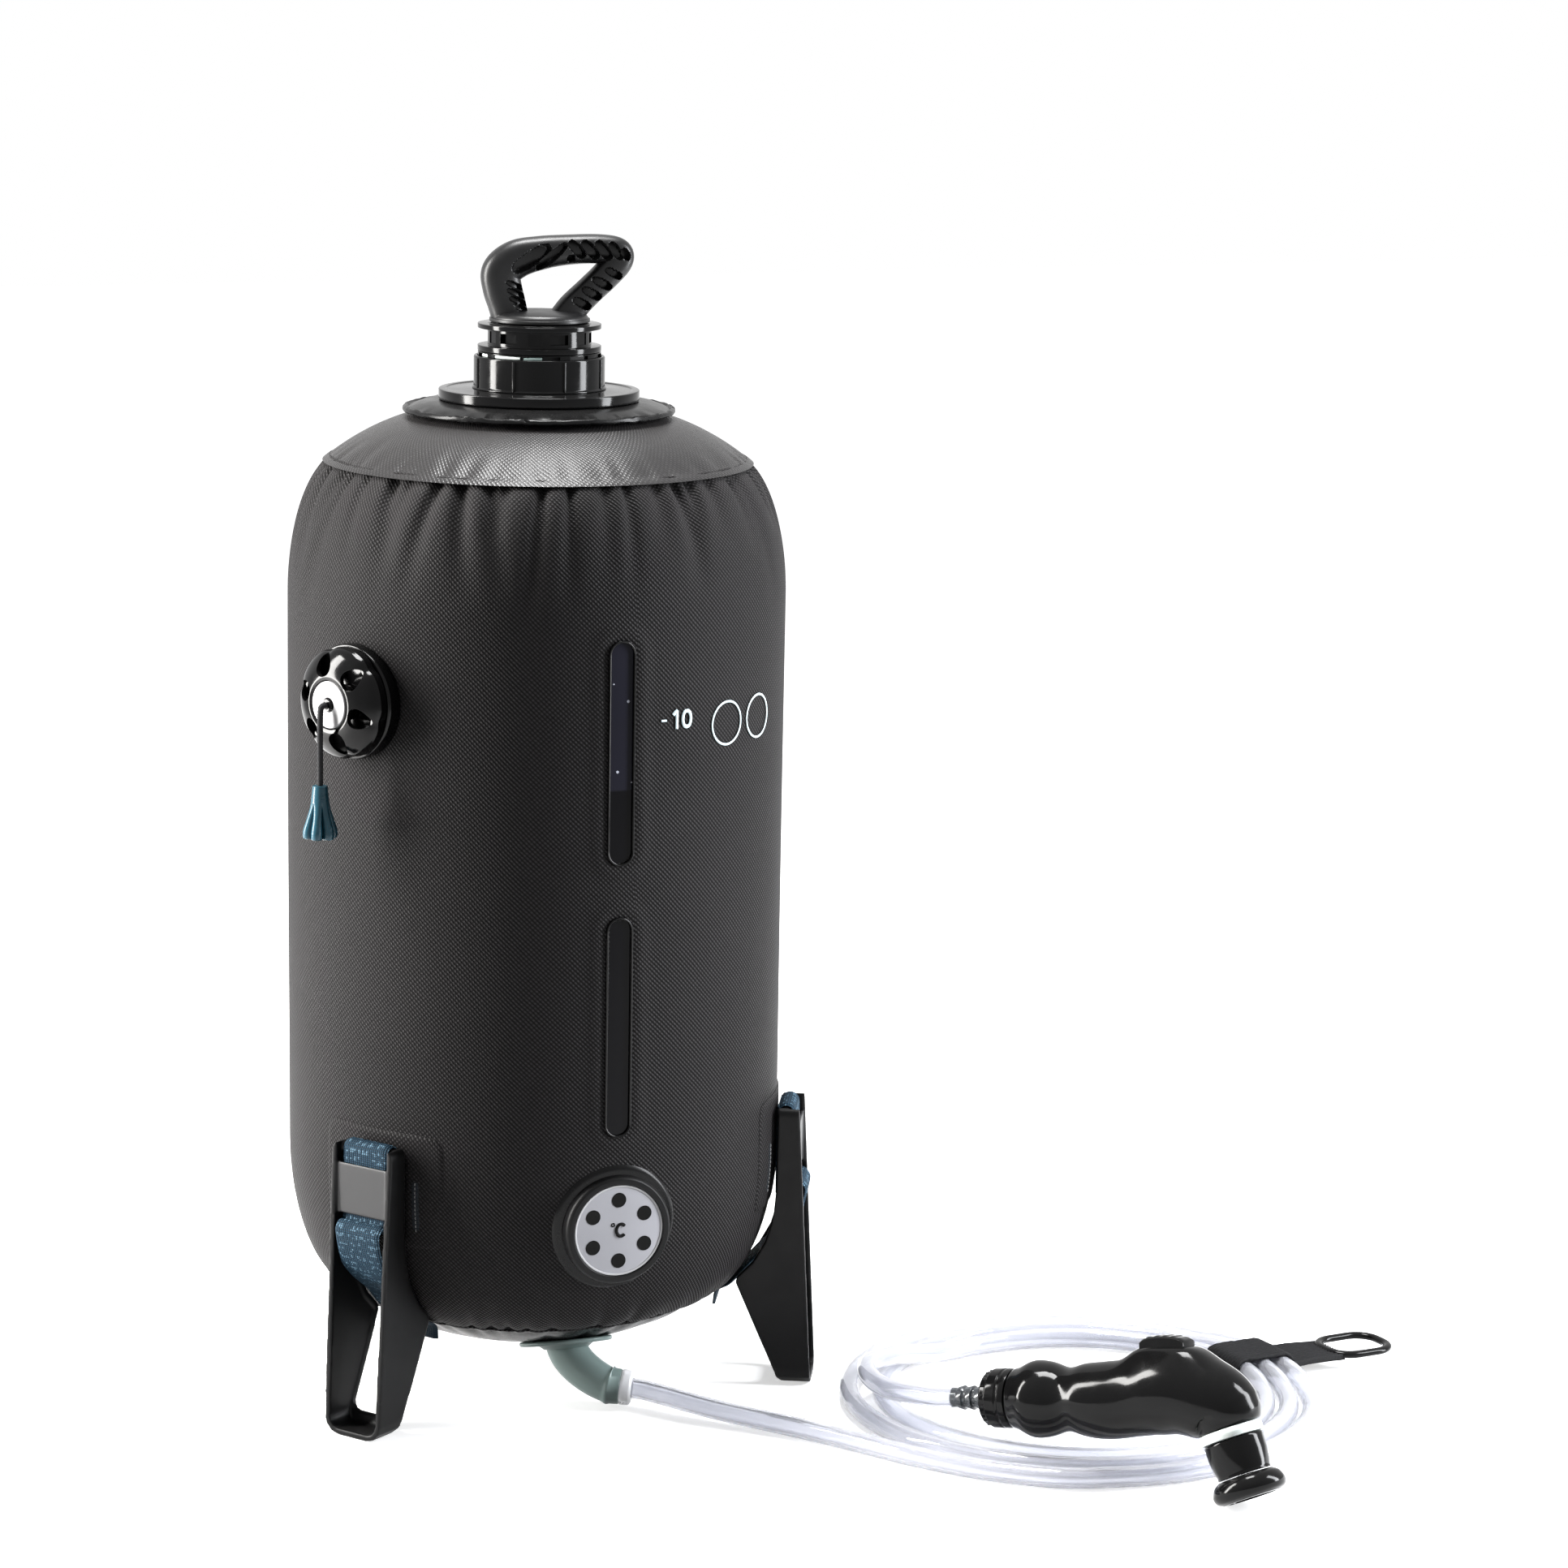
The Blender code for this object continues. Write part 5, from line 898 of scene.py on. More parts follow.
# Colour, roughness, wear, grain, its depth, and specular level
PLASTICS = {
    "black_panel": ((0.003, 0.003, 0.0032), 0.25, 0.2, 600.0, 0.00004, 0.11),
    "liner_film": ((0.25, 0.26, 0.27), 0.35, 0.0, 300.0, 0.0002, 0.5),
    # The leg's plate: a lighter, shinier copy of the legs' satin, a painted highlight where the plate catches
    # the light.
    "plate_satin": ((0.018, 0.018, 0.019), 0.42, 0.0, 2400.0, 0.00005, 0.3),
    "teal_plastic": ((0.19, 0.25, 0.24), 0.36, 0.15, 1400.0, 0.00003, 0.3),
    "pale_plastic": ((0.80, 0.87, 0.84), 0.35, 0.0, 1400.0, 0.00003, 0.5),
    "grey_plastic": ((0.48, 0.48, 0.49), 0.5, 0.0, 1400.0, 0.00003, 0.5),
    "silver_dial": ((0.40, 0.40, 0.43), 0.38, 0.0, 600.0, 0.00001, 0.3),
    "blue_plastic": ((0.014, 0.075, 0.110), 0.28, 0.3, 1400.0, 0.00003, 0.3),
    "black_rubber": ((0.012, 0.012, 0.012), 0.6, 0.2, 1400.0, 0.00003, 0.15),
    "light_print": ((0.66, 0.79, 0.82), 0.5, 0.0, 1400.0, 0.00003, 0.5),
    "barrel_plastic": ((0.20, 0.21, 0.21), 0.4, 0.1, 1400.0, 0.00003, 0.2),
    "dark_print": ((0.003, 0.003, 0.003), 0.6, 0.0, 1400.0, 0.00003, 0.08),
    "thread": ((0.22, 0.22, 0.22), 0.7, 0.0, 1400.0, 0.00003, 0.5),
}
# Colour, roughness, waviness and clearness
CLEAR = {
    "clear_hose": ((0.82, 0.83, 0.88), 0.07, 0.0003, 0.80),
    "milky_ring": ((0.96, 0.96, 0.97), 0.3, 0.00003, 0.55),
    "smoky_barb": ((0.10, 0.11, 0.12), 0.15, 0.00005, 0.5),
}


def make_materials(settings):
    """Every finish of the shower, by its slot's name or its own."""
    groups = make_groups()
    plastics = dict(PLASTICS)
    plastics["black_gloss"] = (settings.gloss_colour, 0.10, 0.25, 900.0, 0.00001, 0.12)
    plastics["black_satin"] = (settings.satin_colour, 0.38, 0.4, 1800.0, 0.00003, 0.11)
    made = {}
    for name, (*look, level) in plastics.items():
        made[name] = moulded(groups, name, *look, Specular_IOR_Level=level)
    for name, look in CLEAR.items():
        made[name] = clear_plastic(groups, name, *look)
    for name, roughness, contrast, depth, level in (
        ("charcoal_cloth", 0.50, 0.8, 0.0003, 0.07),
        ("shiny_cloth", 0.27, 0.7, 0.00012, 0.2),
    ):
        twill = (settings.cloth_colour, roughness, settings.weave_pitch, contrast, depth)
        made[name] = cloth(groups, name, *twill, Specular_IOR_Level=level)
    grip = (settings.satin_colour, 0.36, 0.0, 2200.0, 0.00002, 0.0)
    made["matte_handle"] = moulded(groups, "matte_handle", *grip, Specular_IOR_Level=0.25)
    steel = ((0.27, 0.27, 0.28), 0.25, 0.0, 900.0, 0.00001)
    made["spring_steel"] = moulded(groups, "spring_steel", *steel, Metallic=1.0)
    for name, colour, glint in (
        ("blue_webbing", settings.webbing_colour, (0.14, 0.25, 0.34)),
        ("dark_webbing", (0.012, 0.018, 0.025), (0.03, 0.04, 0.05)),
    ):
        made[name] = strap_cloth(groups, name, colour, glint)
    for name, colour, scale, depth in (
        ("hook_and_loop", (0.004, 0.004, 0.0045), 1600.0, 0.0003),
        ("cord_braid", (0.012, 0.012, 0.013), 2600.0, 0.0002),
    ):
        made[name] = pile_cloth(groups, name, colour, scale, depth)
    made["gauge_film"] = gauge_film(groups, "gauge_film")
    return made


# Filled as the steps run: materials by name
FINISHES = {}


def dressed(obj, body, slot, finish=None, nodes=(), angle=38):
    """Give a piece its finish, its body, its slot and the solids that it stands for."""
    obj.data.materials.clear()
    obj.data.materials.append(FINISHES[finish or slot])
    if obj.type == "MESH":
        obj.data.shade_smooth()
        obj.data.set_sharp_from_angle(angle=math.radians(angle))
    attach(obj, body)
    if nodes:
        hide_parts(*nodes)
    return obj


# ---------------------------------------------------------------- the bag


def wrapped(name, azimuth, radius, height, wide, run):
    """A sheet round the bag from rows of radius and height, with its widths and its lengths."""
    points = np.stack([radius * np.sin(azimuth), -radius * np.cos(azimuth), height], axis=2)
    uv = np.stack(np.meshgrid(wide, run, indexing="xy"), axis=2)
    return sheet_mesh(name, points, uv, around=True)


def bag_side(settings):
    """The side panel, with its puckers at both seams."""
    line, out = wall_line(0.0024)
    run = lengths_of(line)
    columns = SIDE_COLUMNS
    azimuth = even_turns(columns)
    top = folds(TOP_FOLDS, settings.fold_count, settings.fold_depth, 0.060, 0.0044)
    base = folds(BASE_FOLDS, settings.fold_count, settings.fold_depth * 0.55, 0.036, 0.0040)
    drawn = pucker(azimuth[None, :], run[:, None], BAG_RADIUS, top)
    drawn += pucker(azimuth[None, :], run[-1] - run[:, None], BAG_RADIUS, base)
    swell = 0.0003 * np.sin(
        3 * azimuth[None, :] + 9 * run[:, None]
    ) * np.sin(math.pi * run[:, None] / run[-1])
    for centre in WINDOW_CENTRES.values():
        height = line[:, None, 1] - centre
        across = ((azimuth[None, :] - WINDOW_AZIMUTH + math.pi) % math.tau - math.pi) * BAG_RADIUS
        beyond = np.maximum(np.abs(height) - (WINDOW_LENGTH - WINDOW_WIDTH) / 2, 0)
        away = np.hypot(across, beyond) / (WINDOW_WIDTH / 2)
        swell = swell + 0.0006 * np.exp(-(((away - 1.6) / 0.5) ** 2)) - 0.0002 * (away < 1)
    offset = FABRIC * 0.2 - drawn + swell - 0.0004 * (run[:, None] > run[-1])
    radius = line[:, 0:1] + out[:, 0:1] * offset
    height = line[:, 1:2] + out[:, 1:2] * offset
    wide = np.arange(columns + 1) * math.tau / columns * BAG_RADIUS
    side = link("bag_side", wrapped("bag_side", azimuth, radius, height, wide, -run))
    dressed(side, "bag", "charcoal_cloth", nodes=("side_panel",), angle=180)
    return side


def bag_top(settings):
    """The shiny top panel between the seam and the neck."""
    columns = PANEL_COLUMNS
    azimuth = even_turns(columns)
    radii = np.concatenate(
        [
            [TOP_SEAM_RADIUS + 0.0034, TOP_SEAM_RADIUS + 0.0017],
            np.linspace(TOP_SEAM_RADIUS, NECK_OUTSIDE + GAP, 60),
        ]
    )
    run = TOP_SEAM_RADIUS - radii
    marks = folds(TOP_FOLDS, settings.fold_count, settings.fold_depth * 0.30, 0.018, 0.0034)
    drawn = pucker(azimuth[None, :], np.maximum(run, 0)[:, None], TOP_SEAM_RADIUS, marks)
    height = np.array([dome_height(r) for r in radii])[:, None] - drawn - 0.0003
    height[0] = TOP_SEAM_HEIGHT - 0.0012
    height[1] = TOP_SEAM_HEIGHT + 0.0002
    height = np.where(radii[:, None] < WELD_RADIUS, np.minimum(height, WELD_HEIGHT - 0.0016), height)
    radius = np.broadcast_to(radii[:, None], height.shape)
    wide = np.arange(columns + 1) * math.tau / columns * TOP_SEAM_RADIUS
    mesh = wrapped("bag_top", azimuth, radius, height, wide, run)
    mesh.flip_normals()
    top = link("bag_top", mesh)
    dressed(top, "bag", "charcoal_cloth", "shiny_cloth", ("top_panel",), angle=180)


def bag_base(settings):
    """The smooth bottom panel, drawn in a little at its seam."""
    columns = PANEL_COLUMNS
    azimuth = even_turns(columns)
    radii = np.concatenate([[BASE_SEAM_RADIUS + 0.0010], np.linspace(BASE_SEAM_RADIUS + 0.0006, 0.0008, 50)])
    run = np.maximum(BASE_SEAM_RADIUS - radii, 0)
    marks = folds(BASE_FOLDS, settings.fold_count, settings.fold_depth * 0.43, 0.030, 0.0050)
    drawn = pucker(azimuth[None, :], run[:, None], BASE_SEAM_RADIUS, marks)
    height = np.array([base_height(r) for r in radii])[:, None] + drawn
    height[0] += 0.0024
    radius = np.broadcast_to(radii[:, None], height.shape)
    wide = np.arange(columns + 1) * math.tau / columns * BASE_SEAM_RADIUS
    base = link("bag_base", tidy(wrapped("bag_base", azimuth, radius, height, wide, run)))
    dressed(base, "bag", "black_panel", nodes=("bottom_panel",), angle=180)


def bag_liner():
    """The thin water liner inside the bag, a little crumpled."""
    line, out = wall_line(0.008)
    inset = -(FABRIC + 0.0012)
    wall = [(r + n[0] * inset, z + n[1] * inset) for (r, z), n in zip(line, out)][1:-1]
    high = [
        (r, dome_height(r) - FABRIC - 0.0012)
        for r in np.linspace(NECK_OUTSIDE + 0.002, TOP_SEAM_RADIUS - 0.006, 8)
    ]
    low = [(r, base_height(r) + FABRIC + 0.0012) for r in np.linspace(BASE_SEAM_RADIUS - 0.006, 0.001, 8)]
    outline = np.array(high + wall + low)
    columns = 96
    azimuth = even_turns(columns)
    crumple = 0.0008 * np.sin(11 * azimuth[None, :] + 60 * outline[:, 1:2]) ** 2
    tucked = 0.0045 * sum(
        np.exp(-(((outline[:, 1:2] - seam) / reach) ** 4)) for seam, reach in (
            (TOP_SEAM_HEIGHT, 0.055),
            (BASE_SEAM_HEIGHT, 0.035),
        )
    )
    radius = np.maximum(
        outline[:, 0:1] - crumple - tucked * (outline[:, 0:1] > BASE_SEAM_RADIUS - 0.01), 0.001
    )
    height = np.broadcast_to(outline[:, 1:2], radius.shape)
    wide = np.arange(columns + 1) / columns
    mesh = wrapped("bag_liner", azimuth, radius, height, wide, np.arange(len(outline)) / 10)
    liner = link("bag_liner", tidy(mesh))
    dressed(liner, "bag", "liner_film", nodes=("water_liner",), angle=180)


def bag_seams():
    """The doubled cloth edges at both seams."""
    columns = PANEL_COLUMNS
    azimuth = even_turns(columns)
    random = np.random.default_rng(3)
    ripple = np.convolve(random.normal(0, 0.0004, columns), np.ones(5) / 5, "same")
    pieces = []
    for radius, height, lift in (
        (TOP_SEAM_RADIUS - 0.0004, TOP_SEAM_HEIGHT + 0.0006, 0.0005),
        (BASE_SEAM_RADIUS, BASE_SEAM_HEIGHT - 0.0006, -0.0007),
    ):
        path = np.stack([radius * np.sin(azimuth), -radius * np.cos(azimuth), height + ripple], axis=1)
        angle = even_turns(8)
        outward = np.stack([np.sin(azimuth), -np.cos(azimuth), 0 * azimuth], axis=1)
        points = (
            path[:, None]
            + outward[:, None] * (0.0010 * np.cos(angle))[None, :, None]
            + np.array([0, 0, 1]) * (lift * np.sin(angle))[None, :, None]
        )
        uv = np.zeros((columns + 1, 9, 2))
        uv[..., 0] = (np.arange(columns + 1) * math.tau / columns * radius)[:, None]
        uv[..., 1] = np.arange(9) * 0.0008
        pieces.append(link("seam", tidy(sheet_mesh("seam", points, uv, around=True, closed=True))))
    dressed(merged("bag_seams", pieces), "bag", "charcoal_cloth")


def wall_patch(name, azimuth, centre, half, corner, offset, lift, count=40):
    """A rounded patch that follows the wall, with a soft raised face."""
    grid = np.linspace(-1, 1, count)
    a, b = np.meshgrid(grid, grid, indexing="xy")
    level = np.maximum(np.abs(a), np.abs(b))
    power = 2 + 10 * (1 - corner)
    norm = np.maximum((np.abs(a) ** power + np.abs(b) ** power) ** (1 / power), 1e-9)
    x = a / norm * level * half[0]
    y = b / norm * level * half[1]
    rise = offset + lift * np.clip((1 - level) / 0.06, 0, 1) ** 0.5
    radius, height = wall_at(centre + y, rise)
    turn = azimuth + x / BAG_RADIUS
    points = np.stack([radius * np.sin(turn), -radius * np.cos(turn), height], axis=2)
    uv = np.zeros((count + 1, count + 1, 2))
    uv[:count, :count, 0] = azimuth * BAG_RADIUS + x
    uv[:count, :count, 1] = centre + y
    return link(name, sheet_mesh(name, points, uv))


# ---------------------------------------------------------------- neck and pump


def neck():
    """Welded ring, flanged filler neck and ribbed screw collar."""
    inner = NECK_OUTSIDE + GAP
    under = FLANGE_TOP - FLANGE_THICKNESS - GAP
    weld = turned(
        "neck_weld",
        [
            (inner, under),
            (FLANGE_RADIUS, under),
            (0.052, under - 0.0012),
            (WELD_RADIUS - 0.0022, WELD_HEIGHT),
            (WELD_RADIUS - 0.0012, WELD_HEIGHT + 0.0009),
            (WELD_RADIUS - 0.0002, WELD_HEIGHT + 0.0004),
            (WELD_RADIUS + 0.0003, WELD_HEIGHT - 0.0008),
            (WELD_RADIUS - 0.0003, WELD_HEIGHT - 0.0016),
            (FLANGE_RADIUS, WELD_HEIGHT - 0.0012),
            (inner, WELD_HEIGHT - 0.0010),
        ],
        steps=180,
        closed=True,
    )
    random = np.random.default_rng(5)
    bead = random.normal(0, 0.0002, 180)
    for vertex in weld.data.vertices:
        reach = math.hypot(vertex.co.x - AXIS.x, vertex.co.y - AXIS.y)
        if reach > WELD_RADIUS - 0.0024:
            turn = math.atan2(vertex.co.y - AXIS.y, vertex.co.x - AXIS.x) % math.tau
            vertex.co.z += bead[int(turn / math.tau * 180) % 180] * 0.8
    dressed(weld, "bag", "black_panel", nodes=("welded_ring",))

    low = FLANGE_TOP - FLANGE_THICKNESS
    flange = turned(
        "neck_flange",
        [
            (NECK_BORE, NECK_TOP),
            (NECK_OUTSIDE, NECK_TOP),
            (NECK_OUTSIDE, FLANGE_TOP + 0.0004),
            (0.0405, FLANGE_TOP - 0.0002),
            (0.0412, FLANGE_TOP + 0.0002),
            (FLANGE_RADIUS, FLANGE_TOP + 0.0001),
            (FLANGE_RADIUS, low),
            (NECK_OUTSIDE, low),
            (NECK_OUTSIDE, low - 0.0070),
            (NECK_BORE, low - 0.0070),
        ],
        steps=180,
        rounding=0.0006,
        closed=True,
    )
    dressed(flange, "bag", "black_gloss", nodes=("filler_neck",))

    low = FLANGE_TOP + GAP
    top = CAGE_LOW + GAP + 0.0015
    collar = turned(
        "ribbed_collar",
        [
            (CAGE_RADIUS + GAP, top),
            (COLLAR_RADIUS - 0.0004, top),
            (COLLAR_RADIUS, top - 0.0006),
            (COLLAR_RADIUS, low + 0.0012),
            (COLLAR_RADIUS + 0.0006, low + 0.0006),
            (COLLAR_RADIUS + 0.0006, low),
            (NECK_OUTSIDE + GAP, low),
            (NECK_OUTSIDE + GAP, SEAT_LOW - GAP),
            (0.0281, SEAT_LOW - GAP),
            (0.0281, CAGE_LOW + GAP),
            (CAGE_RADIUS + GAP, CAGE_LOW + GAP),
        ],
        steps=128,
        closed=True,
    )
    for i in range(COLLAR_RIBS):
        turn = Matrix.Rotation(math.tau * i / COLLAR_RIBS, 4, "Z")
        path = [(COLLAR_RADIUS - 0.0001, 0, z) for z in np.linspace(low + 0.0008, top - 0.0008, 5)]
        carve(collar, swept("rib", path, [0.0008] * 5, turn, sides=12, hint=(1, 0, 0)), "UNION")
    dressed(collar, "screw_collar", "black_gloss", nodes=("screw_collar",), angle=30)


def pump():
    """Pump head, sealing ring and slotted cage."""
    core = 0.0242
    head = turned(
        "pump_top",
        [
            (0.0050, CAP_TOP),
            (0.0225, CAP_TOP),
            (0.0229, CAP_TOP - 0.0003),
            (DISC_RADIUS, CAP_TOP - 0.0003),
            (DISC_RADIUS, CAP_LOW),
            (WAIST_RADIUS, CAP_LOW),
            (WAIST_RADIUS, WAIST_LOW),
            (DISC_RADIUS, WAIST_LOW),
            (DISC_RADIUS, DISC_LOW),
            (core, DISC_LOW),
            (core, CAGE_LOW),
            (0.0278, CAGE_LOW),
            (0.0278, SEAT_LOW),
            (NECK_BORE - 0.0005, SEAT_LOW),
            (NECK_BORE - 0.0005, SEAT_LOW - 0.0140),
            (0.0050, SEAT_LOW - 0.0140),
        ],
        steps=128,
        rounding=0.0003,
        closed=True,
    )
    middle = (WAIST_LOW + CAP_LOW) / 2
    tools = []
    for i in range(6):
        turn = Matrix.Rotation(math.tau * (i + 0.5) / 6, 4, "Z")
        tools.append(box_tool("slot", (0.0044, 0.0085, 0.0044), (WAIST_RADIUS, 0, middle), turn))
    for i in range(6):
        turn = Matrix.Rotation(math.tau * i / 6 + 0.05, 4, "Z")
        tools.append(box_tool("step", (0.0012, 0.0060, 0.0052), (WAIST_RADIUS, 0, middle), turn))
    carve(head, merged("slots", tools))
    dressed(head, "pump_unit", "black_gloss", nodes=("pump_head",), angle=30)

    outer = CAGE_RADIUS - 0.0014
    seal = turned(
        "pump_seal",
        [
            (outer - 0.0015, DISC_LOW - GAP),
            (outer, DISC_LOW - GAP),
            (outer, CAGE_LOW + GAP),
            (outer - 0.0015, CAGE_LOW + GAP),
        ],
        steps=96,
        closed=True,
    )
    dressed(seal, "pump_unit", "pale_plastic", "black_rubber", ("seal_ring",))
    level = (CAGE_LOW + DISC_LOW) / 2
    turns = np.radians(np.linspace(-91, -41, 24))
    strip = swept("strip", [tuple(around(t, 0.0262, level + 0.0004)) for t in turns], [0.0007] * 24, sides=12)
    turns = np.radians(np.linspace(-37, -20, 12))
    block = swept("block", [tuple(around(t, 0.0262, level)) for t in turns], [0.0013] * 12, sides=12)
    dressed(strip, "pump_unit", "pale_plastic")
    dressed(block, "pump_unit", "pale_plastic", "teal_plastic")
    cage = turned(
        "pump_cage",
        [
            (CAGE_RADIUS - 0.0011, DISC_LOW - GAP),
            (CAGE_RADIUS, DISC_LOW - GAP),
            (CAGE_RADIUS, CAGE_LOW + GAP),
            (CAGE_RADIUS - 0.0011, CAGE_LOW + GAP),
        ],
        steps=120,
        rounding=0.0002,
        closed=True,
    )
    tools = []
    for i in range(10):
        turn = Matrix.Rotation(math.tau * i / 10, 4, "Z")
        wide = 0.0113 * (1.25 if i in (6, 7) else 0.9)
        tools.append(
            box_tool("gap", (0.0044, wide, 0.0026), (CAGE_RADIUS, 0, (CAGE_LOW + DISC_LOW) / 2), turn)
        )
    carve(cage, merged("gaps", tools))
    dressed(cage, "pump_unit", "black_gloss", nodes=("cage_ring",), angle=30)


# The handle's middle line: across, up, half width
HANDLE_LINE = (
    (-0.0130, -0.0040, 0.0080),
    (-0.0148, 0.0030, 0.0083),
    (-0.0168, 0.0100, 0.0086),
    (-0.0172, 0.0170, 0.0086),
    (-0.0105, 0.0225, 0.0084),
    (0.0000, 0.0252, 0.0074),
    (0.0120, 0.0266, 0.0066),
    (0.0260, 0.0270, 0.0064),
    (0.0342, 0.0255, 0.0066),
    (0.0345, 0.0215, 0.0066),
    (0.0290, 0.0150, 0.0063),
    (0.0215, 0.0080, 0.0062),
    (0.0150, 0.0015, 0.0066),
    (0.0115, -0.0040, 0.0075),
)
# Pockets in the handle's faces: across, up, half length, half width, lean in degrees
HANDLE_POCKETS = (
    (-0.0050, 0.0232, 0.0088, 0.0027, 33),
    (0.0040, 0.0240, 0.0078, 0.0017, 40),
    (0.0126, 0.0232, 0.0016, 0.0012, 0),
    (0.0152, 0.0272, 0.0044, 0.0018, -48),
    (0.0212, 0.0270, 0.0046, 0.0019, -48),
    (0.0272, 0.0268, 0.0046, 0.0019, -50),
    (0.0326, 0.0266, 0.0040, 0.0017, -55),
    (0.0372, 0.0250, 0.0026, 0.0014, -60),
    (-0.0118, 0.0112, 0.0042, 0.0011, -22),
    (-0.0114, 0.0078, 0.0042, 0.0011, -22),
    (-0.0106, 0.0044, 0.0040, 0.0011, -22),
    (-0.0092, 0.0012, 0.0034, 0.0011, -24),
    (0.0318, 0.0166, 0.0038, 0.0014, -28),
    (0.0268, 0.0122, 0.0044, 0.0016, -28),
    (0.0222, 0.0078, 0.0044, 0.0016, -28),
    (0.0178, 0.0034, 0.0040, 0.0016, -28),
)


def pump_handle():
    """The loop handle on its round base, with pockets pressed into its faces."""
    lift = HANDLE_LOW + 0.0049
    line = evenly(flowing(HANDLE_LINE, 16), 0.00042)
    path = np.stack([line[:, 0], 0 * line[:, 0], line[:, 1]], axis=1)
    sides = 96
    angle = even_turns(sides)
    way = np.gradient(path, axis=0)
    way /= np.linalg.norm(way, axis=1)[:, None]
    across = np.stack([-way[:, 2], 0 * way[:, 0], way[:, 0]], axis=1)
    squared = 1 / (np.abs(np.cos(angle)) ** 2.6 + np.abs(np.sin(angle)) ** 2.6) ** (1 / 2.6)
    wide = np.cos(angle) * squared
    deep = np.sin(angle) * squared
    points = path[:, None] + across[:, None] * wide[None, :, None] * line[:, 2][:, None, None]
    points[..., 1] += deep[None, :] * 0.0072
    sunk = np.zeros(points.shape[:2])
    for x, z, long, slim, lean in HANDLE_POCKETS:
        turn, long, slim = math.radians(lean), long * 1.15, slim * 1.22
        dx, dz = points[..., 0] - x, points[..., 2] - z
        u = dx * math.cos(turn) + dz * math.sin(turn)
        v = -dx * math.sin(turn) + dz * math.cos(turn)
        edge = 1 - (np.abs(u / long) ** 3 + np.abs(v / slim) ** 2.4) ** 0.4
        sunk = np.maximum(sunk, np.clip(edge / 0.18, 0, 1))
    facing = np.clip((np.abs(deep) - 0.30) / 0.25, 0, 1)[None, :]
    points[..., 1] -= np.sign(deep)[None, :] * sunk * facing * 0.0048
    points[..., 2] += lift
    run = lengths_of(path)
    uv = np.stack(np.meshgrid(np.arange(sides + 1) * 0.0005, run, indexing="xy"), axis=2)
    heading = Matrix.Rotation(HANDLE_HEADING, 4, "Z")
    loop = link("loop", tidy(sheet_mesh("loop", points, uv, around=True), ends=True), BAG @ heading)
    outline = flowing(
        [
            (0.0006, 0.0052),
            (0.0090, 0.0051),
            (0.0150, 0.0047),
            (0.0195, 0.0038),
            (0.0212, 0.0025),
            (0.0216, 0.0012),
        ], 6
    )
    outline = [(0.0, 0.0052)] + [tuple(p) for p in outline] + [(0.0216, 0.0), (0.0, 0.0)]
    dome = turned("dome", [(r, HANDLE_LOW + z) for r, z in outline], steps=96, rounding=0.0003)
    rim = turned(
        "rim",
        [
            (0.0150, HANDLE_LOW + 0.0020),
            (0.0222, HANDLE_LOW + 0.0018),
            (0.0222, HANDLE_LOW + 0.0002),
            (0.0150, HANDLE_LOW),
        ],
        steps=96,
        closed=True,
    )
    handle = carve(carve(dome, rim, "UNION"), loop, "UNION")
    dressed(handle, "plunger", "black_satin", "matte_handle", ("pump_handle",), angle=40)


# ---------------------------------------------------------------- wall fittings


def stadium(width, length, count=16):
    """A slot outline with round ends, long in Y, from its right side up."""
    radius, straight = width / 2, length / 2 - width / 2
    turns = np.linspace(0, math.pi, count)
    top = [(radius * math.cos(t), straight + radius * math.sin(t)) for t in turns]
    return top + [(-x, -y) for x, y in top]


def bent_to_wall(obj, azimuth, place):
    """Bend a flat piece made in local X and Y to the bag's round wall."""
    for vertex in obj.data.vertices:
        x, y, z = vertex.co
        turn = azimuth + x / BAG_RADIUS
        vertex.co = around(turn, BAG_RADIUS + z, y + place)
    obj.data.transform(BAG)


def window(name, centre):
    """A level window: a slim raised frame and the dark strip in it."""
    outline = stadium(WINDOW_WIDTH - 0.0010, WINDOW_LENGTH - 0.0010)
    loop = evenly(np.array([(x, y, 0.0008) for x, y in outline + outline[:1]]), 0.0011)[:-1]
    rim = wire_loop(name + "_rim", loop, 0.0006, 0.0010, 12, Matrix.Identity(4))
    bent_to_wall(rim, WINDOW_AZIMUTH, centre)
    dressed(rim, "bag", "black_gloss", nodes=(name + "_frame",))

    rows = np.linspace(-1, 1, 120)
    straight = (WINDOW_LENGTH - WINDOW_WIDTH) / 2
    reach = WINDOW_WIDTH / 2 - 0.0008
    y = rows * (straight + reach)
    beyond = np.maximum(np.abs(y) - straight, 0)
    half = np.sqrt(np.maximum(reach**2 - beyond**2, 0))
    columns = np.linspace(-1, 1, 9)
    points = np.stack(
        [half[:, None] * columns, np.broadcast_to(y[:, None], (120, 9)), np.full((120, 9), 0.0004)], axis=2
    )
    uv = np.zeros((121, 10, 2))
    uv[:120, :9, 0] = points[..., 0]
    uv[:120, :9, 1] = points[..., 1] if name == "upper_window" else -1.0 + 0 * points[..., 1]
    mesh = sheet_mesh(name + "_strip", points, uv)
    mesh.flip_normals()
    strip = link(name + "_strip", mesh, Matrix.Identity(4))
    bent_to_wall(strip, WINDOW_AZIMUTH, centre)
    dressed(strip, "bag", "clear_hose", "gauge_film", (name,), angle=180)


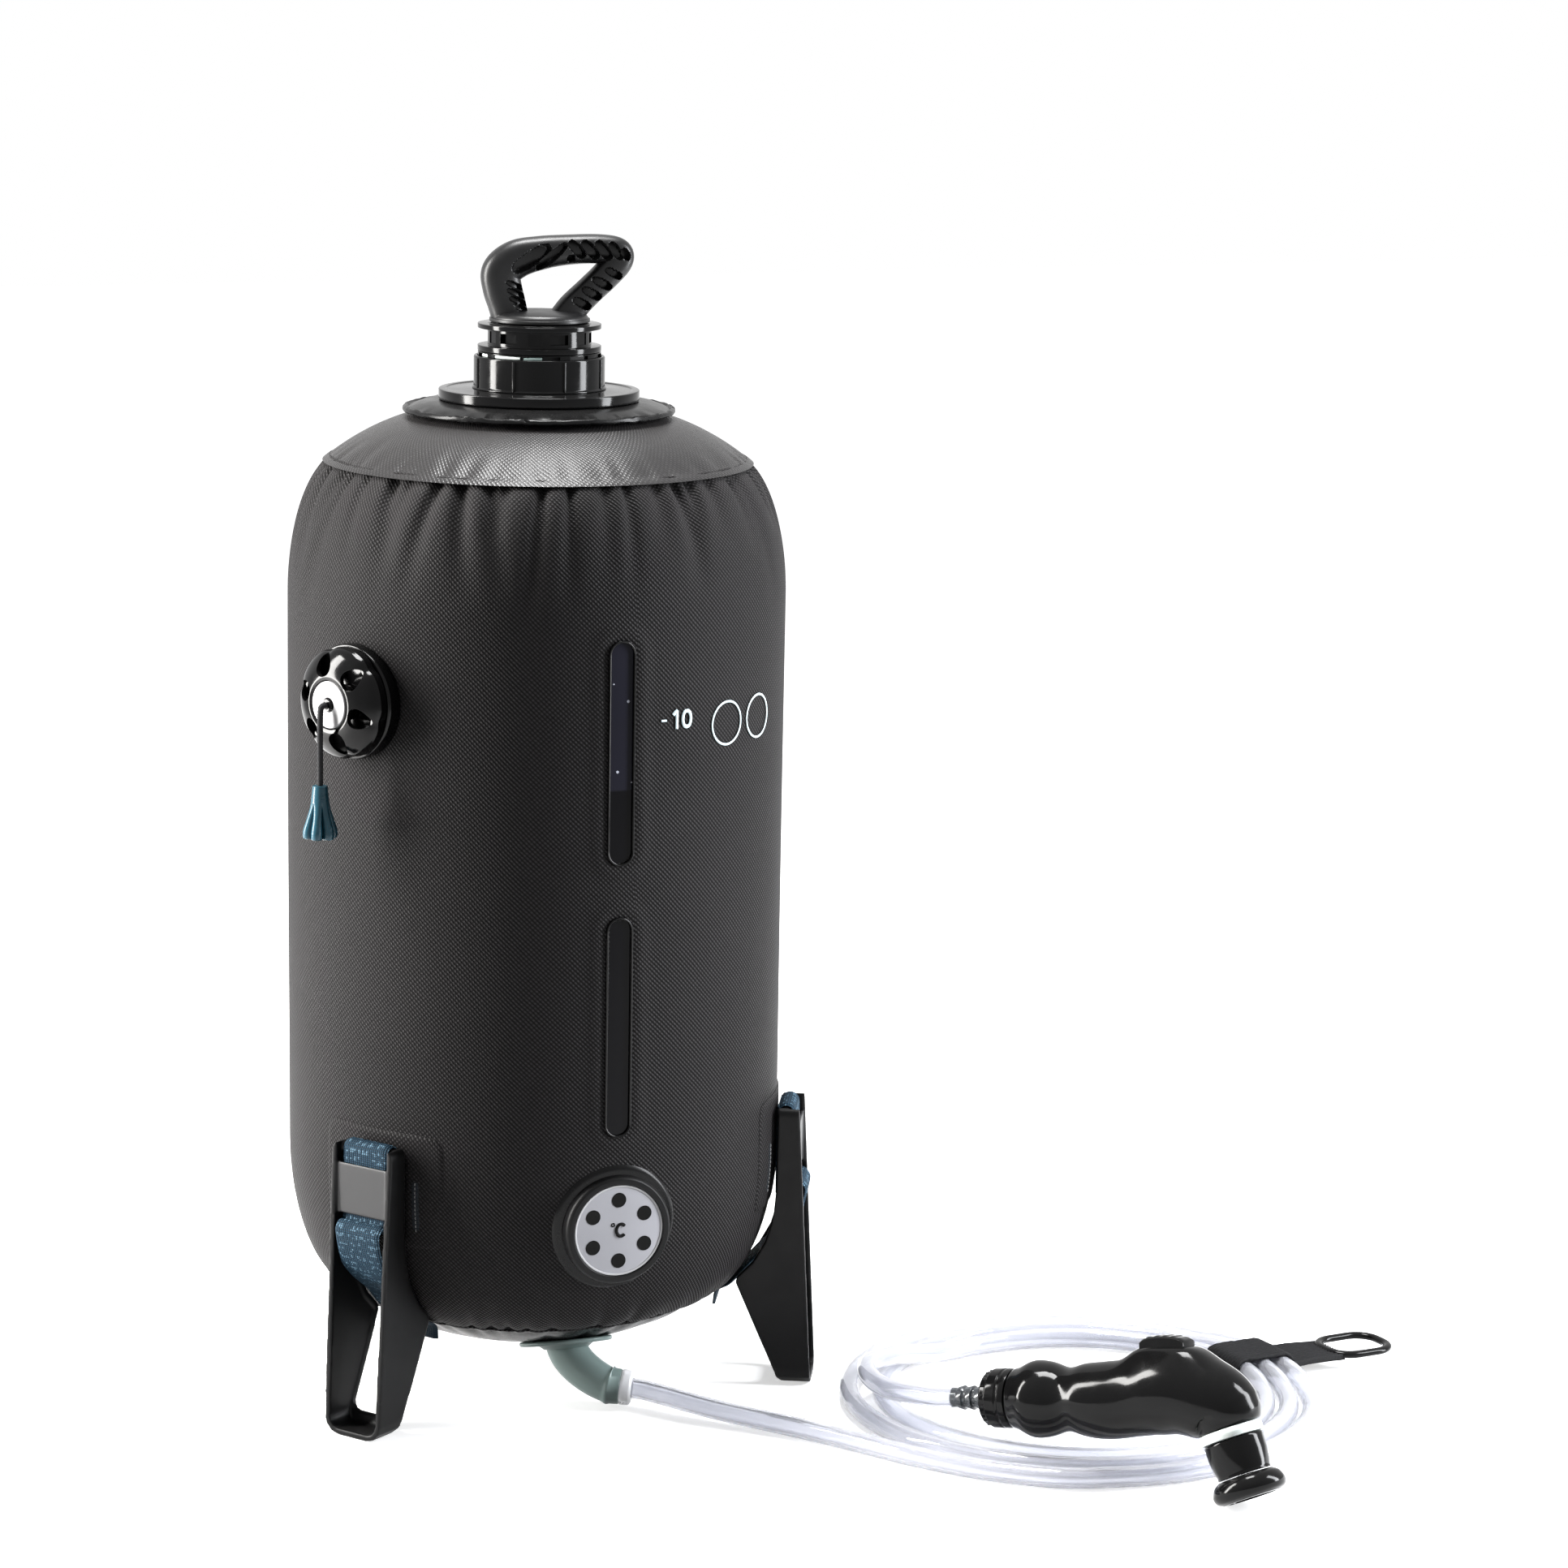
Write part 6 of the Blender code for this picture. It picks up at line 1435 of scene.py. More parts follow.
def dial_print(place):
    """The dial's six dark dots and its small degree sign with its letter."""
    top = BEZEL_DEPTH - 0.0008
    pieces = []
    for i in range(6):
        turn = math.tau * i / 6
        x, y = -0.0136 * math.sin(turn), 0.0136 * math.cos(turn)
        spot = place @ Matrix.Translation((x, y, 0))
        pieces.append(
            turned("dot", [(0, top + 0.00012), (0.0033, top + 0.00012), (0.0033, top), (0, top)], spot, 40, 0)
        )
    letter = [
        (0.0011 + 0.0021 * math.cos(t), 0.0027 * math.sin(t), top - 0.0002)
        for t in np.linspace(0.75, 5.53, 28)
    ]
    pieces.append(swept("c", letter, [0.00085] * 28, place, sides=8))
    degree = [
        (-0.0026 + 0.0007 * math.cos(t), 0.0026 + 0.0007 * math.sin(t), top)
        for t in np.linspace(0, 6.2, 20)
    ]
    pieces.append(swept("o", degree, [0.00028] * 20, place, sides=8))
    marks = merged("dial_print", pieces)
    dressed(marks, "bag", "silver_dial", "dark_print")


def thermometer():
    """A round patch, a satin bezel and a silver dial."""
    place = facing_out(WINDOW_AZIMUTH, BAG_RADIUS, THERMOMETER_HEIGHT)
    half = (PATCH_RADIUS, PATCH_RADIUS)
    patch = wall_patch("dial_patch", WINDOW_AZIMUTH, THERMOMETER_HEIGHT, half, 1.0, 0.0004, 0.0009, 64)
    dressed(patch, "bag", "black_panel", nodes=("thermometer_patch",), angle=180)
    front = BEZEL_DEPTH
    bezel = turned(
        "dial_bezel",
        [
            (DIAL_RADIUS + 0.0004, front - 0.0014),
            (DIAL_RADIUS + 0.0006, front - 0.0004),
            (DIAL_RADIUS + 0.0011, front),
            (BEZEL_RADIUS + 0.0002, front - 0.0001),
            (BEZEL_RADIUS + 0.0010, front - 0.0009),
            (BEZEL_RADIUS + 0.0014, front - 0.0020),
            (BEZEL_RADIUS + 0.0016, -0.0010),
            (DIAL_RADIUS + 0.0004, -0.0010),
        ],
        place,
        steps=120,
        closed=True,
    )
    dressed(bezel, "bag", "black_satin", nodes=("thermometer_bezel",))
    rim = turned(
        "dial_rim",
        [
            (DIAL_RADIUS - 0.0004, front - 0.0006),
            (DIAL_RADIUS + 0.0005, front - 0.0005),
            (DIAL_RADIUS + 0.0005, front - 0.0016),
            (DIAL_RADIUS - 0.0004, front - 0.0016),
        ],
        place,
        steps=120,
        rounding=0.0002,
        closed=True,
    )
    dressed(rim, "bag", "spring_steel", "grey_plastic")
    top = front - 0.0008
    dial = turned(
        "dial_face",
        [(0, top), (DIAL_RADIUS - 0.0002, top), (DIAL_RADIUS - 0.0002, top - 0.0014), (0, top - 0.0014)],
        place,
        96,
    )
    dressed(dial, "bag", "silver_dial", nodes=("thermometer_dial",))
    dial_print(place)


def vent_valve():
    """Boss, vented cap and pale insert of the vent valve."""
    place = facing_out(VALVE_AZIMUTH, BAG_RADIUS, VALVE_HEIGHT)
    face = VALVE_FACE
    boss = turned(
        "valve_base",
        [
            (0.0050, face + 0.0012),
            (0.0062, face + 0.0012),
            (0.0062, face),
            (0.0246, face),
            (0.0250, face - 0.0012),
            (0.0250, -0.0024),
            (0.0050, -0.0030),
        ],
        place,
        steps=120,
        closed=True,
    )
    dressed(boss, "bag", "black_gloss", nodes=("valve_boss",))
    top, low, side = face + VALVE_DEPTH, face + GAP, face + 0.0050
    outer = flowing(
        [
            (0.0108, top - 0.0002),
            (0.0128, top - 0.0001),
            (0.0165, top - 0.0010),
            (0.0205, top - 0.0032),
            (0.0232, side + 0.0012),
            (0.0243, side - 0.0012),
        ],
        6,
    )
    outline = [(0.0105, top - 0.0006)] + [tuple(p) for p in outer]
    outline += [(VALVE_RADIUS, low), (VALVE_RADIUS - 0.0018, low), (0.0222, side - 0.0004)]
    outline += [
        (0.0196, top - 0.0048),
        (0.0160, top - 0.0030),
        (0.0118, top - 0.0020),
        (0.0105, top - 0.0020),
    ]
    cap = turned("valve_dome", outline, steps=144, rounding=0.0003, closed=True)
    cap.data.transform(BAG.inverted())
    for vertex in cap.data.vertices:
        reach = math.hypot(vertex.co.x, vertex.co.y)
        turn = math.atan2(vertex.co.y, vertex.co.x) - math.tau / 24
        notch = math.exp(-((math.cos(3 * turn) / 0.35) ** 2)) * max(0.0, min(1.0, (reach - 0.0170) / 0.005))
        vertex.co.xy *= 1 - 0.045 * notch
    cap.data.transform(BAG @ place)
    tools = []
    for i in range(6):
        turn = place @ Matrix.Rotation(math.tau * (i + 0.25) / 6, 4, "Z") @ Matrix.Translation((0, 0.0172, 0))
        drop = [
            (0.0044 * math.cos(t) * (1 - 0.22 * math.sin(t)), 0.0050 * math.sin(t))
            for t in np.linspace(0, math.tau, 28)[:-1]
        ]
        mesh = bpy.data.meshes.new("vent")
        shape = bmesh.new()
        rings = [[shape.verts.new((x, y, z)) for x, y in drop] for z in (face + 0.0055, top + 0.004)]
        shape.faces.new(rings[0][::-1])
        shape.faces.new(rings[1])
        for a in range(len(drop)):
            b = (a + 1) % len(drop)
            shape.faces.new((rings[0][a], rings[0][b], rings[1][b], rings[1][a]))
        shape.to_mesh(mesh)
        shape.free()
        tools.append(link("vent", mesh, BAG @ turn))
    carve(cap, merged("vents", tools))
    dressed(cap, "bag", "black_gloss", nodes=("valve_cap",), angle=32)
    insert = turned(
        "valve_disc",
        [
            (0.0031, top),
            (0.0044, top + 0.0002),
            (0.0098, top),
            (0.0102, top - 0.0004),
            (0.0102, top - 0.0016),
            (0.0031, top - 0.0016),
        ],
        place,
        steps=72,
        closed=True,
    )
    dressed(insert, "bag", "pale_plastic", "grey_plastic", ("valve_insert",))
    stem_top = top + 0.0012
    grommet = turned(
        "stem_cap",
        [
            (0, stem_top + 0.0002),
            (0.0020, stem_top),
            (0.0028, stem_top - 0.0007),
            (0.0027, stem_top - 0.0012),
            (0, stem_top - 0.0012),
        ],
        place,
        steps=36,
    )
    dressed(grommet, "vent_stem", "black_gloss")


def vent_coil():
    """The vent's spring, which the stem presses against the insert."""
    place = BAG @ facing_out(VALVE_AZIMUTH, BAG_RADIUS, VALVE_HEIGHT)
    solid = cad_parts["vent_spring"]
    local = place.inverted() @ solid.matrix_world
    heights = [(local @ vertex.co).z for vertex in solid.data.vertices]
    low, high = min(heights) + VENT_WIRE, max(heights) - VENT_WIRE
    turns = np.linspace(0, math.tau * VENT_TURNS, 24 * VENT_TURNS + 1)
    rise = low + (high - low) * turns / turns[-1]
    path = np.stack([VENT_COIL_RADIUS * np.cos(turns), VENT_COIL_RADIUS * np.sin(turns), rise], axis=1)
    coil = swept("vent_coil", path, VENT_WIRE, BAG.inverted() @ place, sides=10)
    dressed(coil, "bag", "spring_steel", nodes=("vent_spring",))
    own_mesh(coil)


def pull_toggle():
    """The cord that hangs from the valve and its lobed toggle."""
    place = facing_out(VALVE_AZIMUTH, BAG_RADIUS, VALVE_HEIGHT)
    reach = VALVE_FACE + VALVE_DEPTH + 0.0012 + GAP
    out = reach + CORD_REACH
    route = [
        (0, 0, reach),
        (0, 0, reach + CORD_RADIUS),
        (0, -CORD_REACH / 2, out - CORD_RADIUS / 4),
        (0, -TOGGLE_DROP / 3, out),
        (0, -TOGGLE_DROP * 2 / 3, out),
        (0, 2 * CORD_RADIUS - TOGGLE_DROP, out),
        (0, GAP - TOGGLE_DROP, out),
    ]
    path = evenly(flowing(route, 10), 0.0006)
    run = lengths_of(path)
    twist = CORD_RADIUS * (0.92 + 0.08 * np.sin(run / 0.0014 * math.tau))
    cord = swept("valve_cord", path, twist, place, sides=14, hint=(1, 0, 0))
    dressed(cord, "pull_toggle", "black_rubber", "cord_braid", ("pull_cord",))
    rows = evenly(
        flowing(
            [
                (0.0, 0.0032),
                (0.004, 0.0036),
                (0.009, 0.0043),
                (0.014, 0.0058),
                (0.019, 0.0074),
                (0.0222, 0.0074),
                (0.0228, 0.0062),
            ],
            8,
        ),
        0.0006,
    )
    columns = 96
    angle = even_turns(columns)
    share = rows[:, 0:1] / TOGGLE_LENGTH
    lobes = np.abs(np.cos(3 * angle))[None, :] ** 0.45
    radius = rows[:, 1:2] * (1 - (1 - lobes) * 0.55 * np.clip((share - 0.30) / 0.35, 0, 1))
    points = np.stack(
        [radius * np.cos(angle), radius * np.sin(angle), -np.broadcast_to(rows[:, 0:1], radius.shape)], axis=2
    )
    hang = place @ Matrix.Translation((0, -TOGGLE_DROP, out)) @ Matrix.Rotation(-math.pi / 2, 4, "X")
    toggle = link("cord_toggle", tidy(sheet_mesh("cord_toggle", points, around=True), ends=True), BAG @ hang)
    dressed(toggle, "pull_toggle", "blue_plastic", nodes=("pull_toggle",), angle=35)


def prints():
    """The plain light marks beside the upper window."""
    pieces = []

    def on_wall(obj, azimuth, height):
        for vertex in obj.data.vertices:
            x, y, z = vertex.co
            vertex.co = around(azimuth + x / BAG_RADIUS, BAG_RADIUS + MARK_LIFT + z * 0.4, y + height)
        obj.data.transform(BAG)
        pieces.append(obj)

    turn = np.linspace(0, math.tau, 49)
    nought = [(0.0021 * math.cos(t), 0.0034 * math.sin(t) * (1 + 0.12 * abs(math.cos(t)))) for t in turn]
    circle = [(0.0094 * math.cos(t), 0.0094 * math.sin(t)) for t in turn]
    strokes = (
        ([(0, 0), (0.0026, 0)], 0.0005, 6.0, MARK_HEIGHT),
        ([(0, -0.0040), (0, 0.0040), (-0.0019, 0.0022)], 0.0008, 10.0, MARK_HEIGHT),
        (nought, 0.0008, 12.7, MARK_HEIGHT),
        (circle, 0.0005, 25.1, SIGN_HEIGHT),
        (circle, 0.0005, 37.3, SIGN_HEIGHT),
    )
    for line, width, azimuth, height in strokes:
        path = evenly(np.array([(x, y, 0) for x, y in line], float), 0.0005)
        on_wall(swept("mark", path, width, BAG.inverted(), 8), math.radians(azimuth), height)
    dressed(merged("gauge_marks", pieces), "bag", "charcoal_cloth", "light_print")


# ---------------------------------------------------------------- legs


def webbing_line():
    """The webbing's middle line in reach and height, from the anchor round the bar and under the bag."""
    bend = BAR_RADIUS + 0.0003 + WEBBING_THICKNESS / 2
    behind = LEG_OUTER - 0.0004 - 0.0012 - GAP - WEBBING_THICKNESS / 2
    over_bar = [
        (BAR_REACH + bend * math.cos(t), BAR_HEIGHT + bend * math.sin(t))
        for t in np.linspace(math.pi, 0, 7)
    ]
    depth, fall = LEG_OUTER - BASE_SEAM_RADIUS, PLATE_BOTTOM - BASE_SEAM_HEIGHT
    sling = [(LEG_OUTER + out * depth, PLATE_BOTTOM - down * fall) for out, down in SLING_SHARES]
    under = [base_point(math.radians(turn), 0.0013) for turn in (60, 70, 80)]
    tail = [(BASE_SEAM_RADIUS + 0.0045, BASE_SEAM_HEIGHT - 0.0065)]
    sewn = BAG_RADIUS + 2 * GAP + 0.0006 + WEBBING_THICKNESS / 2
    anchor = [(sewn, ANCHOR_CENTRE - ANCHOR_HEIGHT * 0.4), (sewn, ANCHOR_CENTRE - ANCHOR_HEIGHT * 0.15)]
    down = [(behind, PLATE_TOP), (behind, PLATE_BOTTOM - WEBBING_THICKNESS)]
    return anchor + over_bar + down + sling + under + tail


def webbing(number, azimuth):
    """One woven strap with rounded edges and a dark sewn end."""
    line = evenly(flowing(webbing_line(), 10), 0.0008)
    way = np.gradient(line, axis=0)
    way /= np.linalg.norm(way, axis=1)[:, None]
    normal = np.stack([way[:, 1], -way[:, 0]], axis=1)
    half, thin = WEBBING_WIDTH / 2, WEBBING_THICKNESS / 2
    across = np.concatenate([np.linspace(-1, 1, 15), np.linspace(1, -1, 15)[1:-1]])
    level = np.concatenate([np.ones(15), -np.ones(13)]) * np.where(np.abs(across) > 0.97, 0.25, 1.0)
    run = lengths_of(line)
    bulge = 1 + 0.015 * np.sin(run / 0.004)
    reach = line[:, 0:1] + normal[:, 0:1] * (level * thin)[None, :]
    height = line[:, 1:2] + normal[:, 1:2] * (level * thin)[None, :]
    side = bulge[:, None] * (across * half)[None, :]
    points = np.stack([side, height, reach], axis=2)
    wide = np.concatenate([across, across[:1]]) * half
    uv = np.zeros((len(line) + 1, len(across) + 1, 2))
    uv[..., 0] = wide[None, :]
    # Lengths count back from the strap's end, which sets where the painted shade under the bag starts.
    uv[..., 1] = np.append(run, run[-1])[:, None] - run[-1]
    mesh = tidy(sheet_mesh("strap_%d" % number, points, uv, around=True), ends=True)
    strap = link("strap_%d" % number, mesh, BAG @ facing_out(azimuth, 0, 0))
    dressed(strap, "bag", "blue_webbing", nodes=("leg_webbing_%d" % number,), angle=50)


def leg(number, azimuth):
    """One folding leg, its strap, and the welded patch that holds them."""
    place = BAG @ facing_out(azimuth, 0, 0)
    frame_leg = softened("leg_frame_%d" % number, "leg_%d" % number, place, 0.0006, 4)
    dressed(frame_leg, "leg_%d" % number, "black_satin", nodes=("leg_%d" % number,), angle=60)
    # The plate's faces behind the strap get the lighter copy of the satin: a painted highlight.
    frame_leg.data.materials.append(FINISHES["plate_satin"])
    local = place.inverted()
    for face in frame_leg.data.polygons:
        x, y, z = local @ face.center
        beside = abs(x) < WEBBING_WIDTH / 2 + 0.0008
        if beside and PLATE_BOTTOM - 0.0002 < y < PLATE_TOP + 0.0002 and z > LEG_OUTER - 0.003:
            face.material_index = 1
    webbing(number, azimuth)
    half = (ANCHOR_WIDTH / 2, ANCHOR_HEIGHT / 2)
    patch = wall_patch("leg_patch_%d" % number, azimuth, ANCHOR_CENTRE, half, 0.15, 0.0002, 0.0007, 48)
    dressed(patch, "bag", "black_panel", "charcoal_cloth", ("anchor_patch_%d" % number,), angle=180)
    stitches = []
    for side in (-1, 1):
        turn = azimuth + side * STITCH_REACH / BAG_RADIUS
        for i in range(12):
            top = ANCHOR_CENTRE + 0.0045 - i * 0.0019
            ends = []
            for drop in (0.0, 0.0006, 0.0012):
                radius, height = wall_at(np.array([top - drop]), 0.0011 + 0.0002 * (drop == 0.0006))
                ends.append(around(turn, float(radius[0]), float(height[0])))
            stitches.append(swept("stitch", [tuple(p) for p in ends], [0.00022] * 3, sides=8, hint=(1, 0, 0)))
    dressed(merged("leg_stitches_%d" % number, stitches), "bag", "charcoal_cloth", "thread")
    tapes = []
    for side in (-1, 1):
        turn = azimuth + side * STITCH_REACH / BAG_RADIUS
        tapes.append(
            wall_patch("tape", turn, ANCHOR_CENTRE - 0.006, (0.0019, 0.0125), 0.3, 0.0004, 0.0006, 14)
        )
    dressed(merged("leg_tapes_%d" % number, tapes), "bag", "black_panel", "dark_webbing", angle=180)


# ---------------------------------------------------------------- outlet and hose


def outlet():
    """The teal elbow under the bag and the pale collar at its mouth."""
    tilt = facing_out(
        OUTLET_AZIMUTH, OUTLET_REACH, float(base_height(OUTLET_REACH))
    ) @ Matrix.Rotation(-OUTLET_TILT, 4, "X")
    upward = tilt @ Matrix.Rotation(-math.pi / 2, 4, "X")
    direction = Vector(
        (math.cos(OUTLET_HEADING), math.sin(OUTLET_HEADING), -math.sin(OUTLET_DIP))
    ).normalized()
    start = upward @ Vector((0, 0, -0.0006))
    down = (upward.to_3x3() @ Vector((0, 0, -1))).normalized()
    knee = start + down * OUTLET_NECK_RADIUS * 1.1
    straight = OUTLET_END - direction * OUTLET_MOUTH_RADIUS / 2
    bend = interpolate_bezier(start, knee, straight - direction * OUTLET_MOUTH_RADIUS / 2, straight, 40)
    path = np.array([tuple(p) for p in bend] + [tuple(OUTLET_END)])
    share = np.linspace(0, 1, len(path))
    radii = OUTLET_NECK_RADIUS + (OUTLET_MOUTH_RADIUS - OUTLET_NECK_RADIUS) * share
    radii = radii + 0.0008 * np.exp(-(((share - 0.93) / 0.05) ** 2))
    elbow = swept("hose_elbow", path, radii, sides=48, hint=(0, 1, 0))
    flange = turned(
        "flange",
        [
            (0, 0.0008),
            (0.0205, 0.0008),
            (0.0210, 0.0),
            (0.0205, -0.0012),
            (0.0125, -0.0014),
            (0.0100, -0.0034),
            (0, -0.0034),
        ],
        upward,
        steps=72,
    )
    carve(elbow, flange, "UNION")
    dressed(elbow, "bag", "teal_plastic", nodes=("outlet_elbow",), angle=40)
    collar = turned(
        "mouth_collar",
        [
            (HOSE_RADIUS + GAP, 0),
            (0.0076, 0),
            (HOSE_COLLAR_RADIUS, 0.0012),
            (HOSE_COLLAR_RADIUS - 0.0004, 0.0042),
            (0.0066, 0.0052),
            (HOSE_RADIUS + GAP, 0.0052),
        ],
        along(direction, OUTLET_END + direction * GAP),
        steps=64,
        closed=True,
    )
    dressed(collar, "bag", "pale_plastic", "milky_ring", ("hose_collar",))
    return OUTLET_END + direction * 2 * GAP, direction


def coil_point(turn):
    """A point of the coil after a number of turns."""
    angle = COIL_START + math.tau * turn
    radius = COIL_RADIUS - COIL_PITCH * turn * (1 - COIL_GATHER * math.cos(angle - TIE_ANGLE))
    away = abs((angle - TIE_ANGLE + math.pi) % math.tau - math.pi) / TIE_LIFT_SPREAD
    height = HOSE_RADIUS + 0.0001 + TIE_LIFT * max(0, 1 - away**4) ** 2
    return COIL_CENTRE + Vector((radius * math.cos(angle), radius * math.sin(angle), height))


def handset_place():
    """At the hose's end: X runs along the handle, Z up through the button."""
    turn = Matrix.Rotation(HANDSET_HEADING, 4, "Z") @ Matrix.Rotation(-HANDSET_PITCH, 4, "Y")
    return Matrix.Translation(HANDSET_INLET) @ turn @ Matrix.Rotation(-HANDSET_ROLL, 4, "X")


def free_stretch(first, leaving, route, last, arriving):
    """The curve through a route, straight for a hose's width at each end."""
    straight = 2 * HOSE_RADIUS
    inside = [first + leaving * straight, *(Vector(p) for p in route), last - arriving * straight]
    line = [first, *inside, last]
    path = [first]
    for p0, p1, p2, p3 in zip(line, line[1:], line[2:], line[3:]):
        third = (p2 - p1).length / 3
        path += interpolate_bezier(
            p1, p1 + (p2 - p0).normalized() * third, p2 - (p3 - p1).normalized() * third, p2, 24
        )[:-1]
    return path + [inside[-1], last]


def hose(start, leaving, settings):
    """The clear hose from the elbow through its coil to the handset, as one cord."""
    steps = 180
    loops = [coil_point(COIL_TURNS * i / steps) for i in range(steps + 1)]
    entering = (loops[1] - loops[0]).normalized()
    going = (loops[-1] - loops[-2]).normalized()
    handle = handset_place().to_3x3() @ Vector((1, 0, 0))
    end = handset_place().to_translation() - handle * GAP
    lead = free_stretch(start, leaving, LEAD_ROUTE, loops[0], entering)
    tail = free_stretch(loops[-1], going, TAIL_ROUTE, end, handle)
    path = evenly([tuple(p) for p in lead[:-1] + loops + tail[1:]], 0.0036)
    tube = swept("clear_hose", path, HOSE_RADIUS, sides=28, bore=settings.bore_share)
    dressed(tube, "bag", "clear_hose", nodes=("hose_lead", "hose_coil", "hose_tail"), angle=60)


def tie():
    """The hook-and-loop band round the strands, its tongue and the ring on it."""
    first = math.floor((TIE_ANGLE - COIL_START) / math.tau * 24)
    outer, inner = [(coil_point(i / 24) + coil_point((i + 1) / 24)) / 2 for i in (first, first + 48)]
    place = Matrix.Translation((outer + inner) / 2) @ Matrix.Rotation(TIE_ANGLE, 4, "Z")
    half = (outer - inner).length / 2 + HOSE_RADIUS + 0.0008 + TIE_THICKNESS / 2
    tall = HOSE_RADIUS + 0.0005 + TIE_THICKNESS / 2
    loop = evenly(np.array(stadium(2 * tall, 2 * half) + stadium(2 * tall, 2 * half)[:1]), 0.0011)[:-1]
    random = np.random.default_rng(21)
    rows = np.linspace(-TIE_WIDTH / 2, TIE_WIDTH / 2, 72)
    frayed = random.normal(0, 0.00025, (2, len(loop)))
    out = outward(loop)
    section = []
    for side, span in ((1, rows), (-1, rows[::-1])):
        for y in span:
            edge = frayed[0 if y < 0 else 1] * (abs(y) > TIE_WIDTH / 2 - 0.0002)
            thick = TIE_THICKNESS / 2 * side
            fuzz = (
                random.normal(0, 0.00006, len(loop)) + 0.00035 * math.sin(y / TIE_RIB_PITCH * math.tau)
            ) * side
            pull = loop + out * (thick + fuzz)[:, None]
            section.append(np.stack([pull[:, 1], y + edge, pull[:, 0]], axis=1))
    points = np.array(section).transpose(1, 0, 2)
    band = link("band", tidy(sheet_mesh("band", points, around=True, closed=True)), BAG @ place)
    reach = half + TIE_THICKNESS / 2
    long, deep = np.meshgrid(np.linspace(-0.0008, 0.0290, 26), rows, indexing="ij")
    level = 0.0009 + 0.0004 * np.sin(long * 160) + 0.00035 * np.sin(
        deep / TIE_RIB_PITCH * math.tau
    ) + random.normal(0, 0.00005, long.shape)
    tongue_top = np.stack([reach + long, deep * (1 - 0.10 * np.clip(long / 0.024, 0, 1)), level], axis=2)
    tongue_low = tongue_top.copy()
    tongue_low[..., 2] -= 2 * TIE_THICKNESS
    points = np.concatenate([tongue_top, tongue_low[:, ::-1]], axis=1)
    tongue = link("tongue", tidy(sheet_mesh("tongue", points, around=True), ends=True), BAG @ place)
    dressed(merged("tie_band", [band, tongue]), "bag", "hook_and_loop", nodes=("hose_tie",), angle=60)

    centre = reach + 0.0240 + GAP + 0.0170
    long, wide, wire = 0.0155, 0.0126, 0.0021
    corner = wide * 0.80
    path = []
    for sx, sy, quarter in ((1, 1, 0), (-1, 1, 1), (-1, -1, 2), (1, -1, 3)):
        for t in np.linspace(quarter, quarter + 1, 9) * math.pi / 2:
            x = sx * (long - corner) + corner * math.cos(t)
            y = sy * (wide - corner) + corner * math.sin(t)
            path.append((centre + x, y, 0.0))
    path = evenly(np.array(path + path[:1]), 0.0012)[:-1]
    ring = wire_loop("tie_loop", path, wire, wire * 0.8, 20, BAG @ place)
    dressed(ring, "bag", "black_gloss", nodes=("tie_ring",), angle=60)


# ---------------------------------------------------------------- handset


def handset_form():
    """The body's middle line and radii: along the handle, up, radius."""
    first = BARB_LENGTH + COLLAR_LENGTH + GAP
    grip = BUTTON_REACH - first
    rise = HEAD_SHOULDER - HEAD_RADIUS
    head = [
        (HEAD_REACH + HEAD_JOINT * math.cos(HEAD_ANGLE) * share, -HEAD_JOINT * math.sin(HEAD_ANGLE) * share)
        for share in (0.65, 1)
    ]
    return [
        (first, 0, 0.0130),
        (first + grip * 0.05, 0, 0.0142),
        (first + grip * 0.14, 0, 0.0168),
        (first + grip * 0.24, 0, 0.0163),
        (first + grip * 0.36, 0, 0.0140),
        (first + grip * 0.48, 0, 0.0159),
        (first + grip * 0.62, 0, 0.0168),
        (first + grip * 0.80, rise * 0.3, 0.0168),
        (first + grip * 0.96, rise * 0.7, HEAD_SHOULDER * 0.99),
        (first + grip * 1.10, rise * 0.8, HEAD_SHOULDER),
        (HEAD_REACH - HEAD_RADIUS * 0.35, rise * 0.1, HEAD_SHOULDER * 0.96),
        (HEAD_REACH + HEAD_RADIUS * 0.14, -HEAD_JOINT * 0.3, HEAD_SHOULDER * 0.88),
        (*head[0], HEAD_RADIUS * 1.05),
        (*head[1], HEAD_RADIUS),
    ]


